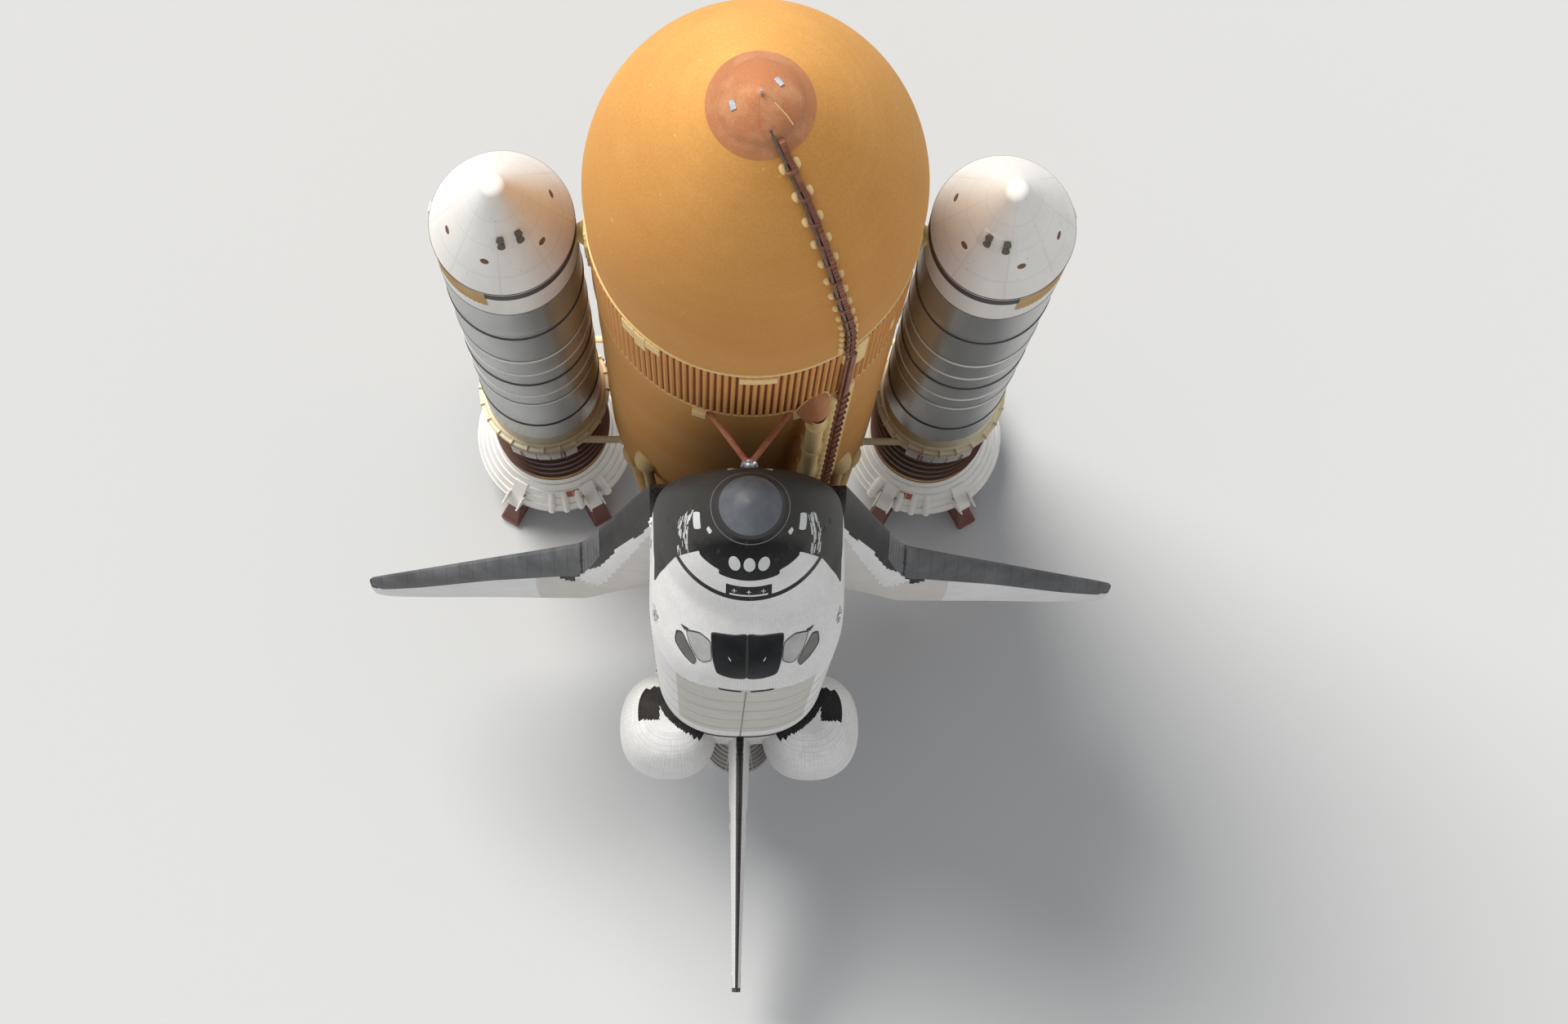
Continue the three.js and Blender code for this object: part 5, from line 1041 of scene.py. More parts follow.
def both_halves(grid):
    """Closed rings from a starboard half: up the starboard side and down the port side."""
    return np.concatenate([grid, grid[:, -2:0:-1] * (-1, 1, 1)], 1)


def in_steps(breaks, pitch):
    """Values from the first break to the last, through each, about a pitch apart."""
    parts = [np.linspace(a, b, max(1, round((b - a) / pitch)) + 1)[:-1] for a, b in zip(breaks, breaks[1:])]
    return np.concatenate(parts + [breaks[-1:]])


def centres(shape):
    """The middles of a shape's faces."""
    return shape["points"][shape["faces"]].mean(axis=1)


def without(shape, gone):
    """A shape without some of its faces."""
    return {**shape, "faces": shape["faces"][~gone], "corners": shape["corners"][~gone]}


def orbiter_piece(name, shape, *finish_and_slot, side=1, **settings):
    """A piece of the orbiter, in its own inches: lowered on to the tank's axis and moved aft, and mirrored to
    port where side is -1."""
    shape = together(shape)
    shape = {**shape, "points": shape["points"] * (side, 1, 1) + (0, ORBITER_LIFT, ORBITER_OFFSET)}
    piece(name, shape if side > 0 else flipped(shape), *finish_and_slot, **settings)


def carbon(name, base=CARBON, worn=CARBON_WORN):
    """Coated carbon: smooth and a little glossy, mottled by heat."""
    material, tree, shader = finish_of(name, 0.42)
    wide = ranged(tree, cloud(tree, 2.2, detail=5), 0.38, 0.66)
    fine = ranged(tree, cloud(tree, 30.0, detail=3), 0.40, 0.66)
    colour = mixed(tree, ranged(tree, fine, last=0.35), mixed(tree, wide, base, worn), (0.09, 0.09, 0.095, 1))
    tree.links.new(colour, shader.inputs["Base Color"])
    tree.links.new(ranged(tree, wide, first=0.5, last=0.66), shader.inputs["Roughness"])
    raised(tree, shader, cloud(tree, 45.0, detail=2), 0.001, 0.3)
    return material


nose_carbon = carbon("nose_carbon")
cap_stations = NOSE_TIP_STATION + (NOSE_CAP_END - 0.05 - NOSE_TIP_STATION) * np.linspace(0, 1, 26) ** 1.7
cap_shell = oriented(capped(both_halves(body_grid(cap_stations, [], [48]))))
seal_black = painted("cap_seal", (0.018, 0.018, 0.019, 1), (0.05, 0.047, 0.045, 1), 0.5)
cap_edge = centres(cap_shell)[:, 2] > CAP_PAINT_END
orbiter_piece("nose_cap_shell", cap_shell, [nose_carbon, seal_black], "reinforced_carbon", hides=["nose_cap"],
              which=np.where(cap_edge, 1, 0))

# The orbiter's forward body
# Aluminium under silica tiles, one face of the mesh for each tile: black and worn grey below and round the nose,
# white above. The hatch's hole, the wheel bay and the cabin behind it are open.
BAY_FROM, BAY_TO, SILL = 582.0, 1307.0, 420.0
HATCH_UP, HATCH_Z, HATCH_RADIUS = 350.0, 506.0, 20.0
WHEEL_BAY_X, WHEEL_BAY_FROM, WHEEL_BAY_TO, WHEEL_BAY_ROOF = 23.1, 297.55, 374.45, 317.0
MOVE_GAP = 0.45
WHITE_TILE, TILE_SHADE, TILE_GRIME = (0.83, 0.82, 0.80, 1), (0.70, 0.69, 0.67, 1), (0.56, 0.54, 0.51, 1)
BLACK_TILE, TILE_BROWN, TILE_JOINT = (0.012, 0.012, 0.0125, 1), (0.031, 0.027, 0.025, 1), (0.075, 0.070, 0.066, 1)
SEAL_FROM, SEAL_TO = 263.4, 264.6


def cell_tone(tree, steps=(1.0, 1.0)):
    """A random tone for each cell of the pattern."""
    place = node(tree, "UVMap", {}, uv_map="pattern").outputs["UV"]
    pitch = (1 / steps[0], 1 / steps[1], 0)
    scaled = node(tree, "VectorMath", {0: place, 1: pitch}, operation="MULTIPLY").outputs[0]
    cell = node(tree, "VectorMath", {0: scaled}, operation="FLOOR").outputs[0]
    return node(tree, "TexWhiteNoise", {"Vector": cell}, noise_dimensions="3D").outputs["Value"]


def tiles(name, base, other, line, line_width, rough, spread, grime, dark=None):
    """Tiles: each takes a tone between two colours, with a line of another colour at the joints between them,
    and grime runs aft over all. Where the points' dark value is above nothing they take the dark colours, greyer
    by the worn value."""
    material, tree, shader = finish_of(name, rough, specular=0.08)
    tone, lines = ranged(tree, cell_tone(tree), last=spread), seam_lines(tree, line_width)
    colour = mixed(tree, tone, base, other)
    runs = ranged(tree, cloud(tree, 2.4, (1, 1, 0.09), 6, 0.62), 0.42, 0.72)
    blots = ranged(tree, cloud(tree, 1.1, detail=7, rough=0.66, offset=(3, 1, 4)), 0.48, 0.74)
    dirt = weighted(tree, (runs, 0.55), (blots, 0.45))
    colour = mixed(tree, ranged(tree, dirt, last=0.55), colour, grime)
    specks = ranged(tree, cloud(tree, 42.0, detail=1, offset=(9, 9, 2)), 0.70, 0.73)
    colour = mixed(tree, ranged(tree, specks, last=0.7), colour, grime)
    colour = mixed(tree, ranged(tree, lines, last=0.75), colour, line)
    if dark:
        first, second, joint = dark
        black = mixed(tree, tone, first, second)
        worn = ranged(tree, cloud(tree, 9.0, (1, 1, 0.3), 5, 0.7), 0.55, 0.75, 0, 0.6)
        rubbed = node(tree, "Attribute", {}, attribute_name="worn").outputs["Fac"]
        black = mixed(tree, ranged(tree, rubbed, last=0.8), black, (0.052, 0.050, 0.046, 1))
        black = mixed(tree, worn, black, (0.085, 0.080, 0.075, 1))
        black = mixed(tree, ranged(tree, lines, last=0.7), black, joint)
        depth = node(tree, "Attribute", {}, attribute_name="dark").outputs["Fac"]
        colour = mixed(tree, ranged(tree, depth, -0.12, 0.12), colour, black)
    tree.links.new(colour, shader.inputs["Base Color"])
    joints = seam_lines(tree, line_width * 1.3)
    raised(tree, shader, ranged(tree, joints, first=1, last=0), 0.002, 0.5)
    return material


def quilt(name, base, shade, pitch=1.0):
    """Quilted felt blankets: fine stitched squares that puff, wider soiled patches, and a darker line where one
    blanket meets the next."""
    material, tree, shader = finish_of(name, 0.88, specular=0.2)
    blanket = (4.0 * pitch, 5.0 * pitch)
    wide = ranged(tree, cloud(tree, 1.3, detail=7, rough=0.68), 0.40, 0.70)
    fine = ranged(tree, cloud(tree, 26.0, detail=3), 0.38, 0.66)
    share = weighted(tree, (wide, 0.45), (fine, 0.25), (cell_tone(tree, blanket), 0.22))
    colour = mixed(tree, share, base, shade)
    colour = mixed(tree, ranged(tree, seam_lines(tree, 0.02, blanket), last=0.22), colour, dimmed(shade, 0.6))
    tree.links.new(colour, shader.inputs["Base Color"])
    stitches = seam_lines(tree, 0.16, (pitch, pitch))
    raised(tree, shader, ranged(tree, stitches, first=1, last=0), 0.0035, 0.4)
    return material


white_tiles = tiles("white_tiles", WHITE_TILE, TILE_SHADE, (0.44, 0.43, 0.42, 1), 0.035, 0.5, 0.5, TILE_GRIME)
black_tiles = tiles("black_tiles", BLACK_TILE, TILE_BROWN, TILE_JOINT, 0.05, 0.5, 0.45, (0.088, 0.072, 0.060, 1))
nose_blacks = ((0.0045, 0.0048, 0.005, 1), (0.009, 0.0088, 0.0085, 1), (0.016, 0.015, 0.0145, 1))
nose_tiles = tiles("nose_tiles", WHITE_TILE, TILE_SHADE, (0.44, 0.43, 0.42, 1), 0.04, 0.5, 0.5, TILE_GRIME,
                   nose_blacks)
grey_blanket = quilt("grey_blanket", (0.60, 0.575, 0.53, 1), (0.50, 0.475, 0.435, 1))
white_blanket = quilt("white_blanket", (0.79, 0.785, 0.77, 1), (0.66, 0.65, 0.63, 1))
inner_green = mottled("primed_structure", (0.30, 0.33, 0.20, 1), (0.20, 0.22, 0.14, 1), 0.55, scale=4.0, detail=5,
                      high=0.65)


def nose_black(at):
    """Which of the forward body's points are black: above nothing, a distance in inches that grows into the black.
    The sides up to the chine and aft to a slanting edge, the top of the nose back to a stepped edge, an arc
    behind the thrusters' module, and the vents' bar."""
    x, up, z = np.abs(at[:, 0]), at[:, 1], at[:, 2]
    chine = np.interp(z, [236, 379, 427, 455, 481, 600], [379, 378, 382, 386.6, 391.5, 391.5])
    rear = np.interp(up, [283, 301, 315, 322, 345, 371, 391], [600, 545, 505, 477, 464, 468, 489])
    side = np.minimum(chine - up, rear - z)
    top = np.minimum(np.where(x < 31, 327.0, 318.5) - z, 51 - x)
    arc = np.minimum(np.minimum(z - 366.0, 377.0 - z), 79 - x)
    bar = np.minimum(np.minimum(z - 341.0, 377.0 - z), 23.7 - x)
    strip = np.minimum(np.minimum(z - 361.5, 365.5 - z), 20 - x)
    around_cap = np.minimum(302 - z, 392 - up)
    return np.maximum.reduce([side, top, arc, np.minimum(bar, -strip), around_cap])


def nose_worn(at):
    """How far each of the forward body's points is rubbed grey: the flanks and the chin, all but the nose's top."""
    x, up, _ = np.abs(at[:, 0]), at[:, 1], at[:, 2]
    return np.clip(np.maximum((x - 52) / 8, (376 - up) / 10), 0, 1)


forward_stations = in_steps([NOSE_CAP_END, SEAL_FROM, SEAL_TO, WHEEL_BAY_FROM, 341.0, WHEEL_BAY_TO, 430.0, 498.0,
                             BAY_FROM - 0.03], 3.0)
forward_grid = both_halves(body_grid(forward_stations, [("x", WHEEL_BAY_X)], [8, 110]))
port = forward_grid[..., 0] < -60
away = forward_grid[..., 1:] - (HATCH_UP, HATCH_Z)
distance = np.linalg.norm(away, axis=-1)
# The grid's points near the hatch's circle move on to it.
rim = HATCH_RADIUS + MOVE_GAP
near = port & (np.abs(distance - rim) < 1.6)
shifted = (HATCH_UP, HATCH_Z) + away / np.maximum(distance, 1e-6)[..., None] * rim
forward_grid[..., 1:] = np.where(near[..., None], shifted, forward_grid[..., 1:])


def near_hatch(at, reach):
    """Which of some places are on the port side and within a reach of the hatch's middle."""
    return (at[:, 0] < -60) & (np.hypot(at[:, 1] - HATCH_UP, at[:, 2] - HATCH_Z) < reach)


forward = sheet_of(forward_grid, around=True)
at = centres(forward)
in_wheel_bay = ((np.abs(at[:, 0]) < WHEEL_BAY_X) & (at[:, 1] < 320) & (at[:, 2] > WHEEL_BAY_FROM)
                & (at[:, 2] < WHEEL_BAY_TO))
forward = oriented(without(forward, near_hatch(at, rim - 0.8) | in_wheel_bay))
at = centres(forward)
seal = (at[:, 2] > SEAL_FROM) & (at[:, 2] < SEAL_TO)
blanket = (at[:, 2] > 563 + 14 * (at[:, 0] / 75) ** 2) & (np.abs(at[:, 0]) < 75) & (at[:, 1] > 440)
seal_grey = painted("seal_grey", (0.13, 0.135, 0.14, 1), (0.05, 0.05, 0.05, 1), 0.5)
orbiter_piece("forward_skin", forward, [nose_tiles, grey_blanket, seal_grey], "white_tile", hides=["forward_body"],
              values={"dark": nose_black(forward["points"]), "worn": nose_worn(forward["points"])},
              which=np.select([seal, blanket], [2, 1], default=0), crisp=40)


def back_at(x, z, lift):
    """The height of the body's upper skin over a point of the plan, raised square to the sections."""
    x, z, lift = np.broadcast_arrays(x, z, lift)
    _, middle, top, width, above, _ = smooth(BODY, z.ravel()).T
    share = np.clip(np.abs(x.ravel()) / (width + lift.ravel()), 0, 1)
    return (middle + (top - middle + lift.ravel()) * (1 - share ** above) ** (1 / above)).reshape(x.shape)


def side_at(up, z, lift=0.0):
    """How far the body's side lies from the middle at a height."""
    up, z, lift = np.broadcast_arrays(up, z, lift)
    bottom, middle, top, width, above, below = smooth(BODY, z.ravel()).T
    over = up.ravel() - middle
    share = np.abs(over) / np.where(over > 0, top - middle, middle - bottom)
    power = np.where(over > 0, above, below)
    return ((width + lift.ravel()) * (1 - np.clip(share, 0, 1) ** power) ** (1 / power)).reshape(up.shape)


def slab_of(outer, inner):
    """A closed slab between two grids of the same rows: rings that go out along one and back along the other."""
    return oriented(capped(np.concatenate([outer, inner[:, ::-1]], 1)))


def hatch_circle(radius):
    """The heights and stations of a circle, or of several, about the crew hatch's middle."""
    turn = full_turn(48)
    return HATCH_UP + radius * np.sin(turn), HATCH_Z + radius * np.cos(turn)


up, z = hatch_circle(rim)
tube_rows = [points_at(-(side_at(up, z) - depth), up, z) for depth in (0.05, 1.2, 5.0, 8.5)]
hatchway = oriented(sheet_of(np.array(tube_rows), around=True), inward=True)
cabin = sheet_of(both_halves(body_grid(in_steps([386.0, 470.0, 575.0], 12), [("y", 300.5)], [4, 26], grow=-5.2)),
                 around=True)
cabin = without(cabin, near_hatch(centres(cabin), 24))
lockers = boxes([[x, up, 405.0] for x in np.arange(-54, 55, 18) for up in (316, 334, 352, 370)], (17, 16.6, 14),
                bevel=0.06)
seats = [boxes([[x, 322, 470], [x, 340, 484]], [[19, 5, 20], [19, 34, 5]], bevel=0.2) for x in (-44, -18, 8)]
deck = boxes([0, 301.5, 487], (150, 2.0, 168), bevel=0.1)
cabin_cream = painted("cabin_panels", (0.50, 0.49, 0.44, 1), (0.36, 0.35, 0.31, 1), 0.6)
orbiter_piece("cabin_lining", [oriented(cabin, inward=True), hatchway, lockers, deck], cabin_cream, "white_tile")
seat_cloth = painted("seat_cloth", (0.09, 0.13, 0.20, 1), (0.14, 0.18, 0.25, 1), 0.9)
orbiter_piece("cabin_seats", seats, seat_cloth, "white_tile")


def end_walls(rings):
    """The walls that close the first and the last of some rings of four points."""
    return [sheet_of(ring[[[0, 1], [3, 2]]]) for ring in rings[[0, -1]]]


# Columns: station, height of the bay's open edge.
WHEEL_BAY_ROWS = [(WHEEL_BAY_FROM, 296.0), (WHEEL_BAY_FROM + 1, 296.0), (335.0, 291.2), (WHEEL_BAY_TO - 1, 287.6),
                  (WHEEL_BAY_TO, 287.6)]
wheel_rings = np.array([[[-WHEEL_BAY_X, low, z], [WHEEL_BAY_X, low, z], [WHEEL_BAY_X, WHEEL_BAY_ROOF, z],
                         [-WHEEL_BAY_X, WHEEL_BAY_ROOF, z]] for z, low in WHEEL_BAY_ROWS])
wheel_box = sheet_of(wheel_rings, around=True)
wheel_box = without(wheel_box, centres(wheel_box)[:, 1] < 298)
frame_stations = np.arange(308, 372, 12.5)
bay_ribs = boxes([[0, 315.4, z] for z in frame_stations], (44, 3, 2.0))
bay_walls = boxes([[side * 21.9, 305, z] for side in (-1, 1) for z in frame_stations], (2.2, 20, 1.6))
orbiter_piece("nose_wheel_bay", [oriented(together([wheel_box, *end_walls(wheel_rings)]), inward=True), bay_ribs,
                                 bay_walls], inner_green, "white_tile")

# The nose gear doors
# Two tiled panels on hinges along their outer edges, which meet on the middle line.
for name, side in SIDES.items():
    across = np.linspace(MOVE_GAP / 2, 22.0, 6)
    along = in_steps([298.0, 374.0], 6.0)
    x, z = np.meshgrid(across, along)
    bottom, middle, _, width, _, below = smooth(BODY, along).T[..., None]
    belly = middle - (middle - bottom) * (1 - (x / width) ** below) ** (1 / below)
    outer_face = points_at(side * x, belly, z)
    door = slab_of(outer_face, outer_face + (0, 2.0, 0))
    at = centres(door)
    outside = at[:, 1] < np.interp(at[:, 2], along, belly[:, 2]) + 0.7
    orbiter_piece(f"nose_door_{name}", door, [inner_green, black_tiles], "black_tile", body=f"nose_gear_door_{name}",
                  hides=[f"nose_gear_door_{name}"], which=np.where(outside, 1, 0))

# The crew hatch
# A round tiled plug on the port side with a small window, a handle's cover, and a hinge on its lower edge.
HINGE_X, HINGE_UP, HINGE_PIN = -104.6, 327.5, 1.3

up, z = hatch_circle(HATCH_RADIUS * np.array([0.0, 0.2, 0.4, 0.6, 0.8, 0.97, 1.0])[:, None])
outer_face = points_at(-side_at(up, z, 0.02), up, z)
outer_face[-1, :, 0] += 0.3
plug = oriented(sheet_of(np.concatenate([outer_face, outer_face[::-1] + (4.0, 0, 0)]), around=True))
hatch_shapes = [plug, rod([[HINGE_X, HINGE_UP, HATCH_Z - 3], [HINGE_X, HINGE_UP, HATCH_Z + 3]], HINGE_PIN, 16),
                boxes([HINGE_X + 0.9, HINGE_UP + 2.8, HATCH_Z], (2.2, 5.0, 5.8))]
orbiter_piece("hatch_plug", hatch_shapes, white_tiles, "white_tile", body="crew_hatch", hides=["crew_hatch"])
dark_glass = mottled("window_glass", (0.005, 0.006, 0.007, 1), (0.012, 0.013, 0.015, 1), 0.06, specular=0.1)
up, z = hatch_circle(5.2 * np.array([0, 0.5, 1.0, 1.0])[:, None])
port_glass = points_at(-side_at(up, z, np.array([0.5, 0.5, 0.5, -0.5])[:, None]), up, z)
orbiter_piece("hatch_window", oriented(sheet_of(port_glass, around=True)), dark_glass, "window_glass",
              body="crew_hatch")
knuckles = [rod([[HINGE_X, HINGE_UP, HATCH_Z + a], [HINGE_X, HINGE_UP, HATCH_Z + b]], HINGE_PIN, 16)
            for a, b in ((-7, -3.03), (3.03, 7))]
knuckles += [boxes([HINGE_X + 1.6, HINGE_UP - 2.6, HATCH_Z + a], (2.6, 4.6, 3.8)) for a in (-5, 5)]
orbiter_piece("hatch_knuckles", knuckles, white_paint, "white_tile")

# The windows
# Panes behind raised dark frames: a wide black pair in the middle, a pale pair beside it whose colour is a painted
# reflection of the sky, narrow grey side panes, and two slits overhead. Outlines in plan as [x, station] to starboard.
CENTRE_PANE = [[-0.4, 453.0], [13, 456.5], [24, 457.0], [38.4, 459.5], [35.6, 493], [32, 513], [17, 518.5],
               [-0.4, 520]]
PALE_PANE = [[39, 471], [50.5, 466.5], [65, 474.5], [60.5, 488.5], [51.8, 502], [46, 501.8], [37.6, 494]]
SIDE_PANE = [[68.3, 480.5], [75, 487], [76.5, 503], [66, 511], [57, 515], [53.6, 504]]
OVERHEAD_PANE = [[5, 571], [18, 566], [29, 562], [29.5, 566.5], [18, 571], [5.5, 576]]


def softened(outline, times=3):
    """A closed outline with its corners cut again and again, each cut taking part of both its sides."""
    outline = np.asarray(outline, float)
    for i in range(times):
        after = np.roll(outline, -1, axis=0)
        share = 0.12 if i == 0 else 0.25
        outline = np.stack([outline + share * (after - outline), after - share * (after - outline)], 1).reshape(-1, 2)
    return outline


def on_back(outline, grows, lifts, side):
    """Rings of an outline on the body's back: each grown from the last by so much and raised by a lift."""
    middle = outline.mean(axis=0)
    away = outline - middle
    reach = np.linalg.norm(away, axis=1, keepdims=True)
    rings = []
    for grow, lift in zip(grows, lifts):
        ring = middle + away * np.maximum(1 + grow / reach, 0)
        rings.append(points_at(side * ring[:, 0], back_at(ring[:, 0], ring[:, 1], lift), ring[:, 1]))
    return oriented(sheet_of(np.array(rings), around=True))


# The pale panes' colour is a painted reflection of the sky.
sky_reflection_glass = mottled("pale_window", (0.44, 0.44, 0.42, 1), (0.30, 0.30, 0.29, 1), 0.12, scale=2.6, detail=5,
                     high=0.66)
grey_glass = mottled("grey_window", (0.125, 0.115, 0.10, 1), (0.075, 0.07, 0.062, 1), 0.10, scale=2.6, detail=5,
                     high=0.66)
frame_black = painted("window_frame", (0.022, 0.021, 0.021, 1), (0.06, 0.056, 0.053, 1), 0.5)
for name, side in SIDES.items():
    for kind, outline, finish, trim in (("centre", CENTRE_PANE, dark_glass, 0.9),
                                        ("pale", PALE_PANE, sky_reflection_glass, 0.45), ("side", SIDE_PANE, grey_glass, 0.45),
                                        ("overhead", OVERHEAD_PANE, dark_glass, 0.5)):
        smooth_outline = softened(outline)
        pane = on_back(smooth_outline, np.append(-np.arange(32.0, 0, -2.5), 0.05), [0.3] * 14, side)
        orbiter_piece(f"{kind}_pane_{name}", pane, finish, "window_glass",
                      hides=[f"windows_{name}"] if kind == "centre" else [], crisp=60)
        rim_shape = on_back(smooth_outline, [-0.2, 0.0, trim, trim + 0.25], [0.1, 0.75, 0.7, -0.1], side)
        if kind == "pale":
            tip = softened([[61.5, 470.5], [70.8, 473.6], [66.0, 476.5]], 2)
            rim_shape = together([rim_shape, on_back(tip, [-6, -3, -1, 0, 0.2], [0.3, 0.3, 0.3, 0.3, -0.2], side)])
        orbiter_piece(f"{kind}_frame_{name}", rim_shape, frame_black, "window_glass")

# Marks and thrusters on the nose
# Three pale covers on the module's thruster mouths, pale panels beside them, crosses on the vents' bar, and
# small dark mouths low on each side.
DISCS = [(-15.3, 296.3), (-0.1, 295.3), (14.7, 296.3)]
DISC_RADIUS, DISC_OVAL = 6.0, 2.0
# Corners of the pale panels on the nose's sides, and of a cover beside each, as [height, station].
SIDE_PANEL = [[341, 293], [342.5, 281], [359, 286.5], [358, 299]]
SIDE_COVER = [[360.3, 279], [357.7, 274], [363, 273], [365.5, 279]]

disc_paint = painted("thruster_cover", (0.62, 0.63, 0.62, 1), (0.48, 0.48, 0.47, 1), 0.6)
smudge_paint = painted("scuffs", (0.10, 0.085, 0.10, 1), (0.30, 0.27, 0.27, 1), 0.8)


def cover_at(x, z):
    """A raised oval cover on the body's back."""
    turn = full_turn(40)
    share = np.array([*np.linspace(0, 1, 6), 1.0])[:, None]
    lifts = np.array([0.3] * 6 + [-0.2])[:, None]
    xs, zs = x + DISC_RADIUS * share * np.cos(turn), z + DISC_OVAL * DISC_RADIUS * share * np.sin(turn)
    return oriented(sheet_of(points_at(xs, back_at(xs, zs, lifts), zs), around=True))


def side_mark(outline, side, lift=0.3):
    """A raised mark on the body's side, whose corners are [height, station]."""
    outline = softened(outline, 2)
    middle = outline.mean(axis=0)
    share = np.array([0.0, 0.35, 0.7, 1.0, 1.02])[:, None, None]
    up, z = np.moveaxis(middle + (outline - middle) * share, -1, 0)
    lifts = np.array([lift, lift, lift, lift, -0.25])[:, None]
    return oriented(sheet_of(points_at(side * side_at(up, z, lifts), up, z), around=True))


covers = [cover_at(x, z) for x, z in DISCS]
covers += [side_mark(outline, side) for side in (-1, 1) for outline in (SIDE_PANEL, SIDE_COVER)]
orbiter_piece("nose_covers", covers, disc_paint, "white_tile")
crosses = []
for x in (-15, 0, 15):
    spot = [x, back_at(np.array([x]), np.array([353.0]), 0.35)[0], 353.0]
    crosses += [boxes(spot, size, (1, 0, 0), (0, 1, -0.27)) for size in ((5.0, 0.5, 1.3), (1.0, 0.5, 10.0))]
orbiter_piece("vent_crosses", crosses, disc_paint, "white_tile")
draws = np.random.default_rng(11)
streaks, scuffs = [], []
for side in (-1, 1):
    # Worn strips run aft and up beside the module, and small scuffs lie on each shoulder.
    for up, z, length, width in zip(*(draws.uniform(low, high, 44)
                                      for low, high in ((338, 372), (-16, 15), (4, 17), (0.8, 2.8)))):
        z = 314 + (up - 345) * 1.15 + z
        far_up, far_z = up + length * 0.65, z + length * 0.75
        streaks.append(side_mark([[up, z], [far_up, far_z], [far_up, far_z + width], [up, z + width]], side, 0.22))
    for up, z, length, lean in zip(*(draws.uniform(low, high, 34)
                                     for low, high in ((417, 431), (511, 533), (3, 8), (-1, 1)))):
        far_up, far_z = up + length * lean, z + length * (1 - abs(lean))
        scuffs.append(side_mark([[up, z], [far_up, far_z + 0.5], [far_up + 0.5, far_z + 1.3], [up + 0.6, z + 0.8]],
                                side, 0.2))
orbiter_piece("worn_strips", streaks, disc_paint, "white_tile")
orbiter_piece("shoulder_scuffs", scuffs, smudge_paint, "white_tile")
mouths = []
for side in (-1, 1):
    for up, z in ((352, 338), (352, 352), (366, 345), (341, 366)):
        turn = full_turn(24)
        share, lift = np.array([[0.0, 0.7, 0.85, 1.0, 1.0], [-0.9, -0.9, 0.35, 0.35, -0.3]])[:, :, None]
        ups, zs = up + 3.6 * share * np.sin(turn), z + 3.6 * share * np.cos(turn)
        mouths.append(oriented(sheet_of(points_at(side * side_at(ups, zs, lift), ups, zs), around=True)))
orbiter_piece("side_thrusters", mouths, frame_black, "black_tile")

# The orbiter's middle body
# Frames and longerons under tiles and felt, with a deep bay along its back lined in white cloth.
TROUGH_RADIUS, TROUGH_CENTRE, LINER_LIFT = 97.0, 400.0, 0.3
# Columns: x, height, [width, height] of the end walls' stiffeners.
WALL_BARS = [(-40, 400, (3, 170)), (40, 400, (3, 170)), (-70, 400, (3, 120)), (70, 400, (3, 120)), (0, 440, (170, 3)),
             (0, 350, (150, 3))]
# Columns: radius, distance from the wall.
WALL_PORT = [[31, 0.2], [31, 4.0], [29.5, 5.0], [26.5, 5.0], [26.0, 2.4], [0.0, 3.2]]

middle_stations = in_steps([BAY_FROM, BAY_TO - 0.03], 6.0)
middle_half = body_grid(middle_stations, [("y", SILL - MOVE_GAP)], [58])
middle_skin = oriented(sheet_of(np.concatenate([middle_half[:, ::-1] * (-1, 1, 1), middle_half[:, 1:]], 1)))
at = centres(middle_skin)
orbiter_piece("middle_skin", middle_skin, [white_tiles, black_tiles, white_blanket], "white_blanket",
              hides=["middle_body"], which=np.select([at[:, 1] < 301, at[:, 1] < 330], [1, 0], default=2))


def trough_sheet(stations, lifts):
    """A surface along the bay from sill to sill, brought inwards by a lift at each station: upright walls above
    a half circle."""
    turn = np.radians(np.linspace(180, 360, 40))
    radius = TROUGH_RADIUS - np.asarray(lifts)[:, None]
    x = radius * np.concatenate([[-1], np.cos(turn), [1]])
    up = TROUGH_CENTRE + radius * np.concatenate([[0], np.sin(turn), [0]])
    up[:, [0, -1]] = SILL - MOVE_GAP
    return sheet_of(points_at(x, up, np.asarray(stations)[:, None]))


bay_middle = np.array([0, 420.0, 945.0])
liner_stations = in_steps([BAY_FROM, BAY_TO - 0.03], 8.0)
liner = facing(trough_sheet(liner_stations, np.full(len(liner_stations), LINER_LIFT)), bay_middle)
sill_rows = middle_half[:, -1]
sill_strips = []
for side in (-1, 1):
    inner_edge = points_at(side * (TROUGH_RADIUS - LINER_LIFT), sill_rows[:, 1], sill_rows[:, 2])
    sill_strips.append(facing(sheet_of(np.stack([sill_rows * (side, 1, 1), inner_edge])), (side * 100, 500, 945)))
frame_places = np.arange(642.0, 1300.0, 60.5)
bay_frames = [facing(trough_sheet([z - 3.4, z - 3.0, z + 3.0, z + 3.4], [0, 2.6, 2.6, 0]), (0, 420, z))
              for z in frame_places]
bay_cloth = quilt("bay_liner", (0.74, 0.74, 0.71, 1), (0.58, 0.58, 0.55, 1))
orbiter_piece("bay_liner", [liner, *sill_strips], bay_cloth, "white_blanket")
longerons = [boxes([[side * 95.4, 412, 944.5]], (2.6, 7.0, 716.0), bevel=0.15) for side in (-1, 1)]
longerons += [boxes([[side * 94.8, 404, z] for side in (-1, 1) for z in frame_places], (3.2, 9.0, 10.0), bevel=0.15)]
longerons += [boxes([[0, 304.6, z] for z in frame_places[1::2]], (12, 3.4, 14), bevel=0.15)]
orbiter_piece("bay_frames", bay_frames + longerons, inner_green, "white_blanket")


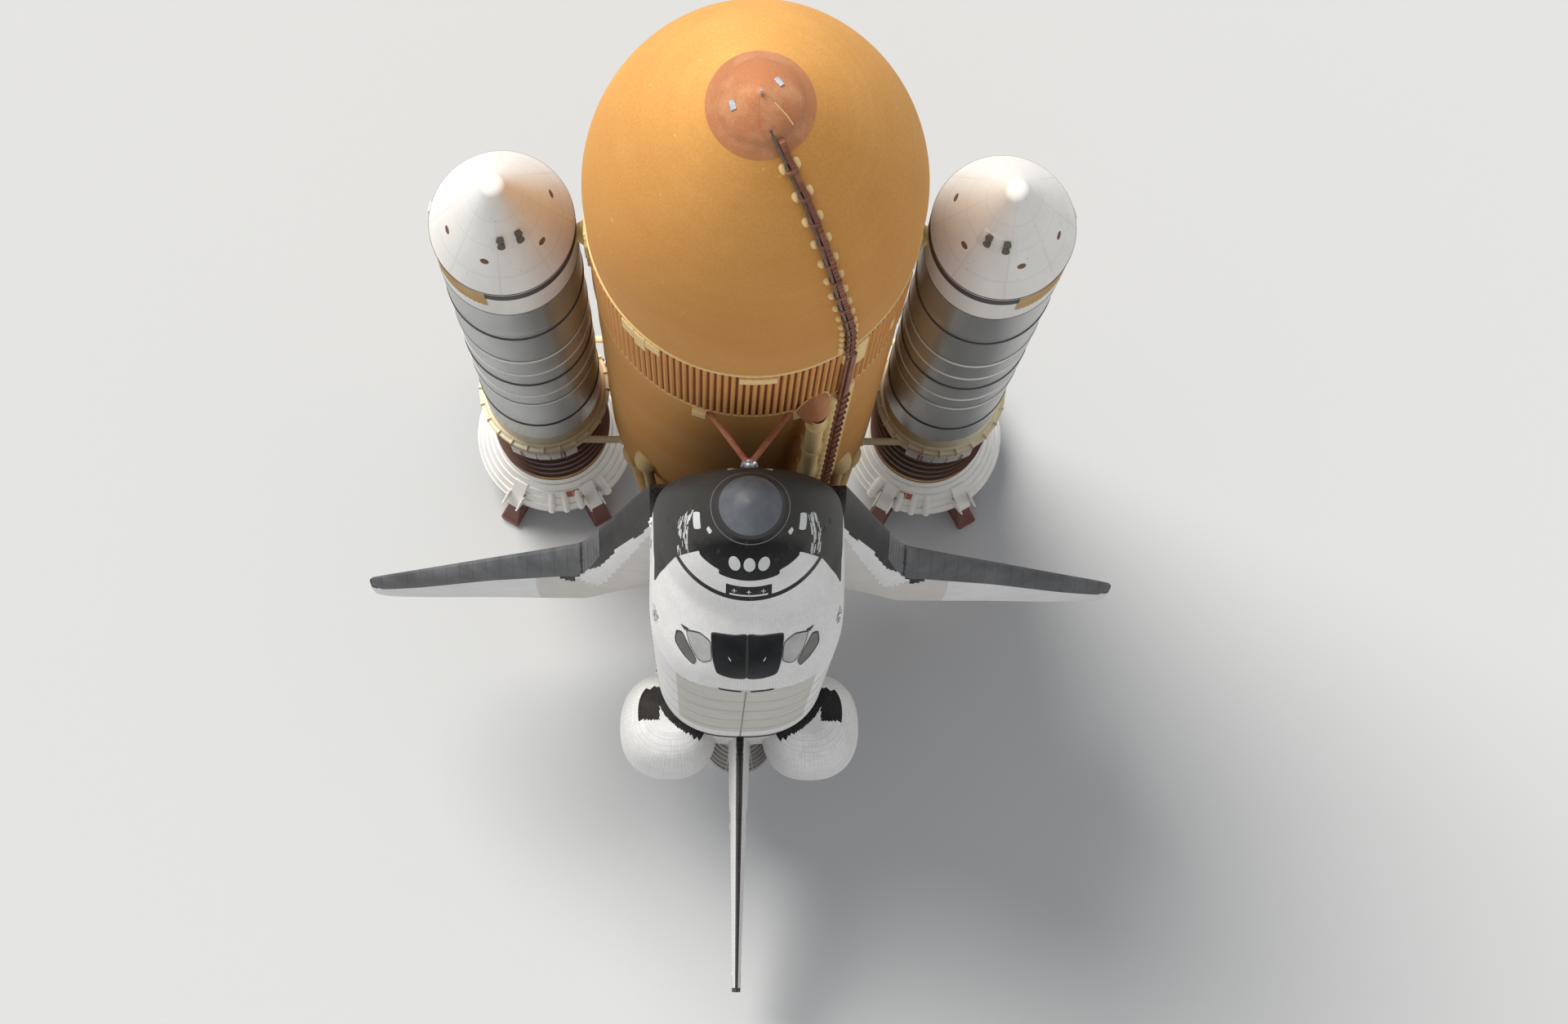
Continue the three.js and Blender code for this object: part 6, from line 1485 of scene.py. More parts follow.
def bulkhead(station, lean):
    """The end wall of the bay: a sheet out to the skin, crossed by stiffeners and with a round port, on the side
    towards which it leans."""
    closed = both_halves(body_grid([station], [], [60]))[0]
    hub = np.array([0, 400.0, station])
    wall = sheet_of(hub + (closed - hub) * np.array([0, 0.25, 0.5, 0.75, 0.9, 0.985])[:, None, None], around=True)
    bars = [boxes([x, up, station + lean * 1.4], (*size, 2.4), bevel=0.15) for x, up, size in WALL_BARS]
    port = turned([[r, station + lean * reach] for r, reach in WALL_PORT], 48, (0, 396))
    return facing(wall, hub + (0, 0, lean * 50)), [*bars, facing(port, hub + (0, 0, lean * 500))]


for name, station, lean in (("front", BAY_FROM + 0.02, 1), ("rear", BAY_TO - 0.06, -1)):
    wall, fittings = bulkhead(station, lean)
    orbiter_piece(f"bay_wall_{name}", wall, bay_cloth, "white_tile")
    orbiter_piece(f"bay_wall_fittings_{name}", fittings, inner_green, "white_tile")

# The payload bay doors
# Two long doors of honeycomb under felt, in five lengths each, with radiators of silvered film inside them, and a
# row of hinges on each sill.
DOOR_WALL, HINGE_LINE_X = 4.0, 104.8
DOOR_FROM, DOOR_TO = BAY_FROM + MOVE_GAP, BAY_TO - MOVE_GAP
DOOR_SEAMS = (727.0, 872.0, 1017.0, 1162.0)
RADIATORS, RADIATOR_LOW = ((590, 765), (770, 942), (947, 1120), (1125, 1300)), 428.0
GREY_FELT_X, GREY_FELT_TO = 76, 1225

door_stations = in_steps([DOOR_FROM, DOOR_TO], 6.0)


def door_skin(stations, grow=0.0, low=SILL, count=30):
    """The starboard door's surface, from the sill or another height to just short of the middle line."""
    grid = body_grid(stations, [("y", low)], [58, count], grow=grow, first=1)
    grid[:, -1, 0] += MOVE_GAP / 2
    return grid


radiator, tree, shader = finish_of("silver_radiator", 0.22, 0.9)
colour = mixed(tree, ranged(tree, cloud(tree, 1.2, detail=5), 0.4, 0.66), (0.74, 0.75, 0.76, 1),
               (0.55, 0.57, 0.60, 1))
tree.links.new(mixed(tree, seam_lines(tree, 0.06, (1.0, 8.0)), colour, (0.25, 0.26, 0.27, 1)),
               shader.inputs["Base Color"])
door_seal = painted("door_seal", (0.43, 0.40, 0.345, 1), (0.36, 0.33, 0.28, 1), 0.8)
for name, side in SIDES.items():
    door = slab_of(door_skin(door_stations) * (side, 1, 1), door_skin(door_stations, -DOOR_WALL) * (side, 1, 1))
    at = centres(door)
    x, z = np.abs(at[:, 0]), at[:, 2]
    _, middle_up, top, width, above, _ = smooth(BODY, z).T
    depth = (x / width) ** above + ((at[:, 1] - middle_up) / (top - middle_up)) ** above
    outside = depth > (1 - 1.6 / width) ** above
    which = np.select([~outside, (x < GREY_FELT_X) & (z < GREY_FELT_TO)], [2, 0], default=1)
    body = f"bay_door_{name}"
    orbiter_piece(f"bay_door_shell_{name}", door, [grey_blanket, white_blanket, bay_cloth], "white_blanket",
                  body=body, hides=[body], which=which)
    seams = []
    for z in DOOR_SEAMS:
        strip = np.concatenate([door_skin([z + aft], lift)
                                for aft, lift in ((-1.5, -0.2), (-1.1, 0.35), (1.1, 0.35), (1.5, -0.2))])
        seams.append(sheet_of(strip * (side, 1, 1)))
    edge_run = in_steps([DOOR_FROM, DOOR_TO], 30)
    edge_lift = back_at(1.2, edge_run, 0.45)
    edge = np.stack([points_at(side * x, edge_lift + rise, edge_run)
                     for x, rise in ((MOVE_GAP / 2 + 0.02, -0.6), (MOVE_GAP / 2 + 0.1, 0.0), (1.0, 0.0),
                                     (1.3, -0.6))], 1)
    seams.append(sheet_of(edge))
    orbiter_piece(f"bay_door_seams_{name}", [facing(seam, (0, 1500, 945)) for seam in seams], door_seal,
                  "white_blanket", body=body)
    panels = []
    for first, last in RADIATORS:
        run = in_steps([first, last], 12.0)
        back, front = (door_skin(run, -DOOR_WALL - deep, RADIATOR_LOW, 26)[:, :-2] * (side, 1, 1)
                       for deep in (0.2, 1.3))
        panels.append(slab_of(back, front))
    orbiter_piece(f"bay_door_radiators_{name}", panels, radiator, "white_blanket", body=body)
    hinge_places = np.arange(600.0, 1300.0, 57.5)
    knuckle = [rod([[side * HINGE_LINE_X, SILL, z - 3.0], [side * HINGE_LINE_X, SILL, z + 3.0]], 0.9, 12)
               for z in hinge_places]
    orbiter_piece(f"bay_door_hinges_{name}", knuckle, inner_green, "white_blanket", body=body)

# The wings
# Aluminium ribs and skins: black tiles under them and round the glove's edge, carbon panels along the outer
# leading edge, felt and white tiles above, and a cove for the elevons along the back.
# Columns: distance from the middle, the nose's station, thickness.
WING_EDGE = np.array([[60, 500, 54], [105, 500, 54], [120, 594, 53], [145, 751, 50.5], [168, 892, 48.5],
                      [182, 978, 47], [196, 1034, 46], [215, 1058, 44], [312, 1155, 33.5], [400, 1243, 25],
                      [450, 1293, 18.5], [464, 1312, 13], [468.3, 1334, 6]])
# Columns: share of the chord, share of the thickness.
WING_UPPER = np.array([[0, 0.15], [0.015, 0.32], [0.05, 0.52], [0.12, 0.74], [0.25, 0.93], [0.45, 1], [0.65, 0.78],
                       [0.85, 0.42], [1, 0.1]])
WING_LOWER = np.array([[0, 0.15], [0.012, 0.04], [0.05, 0], [0.45, 0], [0.85, 0], [1, 0]])
HINGE_STATION, COVE_GAP, FLAP_CUT_X, FLAP_CUT_STATION = 1387.0, 1.1, 114.45, 1469.0
ELEVON_SPANS = {"inboard": (119.5, 311.5), "outboard": (315.0, 450.0)}
DOOR_HOLE = ((112.55, 170.45), (1039.55, 1185.45))
WELL_ROOF, CARBON_FROM, TILE_PITCH = 311.0, 168.0, 6.0
TAIL_AT, TAIL_SWEEP, BELLY_UP, DIHEDRAL, DIHEDRAL_FROM = 1532, 0.178, 283, 0.0612, 105
BETWEEN_ELEVONS = 313.2


def wing_tail(x):
    """The station of the wing's trailing edge."""
    return TAIL_AT - TAIL_SWEEP * x


def wing_bottom(x):
    """The height of the wing's flat underside, which rises outwards from the body."""
    return BELLY_UP + DIHEDRAL * np.maximum(0, x - DIHEDRAL_FROM)


def wing_at(x):
    """The wing's nose, tail, thickness and bottom at places along its span."""
    x = np.asarray(x, float)
    nose, thick = smooth(WING_EDGE, x.ravel()).T
    plain = np.interp(x.ravel(), WING_EDGE[:, 0], WING_EDGE[:, 1])
    nose = np.where(x.ravel() < 120, plain, nose)
    return nose.reshape(x.shape), wing_tail(x), thick.reshape(x.shape), wing_bottom(x)


def wing_height(x, z, table):
    """The height of the wing's upper or lower surface."""
    nose, tail, thick, bottom = wing_at(x)
    share = np.clip((z - nose) / (tail - nose), 0, 1)
    return bottom + thick * smooth(table, share.ravel())[:, 0].reshape(share.shape)


def wing_points(x, z, table):
    """Points of the wing's upper or lower surface."""
    return points_at(x, wing_height(x + 0 * z, z, table), z)


def hinge_at(x):
    """The elevons' hinge line at places along the span: its height, the radius of the round that works about it,
    and its tilt. Each elevon's line is straight between its ends."""
    x = np.asarray(x, float)
    inner, outer = ELEVON_SPANS["inboard"], ELEVON_SPANS["outboard"]
    middle, half = wing_middle(x)
    start, end = (np.where(x < BETWEEN_ELEVONS, inner[i], outer[i]) for i in (0, 1))
    low, high = wing_middle(start)[0], wing_middle(end)[0]
    tilt = (high - low) / (end - start)
    line = low + tilt * (x - start)
    return line, half + np.abs(middle - line), tilt


def wing_middle(x):
    """The wing's middle height and half thickness over the elevons' hinge."""
    lower = wing_bottom(x)
    half = (wing_height(x, HINGE_STATION + 0 * x, WING_UPPER) - lower) / 2
    return lower + half, half


def cove_edge(x, table):
    """The station where the cove's round meets the wing's upper or lower surface."""
    line, radius, _ = hinge_at(x)
    rise = wing_height(x, HINGE_STATION + 0 * x, table) - line
    return HINGE_STATION - np.sqrt(np.maximum((radius + COVE_GAP) ** 2 - rise ** 2, 4.0))


def leaned(points):
    """Points of the wing, leant so that the elevons' ends stand square to their hinge lines."""
    x, up, z = points[..., 0], points[..., 1], points[..., 2]
    line, _, tilt = hinge_at(x)
    share = np.clip((z - 1200) / 170, 0, 1) * np.clip((462 - x) / 12, 0, 1) * np.clip((x - 106) / 10, 0, 1)
    return points_at(x - (up - line) * tilt * share, up, z)


def lifted(grid, lift):
    """A grid raised square to itself."""
    square = np.cross(np.gradient(grid, axis=0), np.gradient(grid, axis=1))
    return grid + lift * square / np.maximum(np.linalg.norm(square, axis=-1, keepdims=True), 1e-9)


def gridded(shape, degrees=45, axes=(0, 2)):
    """A shape whose pattern is laid out over two axes at the tiles' real pitch, turned by some degrees."""
    corners = shape["points"][shape["faces"]][..., list(axes)]
    c, s = np.cos(np.radians(degrees)), np.sin(np.radians(degrees))
    return {**shape, "corners": corners @ np.array([[c, s], [-s, c]]) / TILE_PITCH}


wing_stations = in_steps([60, 105, 112.55, 119.05, CARBON_FROM, 170.45, 196, 215, 311.95, 314.55, 450.45, 464, 468.3],
                         6.0)
wing_nose = wing_at(wing_stations)[0]
near_nose = np.concatenate([[0, 0.15, 0.5, 1.1, 2.0, 3.2, 4.8], np.arange(7, 60, 3.0)])
rows = {}
for kind, table in (("upper", WING_UPPER), ("lower", WING_LOWER)):
    edge = cove_edge(wing_stations, table)
    span = edge - wing_nose
    # Columns: the nose's close ones, then the door's hole in the lower surface, then the cove.
    first = near_nose[None] * np.clip(span / 250, 0.25, 3.6)[:, None]
    hole = np.clip([(z - wing_nose) / span for z in DOOR_HOLE[1]], 0, 1)
    hole = np.where(wing_stations < DOOR_HOLE[0][1] + 0.1, hole, hole[:, wing_stations > 170.4][:, :1])
    a, b = hole * span
    stops = [first[:, -1:], a[:, None], b[:, None], span[:, None]]
    parts = [first] + [start + (end - start) * np.linspace(0, 1, count)[1:]
                       for start, end, count in zip(stops, stops[1:], (30, 22, 30))]
    z = wing_nose[:, None] + np.sort(np.concatenate(parts, 1), axis=1)
    rows[kind] = leaned(wing_points(wing_stations[:, None], z, table))
wing_grid = np.concatenate([rows["lower"][:, ::-1], rows["upper"][:, 1:]], 1)
wing_sheet = sheet_of(wing_grid)
tip_wall = sheet_of(np.stack([rows["lower"][-1], rows["upper"][-1]]))


def round_about(x, first, last, gap, count=15):
    """An arc about the elevons' hinge line at each place along the span, between two angles in degrees above
    the way aft, which runs over the front."""
    line, radius, _ = hinge_at(x)
    turn = np.radians(first + (last - first) * np.linspace(0, 1, count)[:, None])
    return points_at(x, line + (radius + gap) * np.sin(turn), HINGE_STATION + (radius + gap) * np.cos(turn))


def edge_angles(x):
    """The angles at which the cove starts on the upper surface and ends on the lower one."""
    line, edges = hinge_at(x)[0], [(cove_edge(x, table), table) for table in (WING_UPPER, WING_LOWER)]
    return [np.degrees(np.arctan2(wing_height(x, edge, table) - line, edge - HINGE_STATION)) % 360
            for edge, table in edges]


def aft_block(first, last, end):
    """The part of the wing behind the cove's line beside an elevon: out to the tail or to a given station."""
    x = in_steps([first, last], 7.0)
    over, under = edge_angles(x)
    tail = np.minimum(wing_tail(x), end)
    share = np.linspace(0, 1, 12)[:, None]
    upper_edge, lower_edge = cove_edge(x, WING_UPPER), cove_edge(x, WING_LOWER)
    top = wing_points(x, upper_edge + (tail - upper_edge) * share, WING_UPPER)
    low = wing_points(x, tail + (lower_edge - tail) * share, WING_LOWER)
    front = round_about(x, under, over, COVE_GAP)[1:-1]
    return oriented(capped(leaned(np.concatenate([top, low, front])).transpose(1, 0, 2)))


blocks = [aft_block(60.0, FLAP_CUT_X, FLAP_CUT_STATION), aft_block(FLAP_CUT_X, 119.05, 1600),
          aft_block(311.95, 314.55, 1600), aft_block(450.45, 468.3, 1600)]
coves = []
for first, last in ((119.05, 311.95), (314.55, 450.45)):
    x = in_steps([first, last], 7.0)
    over, under = edge_angles(x)
    coves.append(facing(sheet_of(leaned(round_about(x, over, under, COVE_GAP))), ((first + last) / 2, 300, 1600)))
at = centres(wing_sheet)
inside_body = at[:, 0] < side_at(at[:, 1], at[:, 2]) - 1.5
in_door = ((at[:, 0] > DOOR_HOLE[0][0]) & (at[:, 0] < DOOR_HOLE[0][1]) & (at[:, 2] > DOOR_HOLE[1][0] - 0.2)
           & (at[:, 2] < DOOR_HOLE[1][1] + 0.2) & (at[:, 1] < 292))
wing_sheet = without(wing_sheet, inside_body | in_door)
wing_shape = together([wing_sheet, tip_wall])
# Along the span: how far aft the carbon panels, then the black tiles behind them, reach on the upper surface.
CARBON_BACK = np.array([[168, 44], [180, 52], [207, 58], [215, 52], [309, 38], [400, 32], [450, 25], [464, 12]])
BLACK_TO = np.array([[60, 600], [105, 592], [110, 628], [113, 658], [129, 731], [145, 820], [157, 906], [171, 993],
                     [185, 1047], [197, 1091], [207, 1132], [222, 1120], [223, 0], [469, 0]])


def wing_finish(shape):
    """Which finish each face has: 0 black tiles below and along the edge, 1 white tiles in a band behind it,
    2 white felt, 3 grey felt inboard."""
    at = centres(shape)
    x, up, z = at.T
    nose, tail, thick, bottom = wing_at(x)
    lean_of_edge = np.gradient(wing_nose, wing_stations)
    away = (z - nose) / np.hypot(1, np.interp(x, wing_stations, lean_of_edge))
    below = up < bottom + 0.16 * thick * np.clip((tail - z) / 200, 0.15, 1)
    edge = (away < 8.5) | (z < np.interp(x, *BLACK_TO.T)) | (z - nose < np.interp(x, *CARBON_BACK.T, left=0))
    cream = (x < 128 + 0.138 * (z - 798)) & (z < 1110) | (z >= 1110) & (z < 1300) & (x < 250)
    return np.select([below, edge, cream, (away < 60) & (x < 225) | (z > 1340)], [0, 0, 3, 1], default=2)


edge_carbon = carbon("edge_carbon", (0.055, 0.057, 0.060, 1), (0.125, 0.127, 0.13, 1))
wing_felt = quilt("wing_felt", (0.66, 0.63, 0.585, 1), (0.56, 0.535, 0.50, 1), pitch=0.6)
edge_run = np.linspace(CARBON_FROM, 464.0, 400)
edge_length = np.concatenate([[0], np.cumsum(np.hypot(np.diff(edge_run), np.diff(wing_at(edge_run)[0])))])
joints = np.interp(np.linspace(0, edge_length[-1], 23), edge_length, edge_run)
edge_panels = []
for first, last in zip(joints, joints[1:]):
    x = np.linspace(first + 0.12, last - 0.12, 5)
    nose, tail, _, _ = wing_at(x)
    back = np.array([1.0, 0.72, 0.48, 0.26, 0.12, 0.045, 0.016, 0.004])[:, None] * np.interp(x, *CARBON_BACK.T)
    low, top = wing_points(x, nose + 0.6 * back, WING_LOWER), wing_points(x, nose + back[::-1], WING_UPPER)
    tip = wing_points(x, nose, WING_LOWER)[None]
    skin = np.concatenate([low, tip, top]).transpose(1, 0, 2)
    edge_panels.append(slab_of(lifted(skin, -0.35), lifted(skin, 0.4)))

well_x, well_z = DOOR_HOLE
well_rings = np.array([[[well_x[0], 282.9, z], [well_x[0], WELL_ROOF, z], [well_x[1], WELL_ROOF, z],
                        [well_x[1], 286.6, z]] for z in in_steps([*well_z], 24.0)])
well_middle = np.array([141.5, 296.0, 1112.5])
rib_stations = np.arange(1052, 1180, 15.0)
wheel_well = [facing(part, well_middle) for part in (sheet_of(well_rings), *end_walls(well_rings))]
wheel_well += [boxes([[141.5, WELL_ROOF - 1.4, z] for z in rib_stations], (57, 2.8, 1.8), bevel=0.1),
               boxes([[x, 298, z] for x in (well_x[0] + 1.2, well_x[1] - 1.2) for z in rib_stations], (2.4, 22, 1.6),
                     bevel=0.1), rod([[122, 306, 1044], [122, 306, 1181]], 1.2, 12),
               rod([[126, 307, 1044], [126, 307, 1181]], 0.7, 10)]
door_x, door_z = np.meshgrid(np.linspace(113, 170, 10), np.linspace(1040, 1185, 24), indexing="ij")
door_face = points_at(door_x, wing_bottom(door_x), door_z)
main_door = gridded(slab_of(door_face, door_face + (0, 3.0, 0)))
door_side = np.where(centres(main_door)[:, 1] < wing_bottom(centres(main_door)[:, 0]) + 0.6, 0, 1)
wing_skin, wing_ends = oriented(gridded(wing_shape)), gridded(together(blocks))
wing_finishes = [black_tiles, white_tiles, white_blanket, wing_felt]
elevon_shapes = {}
for kind, (first, last) in ELEVON_SPANS.items():
    x = in_steps([first, last], 7.0)
    tail = wing_tail(x)
    share = np.linspace(0, 1, 18)[:, None]
    low = wing_points(x, HINGE_STATION + (tail - HINGE_STATION) * share, WING_LOWER)
    top = wing_points(x, tail + (HINGE_STATION - tail) * share, WING_UPPER)
    nose = round_about(x, 90.0, 270.0, 0.0, 19)[1:-1]
    ring = np.concatenate([top, nose, low]).transpose(1, 0, 2)
    line, _, tilt = hinge_at(ring[..., 0])
    ring[..., 0] -= (ring[..., 1] - line) * tilt
    shape = oriented(capped(ring))
    at = centres(shape)
    line, radius, _ = hinge_at(at[:, 0])
    under = at[:, 1] < np.where(at[:, 2] < HINGE_STATION, line, wing_bottom(at[:, 0]) + 0.9)
    elevon_shapes[kind] = gridded(shape), np.where(under, 0, 1)
for name, side in SIDES.items():
    orbiter_piece(f"wing_skin_{name}", wing_skin, wing_finishes, "white_blanket", side=side, hides=[f"wing_{name}"],
                  which=wing_finish(wing_skin))
    orbiter_piece(f"wing_tail_{name}", wing_ends, wing_finishes, "white_tile", side=side,
                  which=wing_finish(wing_ends))
    orbiter_piece(f"wing_cove_{name}", coves, inner_green, "white_tile", side=side)
    orbiter_piece(f"edge_panels_{name}", edge_panels, edge_carbon, "reinforced_carbon", side=side)
    orbiter_piece(f"wheel_well_{name}", wheel_well, inner_green, "white_tile", side=side)
    orbiter_piece(f"gear_door_{name}", main_door, [black_tiles, inner_green], "black_tile", side=side,
                  body=f"main_gear_door_{name}", hides=[f"main_gear_door_{name}"], which=door_side)
    for kind, (shape, which) in elevon_shapes.items():
        body = f"elevon_{kind}_{name}"
        orbiter_piece(f"elevon_{kind}_shell_{name}", shape, [black_tiles, white_tiles], "wing_tile", side=side,
                      body=body, hides=[body], which=which)

# The orbiter's aft body
# The thrust structure's shell under white tiles, with a base of black heat shielding, three round wells for the
# main engines and a shelf over the body flap.
BASE_STATION = 1500.0
# Columns: name, x, height, station, degrees up, degrees out, shield's radius, its rim's degrees, its mouth's radius.
MAIN_ENGINES = [("main_engine_top", 0.0, 443.0, 1445.0, 16.0, 0.0, 64.0, 41.0, 49.0),
                ("main_engine_left", -53.0, 342.6, 1468.0, 10.0, -3.5, 50.0, 60.0, 38.0),
                ("main_engine_right", 53.0, 342.6, 1468.0, 10.0, 3.5, 50.0, 60.0, 38.0)]
# Columns: length from the gimbal, exit radius, neck radius, wall of a bell.
MAIN_BELL, POD_BELL = (168.0, 45.4, 13.0, 2.4), (77.0, 23.0, 6.0, 1.5)

aft_body_tiles = tiles("aft_body_tiles", WHITE_TILE, TILE_SHADE, (0.42, 0.41, 0.40, 1), 0.04, 0.5, 0.5,
                       (0.56, 0.53, 0.49, 1))
aft_body_black = tiles("aft_body_black", BLACK_TILE, TILE_BROWN, TILE_JOINT, 0.04, 0.5, 0.5, (0.10, 0.085, 0.07, 1))
base_black = tiles("base_shield", (0.030, 0.029, 0.029, 1), (0.07, 0.065, 0.06, 1), (0.11, 0.105, 0.10, 1), 0.05, 0.6,
                   0.6, (0.13, 0.12, 0.11, 1))
bpy.data.objects["aft_body"].data.materials[0] = base_black
aft_stations = in_steps([BAY_TO + 0.2, 1345.0, BASE_STATION + 0.1], 6.2)
aft_skin = oriented(sheet_of(both_halves(body_grid(aft_stations, [], [84], grow=0.18)), around=True))
_, up, z = centres(aft_skin).T
orbiter_piece("aft_skin", aft_skin, [aft_body_tiles, aft_body_black], "white_tile",
              which=np.where((up < 296) | (z < 1331) & (up > 455), 1, 0))

# Raised blocks, doors and pipes on the base's shield between the engines.
base_fittings = [boxes([x, up, BASE_STATION + 0.8], (*size, 1.6), bevel=0.2)
                 for x, up, size in ((-84, 300, (22, 20)), (84, 300, (22, 20)), (0, 345, (14, 60)),
                                     (-93, 408, (12, 46)), (93, 408, (12, 46)), (0, 300, (30, 10)))]
pipe_rows = [[r, BASE_STATION + reach] for r, reach in ((3.4, 0), (3.4, 2.2), (2.4, 2.2), (0, 1.0))]
base_fittings += [turned(pipe_rows, 24, (x, up)) for x, up in ((-96, 372), (96, 372), (-96, 350), (96, 350),
                                                               (-14, 303), (14, 303))]
orbiter_piece("base_fittings", base_fittings, base_black, "white_tile")
collars = []
for _, x, up, _, _, _, _, _, mouth in MAIN_ENGINES:
    collars.append(turned([[mouth + r, BASE_STATION + reach]
                           for r, reach in ((2.6, 0.0), (2.6, 1.4), (0.6, 1.6), (0.25, -1.0))], 72, (x, up)))
blanket_collar = painted("well_collar", (0.46, 0.45, 0.42, 1), (0.30, 0.29, 0.27, 1), 0.85)
orbiter_piece("well_collars", collars, blanket_collar, "white_tile")
# The shelf over the flap is covered in panels with fine joints.
shelf_panels = [boxes([x, 295.0, BASE_STATION + 12.5], (24.0, 0.7, 22.0), bevel=0.1)
                for x in np.arange(-92, 93, 26.2)]
orbiter_piece("flap_shelf_panels", shelf_panels, base_black, "white_tile")

# The body flap
# A hinged panel under the engines, tiled black on both faces, with lugs on its hinge line.
bpy.data.objects["body_flap"].data.materials[0] = black_tiles
flap_x = in_steps([-113.9, 113.9], 6.1)
# Columns: station, height of the flap's upper face.
FLAP_TOP = np.array([[1530.0, 295.15], [1560.0, 291.6], [1585.0, 287.9], [1608.9, 284.2]])
flap_z = np.linspace(1534, 1608.6, 14)
flap_top = points_at(flap_x[:, None], np.interp(flap_z, *FLAP_TOP.T), flap_z)
flap_low = points_at(flap_x[:, None], 279.95, flap_z)
flap_shape = together([facing(sheet_of(flap_top), (0, 900, 1570)), facing(sheet_of(flap_low), (0, -900, 1570))])
flap_edge = [boxes([[x, 282.0, 1609.0]], (5.5, 3.4, 0.8), bevel=0.1) for x in np.arange(-110.9, 112, 6.1)]
orbiter_piece("flap_tiles", gridded(flap_shape, 0), black_tiles, "black_tile", body="body_flap")
orbiter_piece("flap_edge_tiles", flap_edge, aft_body_black, "black_tile", body="body_flap")

# The main engines
# Each has a round heat shield that turns in its well, a bell of brazed tubes held by steel bands, a rim manifold,
# and feed lines and turbines about its neck.
engine_metal, tree, shader = finish_of("engine_bell_metal", 0.38, 0.75)
heat = ranged(tree, cloud(tree, 1.6, detail=5), 0.36, 0.68)
colour = mixed(tree, heat, (0.30, 0.27, 0.24, 1), (0.16, 0.145, 0.14, 1))
tubes = seam_lines(tree, 0.5, (1.0, 1000.0))
colour = mixed(tree, ranged(tree, tubes, last=0.4), colour, (0.10, 0.09, 0.085, 1))
tree.links.new(colour, shader.inputs["Base Color"])
raised(tree, shader, ranged(tree, tubes, first=1, last=0), 0.004, 0.5)
band_steel = painted("band_steel", (0.42, 0.40, 0.37, 1), (0.24, 0.22, 0.20, 1), 0.35, metal=0.85)
shield_cloth = painted("dome_shield", (0.36, 0.34, 0.31, 1), (0.20, 0.19, 0.175, 1), 0.75)
throat_dark = painted("inner_bell", (0.11, 0.095, 0.085, 1), (0.055, 0.05, 0.047, 1), 0.45, metal=0.6)
line_steel = painted("engine_lines", (0.36, 0.33, 0.30, 1), (0.20, 0.18, 0.165, 1), 0.4, metal=0.8)


def engine_frame(x, up, z, lean, out):
    """A function that carries points of an engine's own frame, whose z axis runs down its bell, on to the
    orbiter."""
    a, b = np.radians(-lean), np.radians(out)
    tip = np.array([[1, 0, 0], [0, np.cos(a), -np.sin(a)], [0, np.sin(a), np.cos(a)]])
    swing = np.array([[np.cos(b), 0, np.sin(b)], [0, 1, 0], [-np.sin(b), 0, np.cos(b)]])
    return lambda shape: {**shape, "points": shape["points"] @ (swing @ tip).T + (x, up, z)}


def bell_of(ball, length, exit_radius, throat, wall):
    """A bell's outside, its inside, and a function that gives the radius and station at a share of its length:
    the radius grows with a power of the distance from the neck."""
    start = ball + 4

    def at_share(share):
        return throat + (exit_radius - throat) * share ** 0.62, start + (length - start) * share

    radius, z = at_share(np.linspace(0, 1, 44) ** 1.15)
    outside = [[throat, 0.8 * ball], [throat, start - 1], *points_at(radius, z)]
    inside = [*points_at(radius - wall, z)[::-1], [max(throat - 3.5, 2.0), start - 1], [0.05, start - 2]]
    return outside, inside, at_share


def ridge(at, rows, sides):
    """A band round a bell: a profile of [lift, distance aft] from a radius and station."""
    return turned([[at[0] + lift, at[1] + aft] for lift, aft in rows], sides)


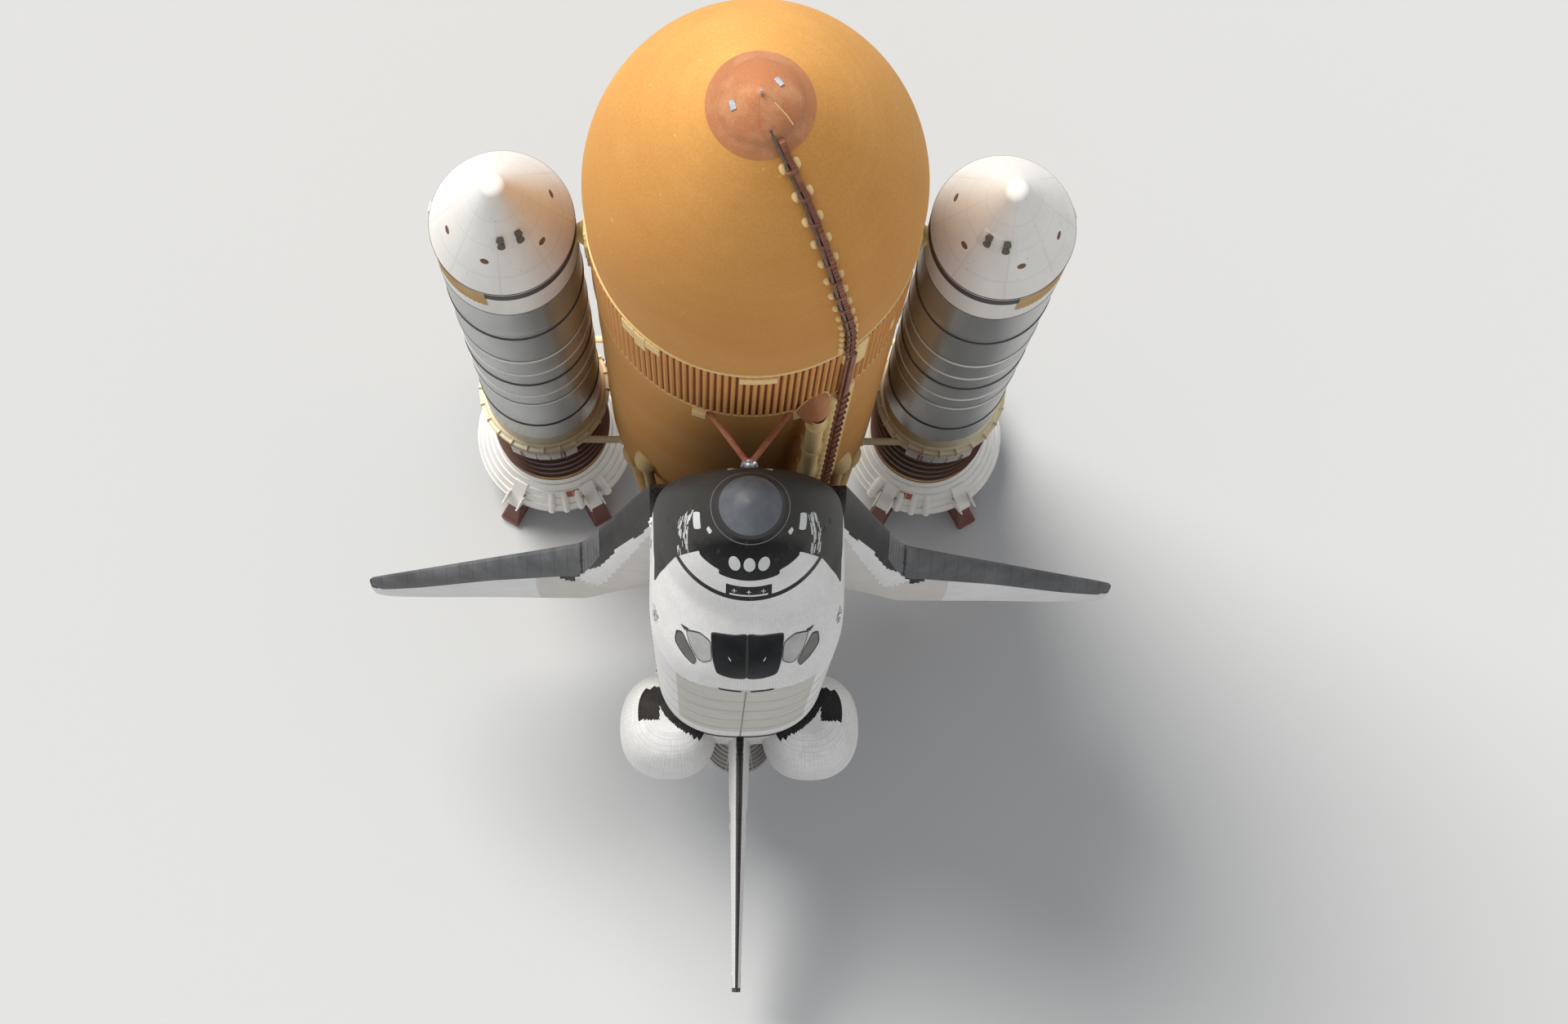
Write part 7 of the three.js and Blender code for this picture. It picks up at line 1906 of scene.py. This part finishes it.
for name, x, up, z, lean, out, ball, rim, mouth in MAIN_ENGINES:
    place = engine_frame(x, up, z, lean, out)
    outside, inside, at_share = bell_of(ball, *MAIN_BELL)
    bands = [ridge(at_share(s), ((-0.3, -1.4), (0.9, -1.0), (1.1, 1.0), (-0.1, 1.5)), 72)
             for s in (0.10, 0.18, 0.27, 0.36, 0.46, 0.56, 0.66, 0.76, 0.86)]
    manifold = ridge(at_share(1.0), ((-2.2, -1.0), (-0.6, -6.0), (0.05, -5.0), (0.05, -1.2), (-0.5, 0), (-2.4, 0)),
                     96)
    turn = np.linspace(0, 2 * np.pi, 15)
    neck_ring = turned(points_at(0.97 * at_share(0.03)[0] + 1.6 * np.sin(turn),
                                 ball + 4 + (164 - ball) * 0.03 + 1.6 * np.cos(turn)), 72)
    orbiter_piece(f"{name}_bell", place(turned(outside, 180)), engine_metal, "engine_metal", body=name, hides=[name])
    orbiter_piece(f"{name}_inner", place(oriented(turned(inside, 120), inward=True)), throat_dark, "engine_metal",
                  body=name)
    lines = []
    for turn in np.radians((20, 65, 110, 160, 200, 250, 295, 340)):
        path = []
        for s, away in ((0.02, 1.4), (0.10, 1.4), (0.3, 1.5), (0.55, 1.5), (0.8, 1.5), (0.97, 1.2)):
            r, station = at_share(s)
            path.append([(r + away) * np.cos(turn), (r + away) * np.sin(turn), station])
        lines.append(rod(path, 0.95, 10))
    for turn, reach in zip(np.radians((35, 90, 145, 215, 270, 325)), (10, 12, 10, 10.5, 12, 10.5)):
        x_way, y_way = reach * np.cos(turn), reach * np.sin(turn)
        pump = [[x_way, y_way, 0.72 * ball], [x_way, y_way, ball + 9.0], [0.8 * x_way, 0.8 * y_way, ball + 14.0]]
        lines.append(rod(pump, [3.2, 3.4, 2.2], 16))
    orbiter_piece(f"{name}_bands", place(together([*bands, manifold, neck_ring])), band_steel, "engine_metal",
                  body=name)
    orbiter_piece(f"{name}_lines", place(together(lines)), line_steel, "engine_metal", body=name)
    angle = np.radians(np.linspace(rim, 1, 26))
    dome_rows = ball * points_at(np.sin(angle), np.cos(angle))
    # Fine pleats: every other row stands out a little.
    pleats = dome_rows * (1 + 0.006 * np.cos(np.arange(len(dome_rows)) * np.pi))[:, None]
    dome = turned([[0.4 * ball, 0.1 * ball], 0.96 * dome_rows[0], *pleats], 96)
    dome = {**dome, "points": dome["points"] + (x, up, z)}
    foot = turned([[0, z - 8], [0.3 * ball, z - 8], [0.4 * ball, z + 0.1 * ball], [0, z + 0.12 * ball]], 48, (x, up))
    orbiter_piece(f"{name}_shield", [dome, foot], shield_cloth, "engine_metal", body=name)

# The manoeuvring pods
# Graphite shells under felt and tiles, with dark leading patches, a block of thrusters behind each and an engine
# that faces aft from a round well.
# Columns: station, middle x, middle height, half width, half height.
POD_ROWS = np.array([[1309.5, 84, 468, 30, 30], [1318, 86, 472, 42, 42], [1335, 88, 476, 51, 53],
                     [1365, 89, 479, 57, 60], [1410, 90, 481, 61, 64], [1460, 91, 482, 62, 65],
                     [1518, 91, 483, 60, 62]])
POD_ENGINE, POD_BALL, POD_SEAT = (88, 486, 1512), 24.0, 8.5
pod_stations = np.concatenate([1309.4 + np.array([0, 0.5, 2, 4.2]), np.linspace(1318, 1518.1, 36)])
pod_x, pod_up, pod_wide, pod_high = smooth(POD_ROWS, pod_stations).T[..., None]
turn = full_turn(84)[None]
across, over = (np.sign(wave) * np.abs(wave) ** 0.85 for wave in (np.cos(turn), np.sin(turn)))
pod_grid = points_at(pod_x + (pod_wide + 0.15) * across, pod_up + (pod_high + 0.15) * over, pod_stations[:, None])
front_middle = pod_grid[0].mean(axis=0)
pod_front = front_middle + (pod_grid[0] - front_middle) * np.linspace(0, 0.97, 24)[:, None, None]
pod_skin = sheet_of(np.concatenate([pod_front, pod_grid]), around=True)
at = centres(pod_skin)
_, pod_mid, pod_top, pod_width, pod_power, _ = smooth(BODY, np.full(len(at), 1306.0)).T
pod_skin = oriented(pod_skin)
# A dark line where each pod's front stands over the body, and a dark patch beside it.
out_share = at[:, 0] / (pod_width + POD_SEAT)
up_share = (at[:, 1] - pod_mid) / (pod_top - pod_mid + POD_SEAT)
near_body = out_share ** pod_power + up_share ** pod_power < 1
pod_patch = (at[:, 2] < 1319) & (at[:, 0] > 101) & (at[:, 0] < 130) & (at[:, 1] > 443) & (at[:, 1] < 482)
pod_dark = near_body & (at[:, 1] > 440) & (at[:, 2] < 1326) | pod_patch
pod_felt = (at[:, 2] > 1372) & (at[:, 1] > 470)
pod_which = np.select([pod_dark, pod_felt], [1, 2], default=0)
pod_mouths = [rod([[150.3, 470, z], [149.0, 470, z], [146.0, 470, z]], [4.4, 4.2, 2.6], 24)
              for z in (1494, 1508, 1522, 1536)]
pod_mouths += [rod([[136, 455.0, z], [136, 456.5, z]], 3.6, 20) for z in (1502, 1518, 1534)]
pod_block = [boxes([136, 470, 1562.6], (20, 24, 1.6), bevel=0.3), boxes([136, 487.2, 1516], (18, 1.2, 60), bevel=0.2)]
pod_collar = turned([[28.0, 1517.6], [28.0, 1519.8], [25.4, 1520.2], [25.0, 1517.8]], 60, POD_ENGINE[:2])
place = engine_frame(*POD_ENGINE, 15.8, 6.5)
outside, inside, at_share = bell_of(POD_BALL, *POD_BELL)
bands = [ridge(at_share(s), ((-0.2, -0.8), (0.6, -0.5), (0.6, 0.5), (-0.1, 0.9)), 60) for s in (0.12, 0.3, 0.5, 0.75)]
bands.append(ridge(at_share(1.0), ((-1.3, -1.6), (0.05, -1.8), (0.05, 0), (-1.4, 0)), 72))
angle = np.radians(np.linspace(79, 1, 20))
dome = turned([[9.6, 2.4], *(POD_BALL * points_at(np.sin(angle), np.cos(angle)))], 60)
dome = {**dome, "points": dome["points"] + POD_ENGINE}
foot = turned([[0, 1504], [7.2, 1504], [9.6, 1514.4], [0, 1515]], 32, POD_ENGINE[:2])
for name, side in SIDES.items():
    engine = f"pod_engine_{name}"
    bpy.data.objects[f"pod_{name}"].data.materials[0] = aft_body_tiles
    orbiter_piece(f"pod_skin_{name}", pod_skin, [aft_body_tiles, aft_body_black, white_blanket], "white_tile",
                  side=side, which=pod_which)
    orbiter_piece(f"pod_thrusters_{name}", pod_mouths, frame_black, "white_tile", side=side)
    orbiter_piece(f"pod_block_{name}", pod_block, aft_body_black, "white_tile", side=side)
    orbiter_piece(f"pod_collar_{name}", pod_collar, blanket_collar, "white_tile", side=side)
    orbiter_piece(f"pod_bell_{name}", place(together([turned(outside, 96), *bands])), engine_metal, "engine_metal",
                  side=side, body=engine, hides=[engine])
    orbiter_piece(f"pod_inner_{name}", place(oriented(turned(inside, 72), inward=True)), throat_dark, "engine_metal",
                  side=side, body=engine)
    orbiter_piece(f"pod_shield_{name}", [dome, foot], shield_cloth, "engine_metal", side=side, body=engine)

# The fin
# Two tiled skins on spars, thickest at the rudder's hinge, with a dark leading edge and a dark cap on the tip.
FIN_ROOT, FIN_TOP = 503.0, 818.7
RUDDER_LOW, RUDDER_HIGH = 607.0, 793.0
FOOT_SLOPE, COVE_LOW, COVE_HIGH, COVE_DEPTH = 61.0 / 82.0, 603.4, 797.0, 1.375
# The stations of the fin's nose and tail at its root, their sweeps, and its half thickness at root and tip.
FIN_NOSE, FIN_TAIL, NOSE_SWEEP, FIN_TAIL_SWEEP, FIN_HALVES = 1278.0, 1546.5, 1.0, 0.4931, (14, 5.7)
# Columns: share of the chord, share of the half thickness.
FIN_SIDE = np.array([[0, 0], [0.008, 0.12], [0.3, 0.56], [0.6, 1], [1, 0.09]])


def fin_at(up):
    """The fin's nose, hinge, tail and half thickness at a height."""
    nose, tail = FIN_NOSE + NOSE_SWEEP * (up - FIN_ROOT), FIN_TAIL + FIN_TAIL_SWEEP * (up - FIN_ROOT)
    half = FIN_HALVES[0] + (FIN_HALVES[1] - FIN_HALVES[0]) * (up - FIN_ROOT) / (FIN_TOP - FIN_ROOT)
    return nose, nose + 0.6 * (tail - nose), tail, half


def fin_side(up, z):
    """The fin's half width at a height and station."""
    nose, _, tail, half = fin_at(up)
    share = np.clip((z - nose) / (tail - nose), 0, 1)
    return half * np.interp(share, FIN_SIDE[:, 0], FIN_SIDE[:, 1])


hinge_slope = (fin_at(RUDDER_HIGH)[1] - fin_at(RUDDER_LOW)[1]) / (RUDDER_HIGH - RUDDER_LOW)
hinge_way = np.array([1.0, hinge_slope]) / np.hypot(1, hinge_slope)
square_way = np.array([-hinge_way[1], hinge_way[0]])


def on_hinge(along, aft):
    """The height and station at a distance along the rudder's hinge line from its foot and one aft of it."""
    low = np.array([RUDDER_LOW, fin_at(RUDDER_LOW)[1]])
    return tuple(low[:, None, None] + hinge_way[:, None, None] * along + square_way[:, None, None] * aft)


def fin_patch(up, z):
    """The starboard and port skins of a part of the fin."""
    x = fin_side(up, z)
    return points_at(x, up, z), points_at(-x, up, z)


fin_tiles = tiles("fin_tiles", (0.80, 0.79, 0.77, 1), TILE_SHADE, (0.46, 0.45, 0.44, 1), 0.03, 0.5, 0.4,
                  (0.60, 0.58, 0.55, 1))
rudder_length = np.hypot(fin_at(RUDDER_HIGH)[1] - fin_at(RUDDER_LOW)[1], RUDDER_HIGH - RUDDER_LOW)
shares = np.concatenate([[0, 0.002, 0.006, 0.012, 0.022], np.linspace(0.04, 1.0, 30)])


def fin_band(ups, first, last):
    """A closed part of the fin between two stations at each height: rings that go aft on one side and return."""
    z = first[:, None] + (last - first)[:, None] * shares
    starboard, port = fin_patch(ups[:, None] + 0 * z, z)
    return slab_of(starboard, port[:, 1:])


# Ahead of the rudder, the fin ends in a cove about the hinge line.
low_ups = in_steps([498.0, COVE_LOW], 6.0)
front = np.maximum(fin_at(low_ups)[0], 1309.0)
foot_end = np.where(low_ups < 504, 1497.0, 1497.0 + (low_ups - FIN_ROOT) * FOOT_SLOPE)
foot_end = np.minimum(foot_end, np.where(low_ups > 585, fin_at(low_ups)[2], 1e9))
mid_ups, top_ups = in_steps([COVE_LOW, COVE_HIGH], 6.0), in_steps([COVE_HIGH, FIN_TOP], 6.0)
mid_nose, mid_hinge, _, mid_half = fin_at(mid_ups)
fin_shape = gridded(together([fin_band(low_ups, front, np.minimum(foot_end, fin_at(low_ups)[2])),
                              fin_band(mid_ups, mid_nose, mid_hinge - COVE_DEPTH * mid_half),
                              fin_band(top_ups, fin_at(top_ups)[0], fin_at(top_ups)[2])]), 0, (1, 2))


def fin_finish(shape):
    """Dark along the nose and over the tip, white elsewhere."""
    at = centres(shape)
    nose_at, _, tail_at, _ = fin_at(at[:, 1])
    return np.where(((at[:, 2] - nose_at) / (tail_at - nose_at) < 0.15) | (at[:, 1] > FIN_TOP - 7), 1, 0)


orbiter_piece("fin_skin", fin_shape, [fin_tiles, aft_body_black], "white_tile", hides=["fin"],
              which=fin_finish(fin_shape))
# Filling pieces square to the hinge line, below and above the rudder, each end of its cove.
up, z = on_hinge(np.linspace(-34, -0.6, 8)[:, None], np.linspace(-16.0, 84.0, 26)[None])
below = slab_of(*fin_patch(up, np.minimum(z, np.minimum(fin_at(up)[2], 1496.0 + (up - FIN_ROOT) * FOOT_SLOPE))))
up, z = on_hinge(rudder_length + np.linspace(0.6, 22, 6)[:, None], np.linspace(-8.0, 62.0, 20)[None])
up = np.minimum(up, FIN_TOP)
above = slab_of(*fin_patch(up, np.minimum(z, fin_at(up)[2])))
filler_shape = gridded(together([below, above]), 0, (1, 2))
orbiter_piece("fin_ends", filler_shape, [fin_tiles, aft_body_black], "white_tile", which=fin_finish(filler_shape))

# The rudder
# Two panels on one tube: together they steer, and opened apart they brake. Tiled outside, dark within.
# Shares of the fin's half thickness: the tube's radius, and where the panels start behind its axis.
TUBE_SHARE, TUBE_CLEAR = 0.6, 0.62 * 1.06

tube_up, tube_z = on_hinge(np.linspace(0, rudder_length, 7)[:, None], np.array([[0.0]]))
tube_points = points_at(0.0, tube_up[:, 0], tube_z[:, 0])
tube = rod(tube_points, TUBE_SHARE * fin_at(tube_points[:, 1])[3], 32)
orbiter_piece("rudder_tube_shell", tube, band_steel, "rudder_steel", body="rudder", hides=["rudder_tube"])
starts = TUBE_CLEAR * np.interp(np.linspace(0, rudder_length, 34), [0, rudder_length],
                                fin_at(np.array([RUDDER_LOW, RUDDER_HIGH]))[3])
run = np.linspace(0.05, rudder_length - 0.05, 34)[:, None]
reach = np.linspace(0, 120, 60)
# Each row runs aft from the tube to the fin's tail.
row_up, row_z = on_hinge(run, reach[None])
tail_aft = np.array([np.interp(0, ahead, reach) for ahead in row_z - fin_at(row_up)[2]])
up, z = on_hinge(run, starts[:, None] + (tail_aft - starts)[:, None] * np.linspace(0, 1, 20)[None])
for name, side in SIDES.items():
    panel = slab_of(points_at(side * fin_side(up, z), up, z), points_at(side * MOVE_GAP / 2, up, z))
    inside = np.abs(centres(panel)[:, 0]) < MOVE_GAP / 2 + 0.02
    orbiter_piece(f"rudder_panel_shell_{name}", gridded(panel, 0, (1, 2)), [fin_tiles, dark_rubber], "white_tile",
                  body=f"rudder_panel_{name}", hides=[f"rudder_panel_{name}"], which=np.where(inside, 1, 0))
